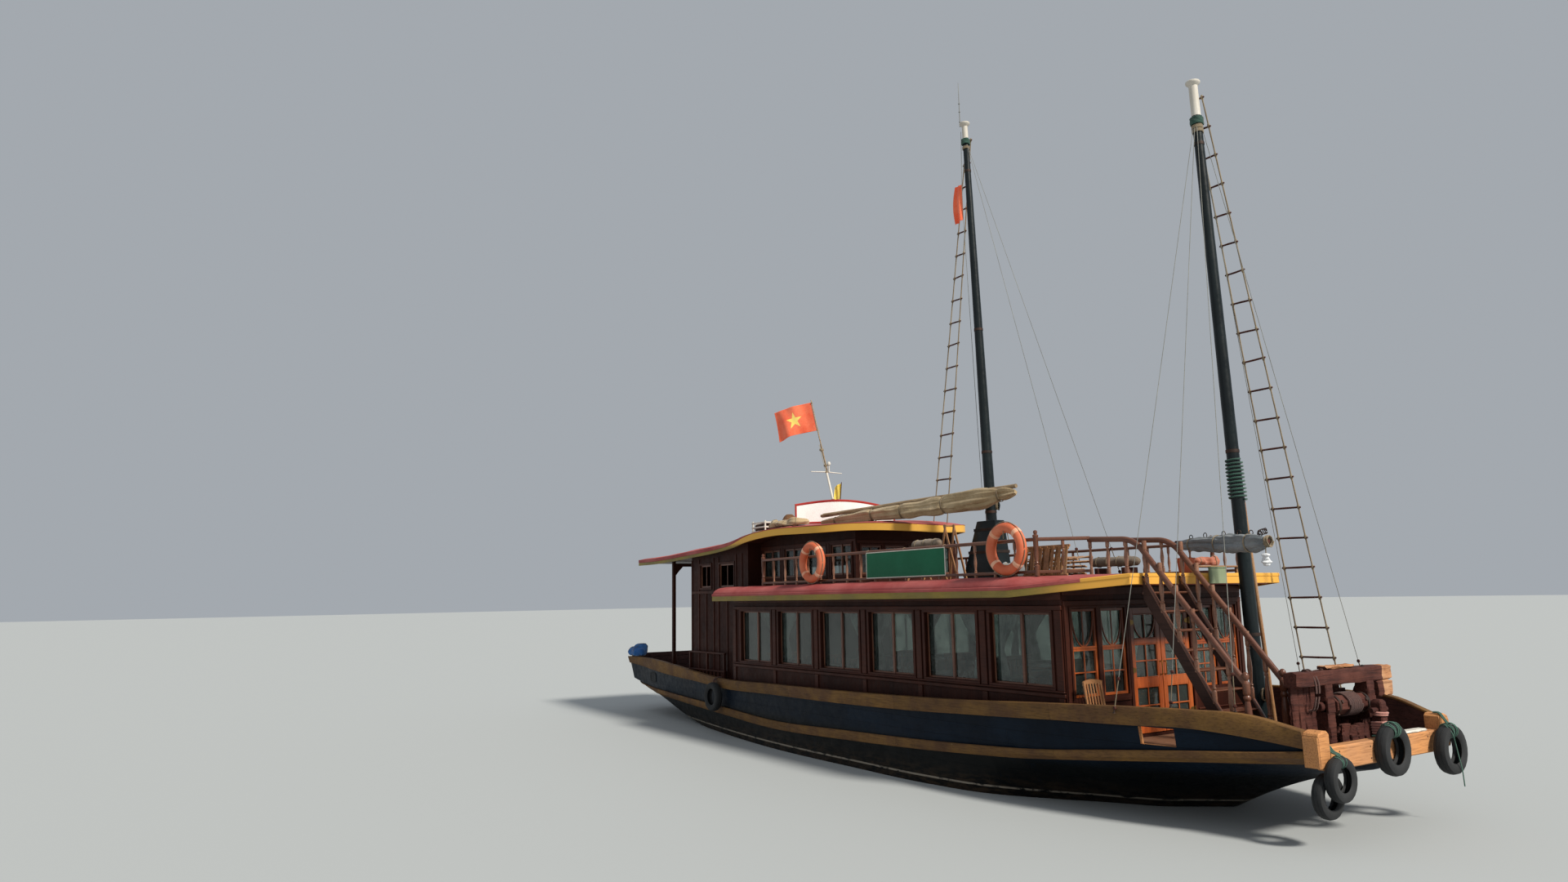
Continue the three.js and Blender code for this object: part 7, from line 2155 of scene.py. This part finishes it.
# A soft roll along a path: its section is a circle folded by cosines of 2, 3 and 7 w whose phases wander along it,
# and flattened below; its ends close in over the last tenth.
def lumpyRoll(path, radius, seed, flat=0.35, rings=70, sides=40, lumps=1.0):
    rng = np.random.default_rng(seed)
    path = np.array(path, float)
    line = rounded(path, 0.12) if len(path) > 2 else path
    run = np.concatenate([[0], np.cumsum(np.linalg.norm(np.diff(line, axis=0), axis=1))])
    t = np.linspace(0, 1, rings)[:, None]
    w = around(sides)[None]
    phase = [rng.uniform(0, 6) + rng.uniform(2, 5) * np.sin(rng.uniform(3, 8) * t + rng.uniform(0, 6))
            for _ in range(3)]
    swell = 1 + lumps * (0.16 * np.sin(9 * t + phase[0] * 0.3) + 0.1 * np.sin(23 * t + rng.uniform(0, 6)))
    close = np.sqrt(np.clip(1 - (np.abs(2 * t - 1) ** 6), 0.02, 1))
    r = radius * close * swell * (1 + lumps * (0.13 * np.cos(2 * w + phase[0]) + 0.09 * np.cos(3 * w + phase[1])
            + 0.05 * np.cos(7 * w + phase[2])))
    centre = np.stack([np.interp(t[:, 0] * run[-1], run, line[:, k]) for k in range(3)], -1)
    axis = unit(np.gradient(centre, axis=0))
    level = unit(np.cross([0, 0, 1], axis))
    lift = np.cross(axis, level)
    high = r * np.sin(w)
    high = np.where(high < -flat * radius, -flat * radius + 0.12 * (high + flat * radius), high)
    return centre[:, None] + (r * np.cos(w))[..., None] * level[:, None] + high[..., None] * lift[:, None]


def makeBundles():
    onRoof = np.array([(-2.52, -1.2), (-2.62, -1.47), (-3.05, -1.5), (-3.7, -1.4)])
    onRoof = np.column_stack([onRoof, roofTop(onRoof[:, 0], onRoof[:, 1] + 0.08) + 0.048])
    for name, path, radius, seed, flat, finish, turns, lumps in (
        ("canvasOnRoof", onRoof, 0.088, 2, 0.45, mainCanvas, 6, 1.3),
        ("tarpOnStern", [(-10.99, -1.2, 1.44), (-10.62, -1.27, 1.444), (-10.2, -1.325, 1.456)], 0.165, 5, 0.55,
        blueTarp, 3, 1.0),
        ("awningRoll", [(0.66, -1.22, 3.6), (1.38, -1.2, 3.606)], 0.085, 9, 0.6, brownCanvas, 3, 0.3),
        ("sheetOnDeck", [(5.03, 0.22, 3.176), (5.08, 0.72, 3.176)], 0.066, 12, 0.82, pinkCloth, 2, 1.0),
        ("matRoll", [(3.76, -0.43, 3.196), (4.6, -0.36, 3.196)], 0.076, 44, 0.8, brownCanvas, 4, 0.25),
        ("bagOnDeck", [(3.3, -1.72, 3.098), (3.72, -1.74, 3.098)], 0.12, 21, 0.72, foreCanvas, 2, 1.0),
    ):
        grid = lumpyRoll(path, radius, seed, flat, lumps=lumps)
        piece = assemble(name, [carried(grid)], [finish], sharp=60)
        cords = []
        for k in np.linspace(0.2, 0.8, turns):
            ring = grid[int(k * (len(grid) - 1))]
            middle = ring.mean(0)
            loop = middle + (ring - middle) * (1 + 0.004 / radius)
            cords += [tube(np.concatenate([loop[::2], loop[:1]]), 0.0055, 6)]
        assemble(name + "Cords", cords, [ropeFibre])
    bearers = [(x, -0.52, 3.064) for x in (3.94, 4.42)]
    assemble("matBearers", [boards(bearers, np.add(bearers, [0.02, 0.26, 0]), 0.07, 0.1, 0.006)], [roughTimber])


# The fore sail's outer end: its gathered rings, a few turns of line and a small bag of spare line hung from them.
def makeForeSailEnd():
    shapes = []
    for k, x in enumerate((6.46, 6.49, 6.52, 6.55, 6.57)):
        w = around(18)
        y = -0.44 + 0.245 * (6.59 - x)
        shapes += [tube(columns(x + 0.01 * np.sin(w + k), y + 0.034 * np.cos(w),
                3.475 + 0.034 * np.sin(w) + 0.004 * k), 0.0055, 6, 1)]
    v = np.linspace(0, 2 * pi * 6, 120)
    shapes += [tube(columns(6.555 + 0.005 * v / pi, -0.43 + (0.064 + 0.006 * np.sin(3.7 * v)) * np.cos(v),
            3.36 + (0.066 + 0.006 * np.sin(2.3 * v)) * np.sin(v)), 0.007, 6, 0)]
    shapes += [tube([(6.56, -0.455, 3.3), (6.56, -0.462, 3.24), (6.555, -0.455, 3.2)], 0.006, 6, 0)]
    assemble("foreSailEnd", shapes, [ropeFibre, blackIron], "fore_sail")
    piece = assemble("lineBag",
            [carried(lumpyRoll([(6.552, -0.455, 3.215), (6.548, -0.45, 3.055)], 0.046, 31, 2, rings=40, sides=28))],
            [whiteCanvas], "fore_sail", sharp=60)


# What carries the bundles: crossed sticks by the main mast and a low bench at the deck's front.
def makeTrestles():
    shapes = []
    for x in (0.8, 1.2):
        z = 3.49
        for s in (-1, 1):
            shapes += [boards((x + 0.02 * s, -1.21 + 0.24 * s, 3.004), (x + 0.02 * s, -1.21 - 0.045 * s, z + 0.1),
                    0.034, 0.026, 0.004, (1, 0, 0))]
        shapes += [boards((x, -1.36, 3.2), (x, -1.06, 3.2), 0.022, 0.03, 0.003)]
    for x0, x1, y in ((1.34, 1.56, -1.26), (1.78, 1.5, -1.24), (1.46, 1.62, -1.13), (1.84, 1.58, -1.11)):
        shapes += [boards((x0, y, 3.004), (x1, y, 3.9), 0.04, 0.022, 0.004, (0, 1, 0))]
    shapes += [boards((1.53, -1.27, 3.88), (1.57, -1.1, 3.88), 0.03, 0.03, 0.004)]
    bench = np.array([(5.06, 0.1), (5.06, 1.0)])
    shapes += [boards([(4.98, 0.06, 3.102), (5.14, 0.06, 3.102)], [(4.98, 1.04, 3.102), (5.14, 1.04, 3.102)], 0.145,
            0.022, 0.004)]
    for x, y in bench:
        for side in (-0.1, 0.1):
            shapes += [boards((x + side, y, 3.0006), (x + side, y, 3.09), 0.034, 0.034, 0.004, (1, 0, 0))]
    assemble("trestles", shapes, [paleWood])


basketShape = {"x": -4.32, "y": -0.52, "radius": 0.165, "high": 0.33, "rings": 21, "canes": 15}
crateShape = {"x": -4.28, "y": -1.16, "long": 0.27, "wide": 0.17}


# A basket: canes wound as rings whose radius waves between uprights, cos(n w), the wave turned over at each ring.
def makeBasket():
    s = basketShape
    x, y = s["x"], s["y"]
    base = float(roofTop(x, y)) + 0.016
    w = np.linspace(0, 2 * pi, 121)
    shapes = []
    for k in range(s["rings"]):
        h = k / (s["rings"] - 1)
        r = s["radius"] * sqrt(1 - 0.86 * h ** 3) + 0.004 * np.cos(15 * w + pi * k)
        shapes += [tube(columns(x + r * np.cos(w), y + r * np.sin(w), 0 * w + base + 0.014 + s["high"] * h)[:-1],
                0.0095, 6)]
    rim = columns(x + 0.168 * np.cos(w), y + 0.168 * np.sin(w), base + 0.012)
    shapes += [tube(rim[:-1], 0.015, 8)]
    shapes += [turned([(0, 0.352), (0.062, 0.346), (0.064, 0.334), (0, 0.33)], (x, y, base), 30)]
    for turn in around(s["canes"]):
        h = np.linspace(0, 1, 9)
        r = s["radius"] * np.sqrt(1 - 0.86 * h ** 3)
        shapes += [tube(columns(x + r * cos(turn), y + r * sin(turn), base + 0.012 + s["high"] * h), 0.006, 6)]
    assemble("basketOnRoof", shapes, [weatheredWicker])
    x, y, long, wide = crateShape.values()
    base = float(roofTop(x - 0.25, y - 0.15)) + 0.012
    shapes = []
    for z in (0.06, 0.15, 0.245):
        for side in (-1, 1):
            shapes += [boards((x - long, y + side * wide, base + z), (x + long, y + side * wide, base + z), 0.012,
                    0.034, 0.003)]
            shapes += [boards((x + side * (long - 0.01), y - wide + 0.01, base + z),
                    (x + side * (long - 0.01), y + wide - 0.01, base + z), 0.012, 0.034, 0.003)]
    shapes += [boards((x - 0.225, y, base + 0.115), (x + 0.225, y, base + 0.135), 0.26, 0.22, 0.03, finish=1)]
    corners = np.array([(sx * 0.25, sy * 0.15, 0) for sx in (-1, 1) for sy in (-1, 1)]) + [x, y, 0]
    corners[:, 2] = roofTop(corners[:, 0], corners[:, 1]) + 0.01
    shapes += [boards(corners, corners * [1, 1, 0] + [0, 0, base + 0.285], 0.03, 0.03, 0.003, (1, 0, 0))]
    assemble("crateOnRoof", shapes, [whitePaint, darkTrim])


# Small deck gear: a locker rail by the stern house, a pipe, a box on the fascia, a bucket, a plank on the bow beam
# and coils of rope, each a spiral r = a + b w laid in two tiers.
def makeDeckGear():
    shapes = []
    y = -1.6
    for x in (-6.92, -6.1, -5.32):
        shapes += [boards((x, y, 0.83), (x, y, 1.585), 0.05, 0.05, 0.005, (1, 0, 0))]
    for z in (1.6, 1.22):
        shapes += [boards((-6.96, y, z), (-5.28, y, z), 0.06, 0.034, 0.006)]
    for x in np.linspace(-6.8, -5.44, 9):
        shapes += [boards((x, y, 0.86), (x, y, 1.2), 0.11, 0.014, 0.003, (0, 1, 0))]
    shapes += [tube([(-4.62, -1.575, 2.62), (-4.6, -1.575, 1.8), (-4.56, -1.6, 1.0)], 0.028, 12)]
    for z in (2.45, 1.55):
        shapes += [turned([(0.026, z - 0.02), (0.034, z - 0.02), (0.034, z + 0.02), (0.026, z + 0.02)],
                (-4.607, -1.576, 0), 14)]
    assemble("sternGear", shapes, [darkTrim])
    shapes = [slab([(-0.02, 2.86), (0.33, 2.86), (0.33, 3.075), (-0.02, 3.075)], 0, 5.4212, 5.452, 0.006),
              slab([(-0.03, 3.07), (0.34, 3.07), (0.34, 3.088), (-0.03, 3.088)], 0, 5.4212, 5.462, 0.004)]
    assemble("boxOnFascia", shapes, [paleGreen])
    bucket = [
        (0, 0.004), (0.088, 0.004), (0.096, 0.012), (0.118, 0.2), (0.124, 0.204), (0.124, 0.214), (0.116, 0.214),
        (0.092, 0.02), (0, 0.018),
    ]
    w = np.linspace(0.15, pi - 0.15, 19)
    bail = columns(5.16 + 0.118 * np.cos(w), -0.12 + 0.05 * np.sin(w), 3.2 + 0.02 * np.sin(w))
    assemble("bucket", [turned(bucket, (5.16, -0.12, 3.0006), 28), tube(bail, 0.004, 6, 1)], [buoyOrange, blackIron])
    assemble("beamPlank", [hewn((7.452, 0.3, 1.0772), (7.452, 0.98, 1.0772), 0.115, 0.028, 61, rough=0.0015,
            steps=12)], [whitePaint])
    coils = []
    for x, y, r0, turns, finish in ((6.62, 0.42, 0.07, 5, 0), (6.7, -0.4, 0.06, 5, 1), (7.12, -1.02, 0.05, 4, 0),
            (5.2, 1.2, 0.06, 5, 1)):
        for tier in range(2):
            v = np.linspace(0, 2 * pi * (turns - tier), 24 * (turns - tier))
            r = r0 + 0.026 * v / (2 * pi)
            floor = float(deckAt(x)) + 0.018 + 0.023 * tier
            lift = 0.003 * np.sin(5 * v + x) * (1 if tier else 0)
            coils += [tube(columns(x + r * np.cos(v), y + r * np.sin(v), floor + lift), 0.0115, 7, finish)]
    assemble("ropeCoils", coils, [greenRope, ropeFibre])


# Lashings under both white mast tops, a pole lashed beside the foremast with cord wound round both, and a cloth
# flying from the main mast's halyard.
def makeMastGear():
    shapes = []
    for mast, z, turns, tall, lean in ((foreMast, 9.34, 7, 0.05, 0), (mainMast, 10.97, 5, 0.05, 0),
            (foreMast, 4.22, 11, 0.27, 1)):
        v = np.linspace(0, 2 * pi * turns, 18 * turns)
        high = z - tall + 2 * tall * v / v[-1]
        x, r = mastPlace(mast, high)
        apart = 0.108 + 0.0664 * (4.55 - high)
        bulge = np.clip(np.cos(v - 1.68), 0, 1) ** 6
        reach = r + 0.014 + 0.006 * np.sin(2.6 * v) ** 2 + lean * (apart + 0.02 - r) * bulge
        shapes += [tube(columns(x + reach * np.cos(v), reach * np.sin(v), high), 0.0125, 7, 0)]
    high = np.linspace(0.812, 4.55, 5)
    apart = 0.108 + 0.0664 * (4.55 - high)
    pole = columns(mastPlace(foreMast, high)[0] - 0.104 * apart, 0.995 * apart, high)
    shapes += [tube(pole, np.linspace(0.029, 0.021, 5), 14, 1)]
    assemble("mastLashings", shapes, [darkGreenRope, paleWood])
    x, r = mastPlace(mainMast, 9.8)
    u, v = np.meshgrid(np.linspace(0, 1, 31), np.linspace(0, 1, 61), indexing="ij")
    fold = 0.022 * np.sin(11 * u + 2.2 * v) * (0.4 + 0.6 * v)
    wide = 0.17 + 0.05 * np.sin(pi * v)
    grid = columns(x - r - 0.035 - wide * u - 0.03 * v * u, -0.09 + fold - 0.02 * v, 10.16 - 0.68 * v - 0.05 * u * v)
    piece = assemble("mastCloth", [sheetOf(grid)], [flagCloth], sharp=180)
    thicken(piece)
    top = mastPlace(mainMast, 11.2)
    low = mastPlace(mainMast, 4.2)
    line = [(top[0] - top[1] - 0.022, -0.03, 11.2), (x - r - 0.028, -0.09, 10.17), (x - r - 0.028, -0.09, 9.47),
            (low[0] - low[1] - 0.014, -0.07, 4.2)]
    assemble("mastHalyard", [tube(line, 0.0045, 6)], [wireRope])


paleWood = boardFinish("paleWood", dict(railLook, paint=(150, 104, 66), faded=(176, 136, 98), dark=(72, 46, 28),
        bare=(196, 164, 128), wear=0.3))
weatheredWicker = clothFinish("weatheredWicker", (124, 84, 50), (150, 110, 74), (70, 44, 26), 60)
brownCanvas = clothFinish("brownCanvas", (92, 78, 64), (136, 120, 102), (48, 38, 32), 90)
whiteCanvas = clothFinish("whiteCanvas", (210, 212, 214), (232, 232, 230), (150, 160, 176), 90)
blueTarp = clothFinish("blueTarp", (30, 92, 160), (70, 128, 188), (18, 54, 104), 40)
pinkCloth = clothFinish("pinkCloth", (150, 78, 54), (180, 112, 86), (92, 44, 32), 80)
darkGreenRope = clothFinish("darkGreenRope", (22, 60, 50), (40, 84, 70), (10, 30, 26), 60)
paleGreen = boardFinish("paleGreen", dict(whiteLook, paint=(150, 160, 128), faded=(132, 146, 116), dark=(76, 84, 62),
        bare=(110, 104, 84)))
makeFoldedChairs()
makeDeckChair()
makeTrestles()
makeBundles()
makeBasket()
makeDeckGear()
makeMastGear()
makeForeSailEnd()
print("loose things made")


floorGrid = np.stack(np.meshgrid([-300.0, 300.0], [-300.0, 300.0], [0.0], indexing="ij"), -1).reshape(2, 2, 3)
floorMesh = bpy.data.meshes.new("studioFloor")
floorMesh.from_pydata(floorGrid.reshape(-1, 3).tolist(), [], [[0, 2, 3, 1]])
studioFloor = bpy.data.objects.new("studioFloor", floorMesh)
bpy.context.scene.collection.objects.link(studioFloor)
floorFinish, floorShader = blankFinish("studioFloor")
feed(floorShader["Base Color"], (*studio["floor"], 1))
feed(floorShader["Roughness"], 0.7)
floorMesh.materials.append(floorFinish)
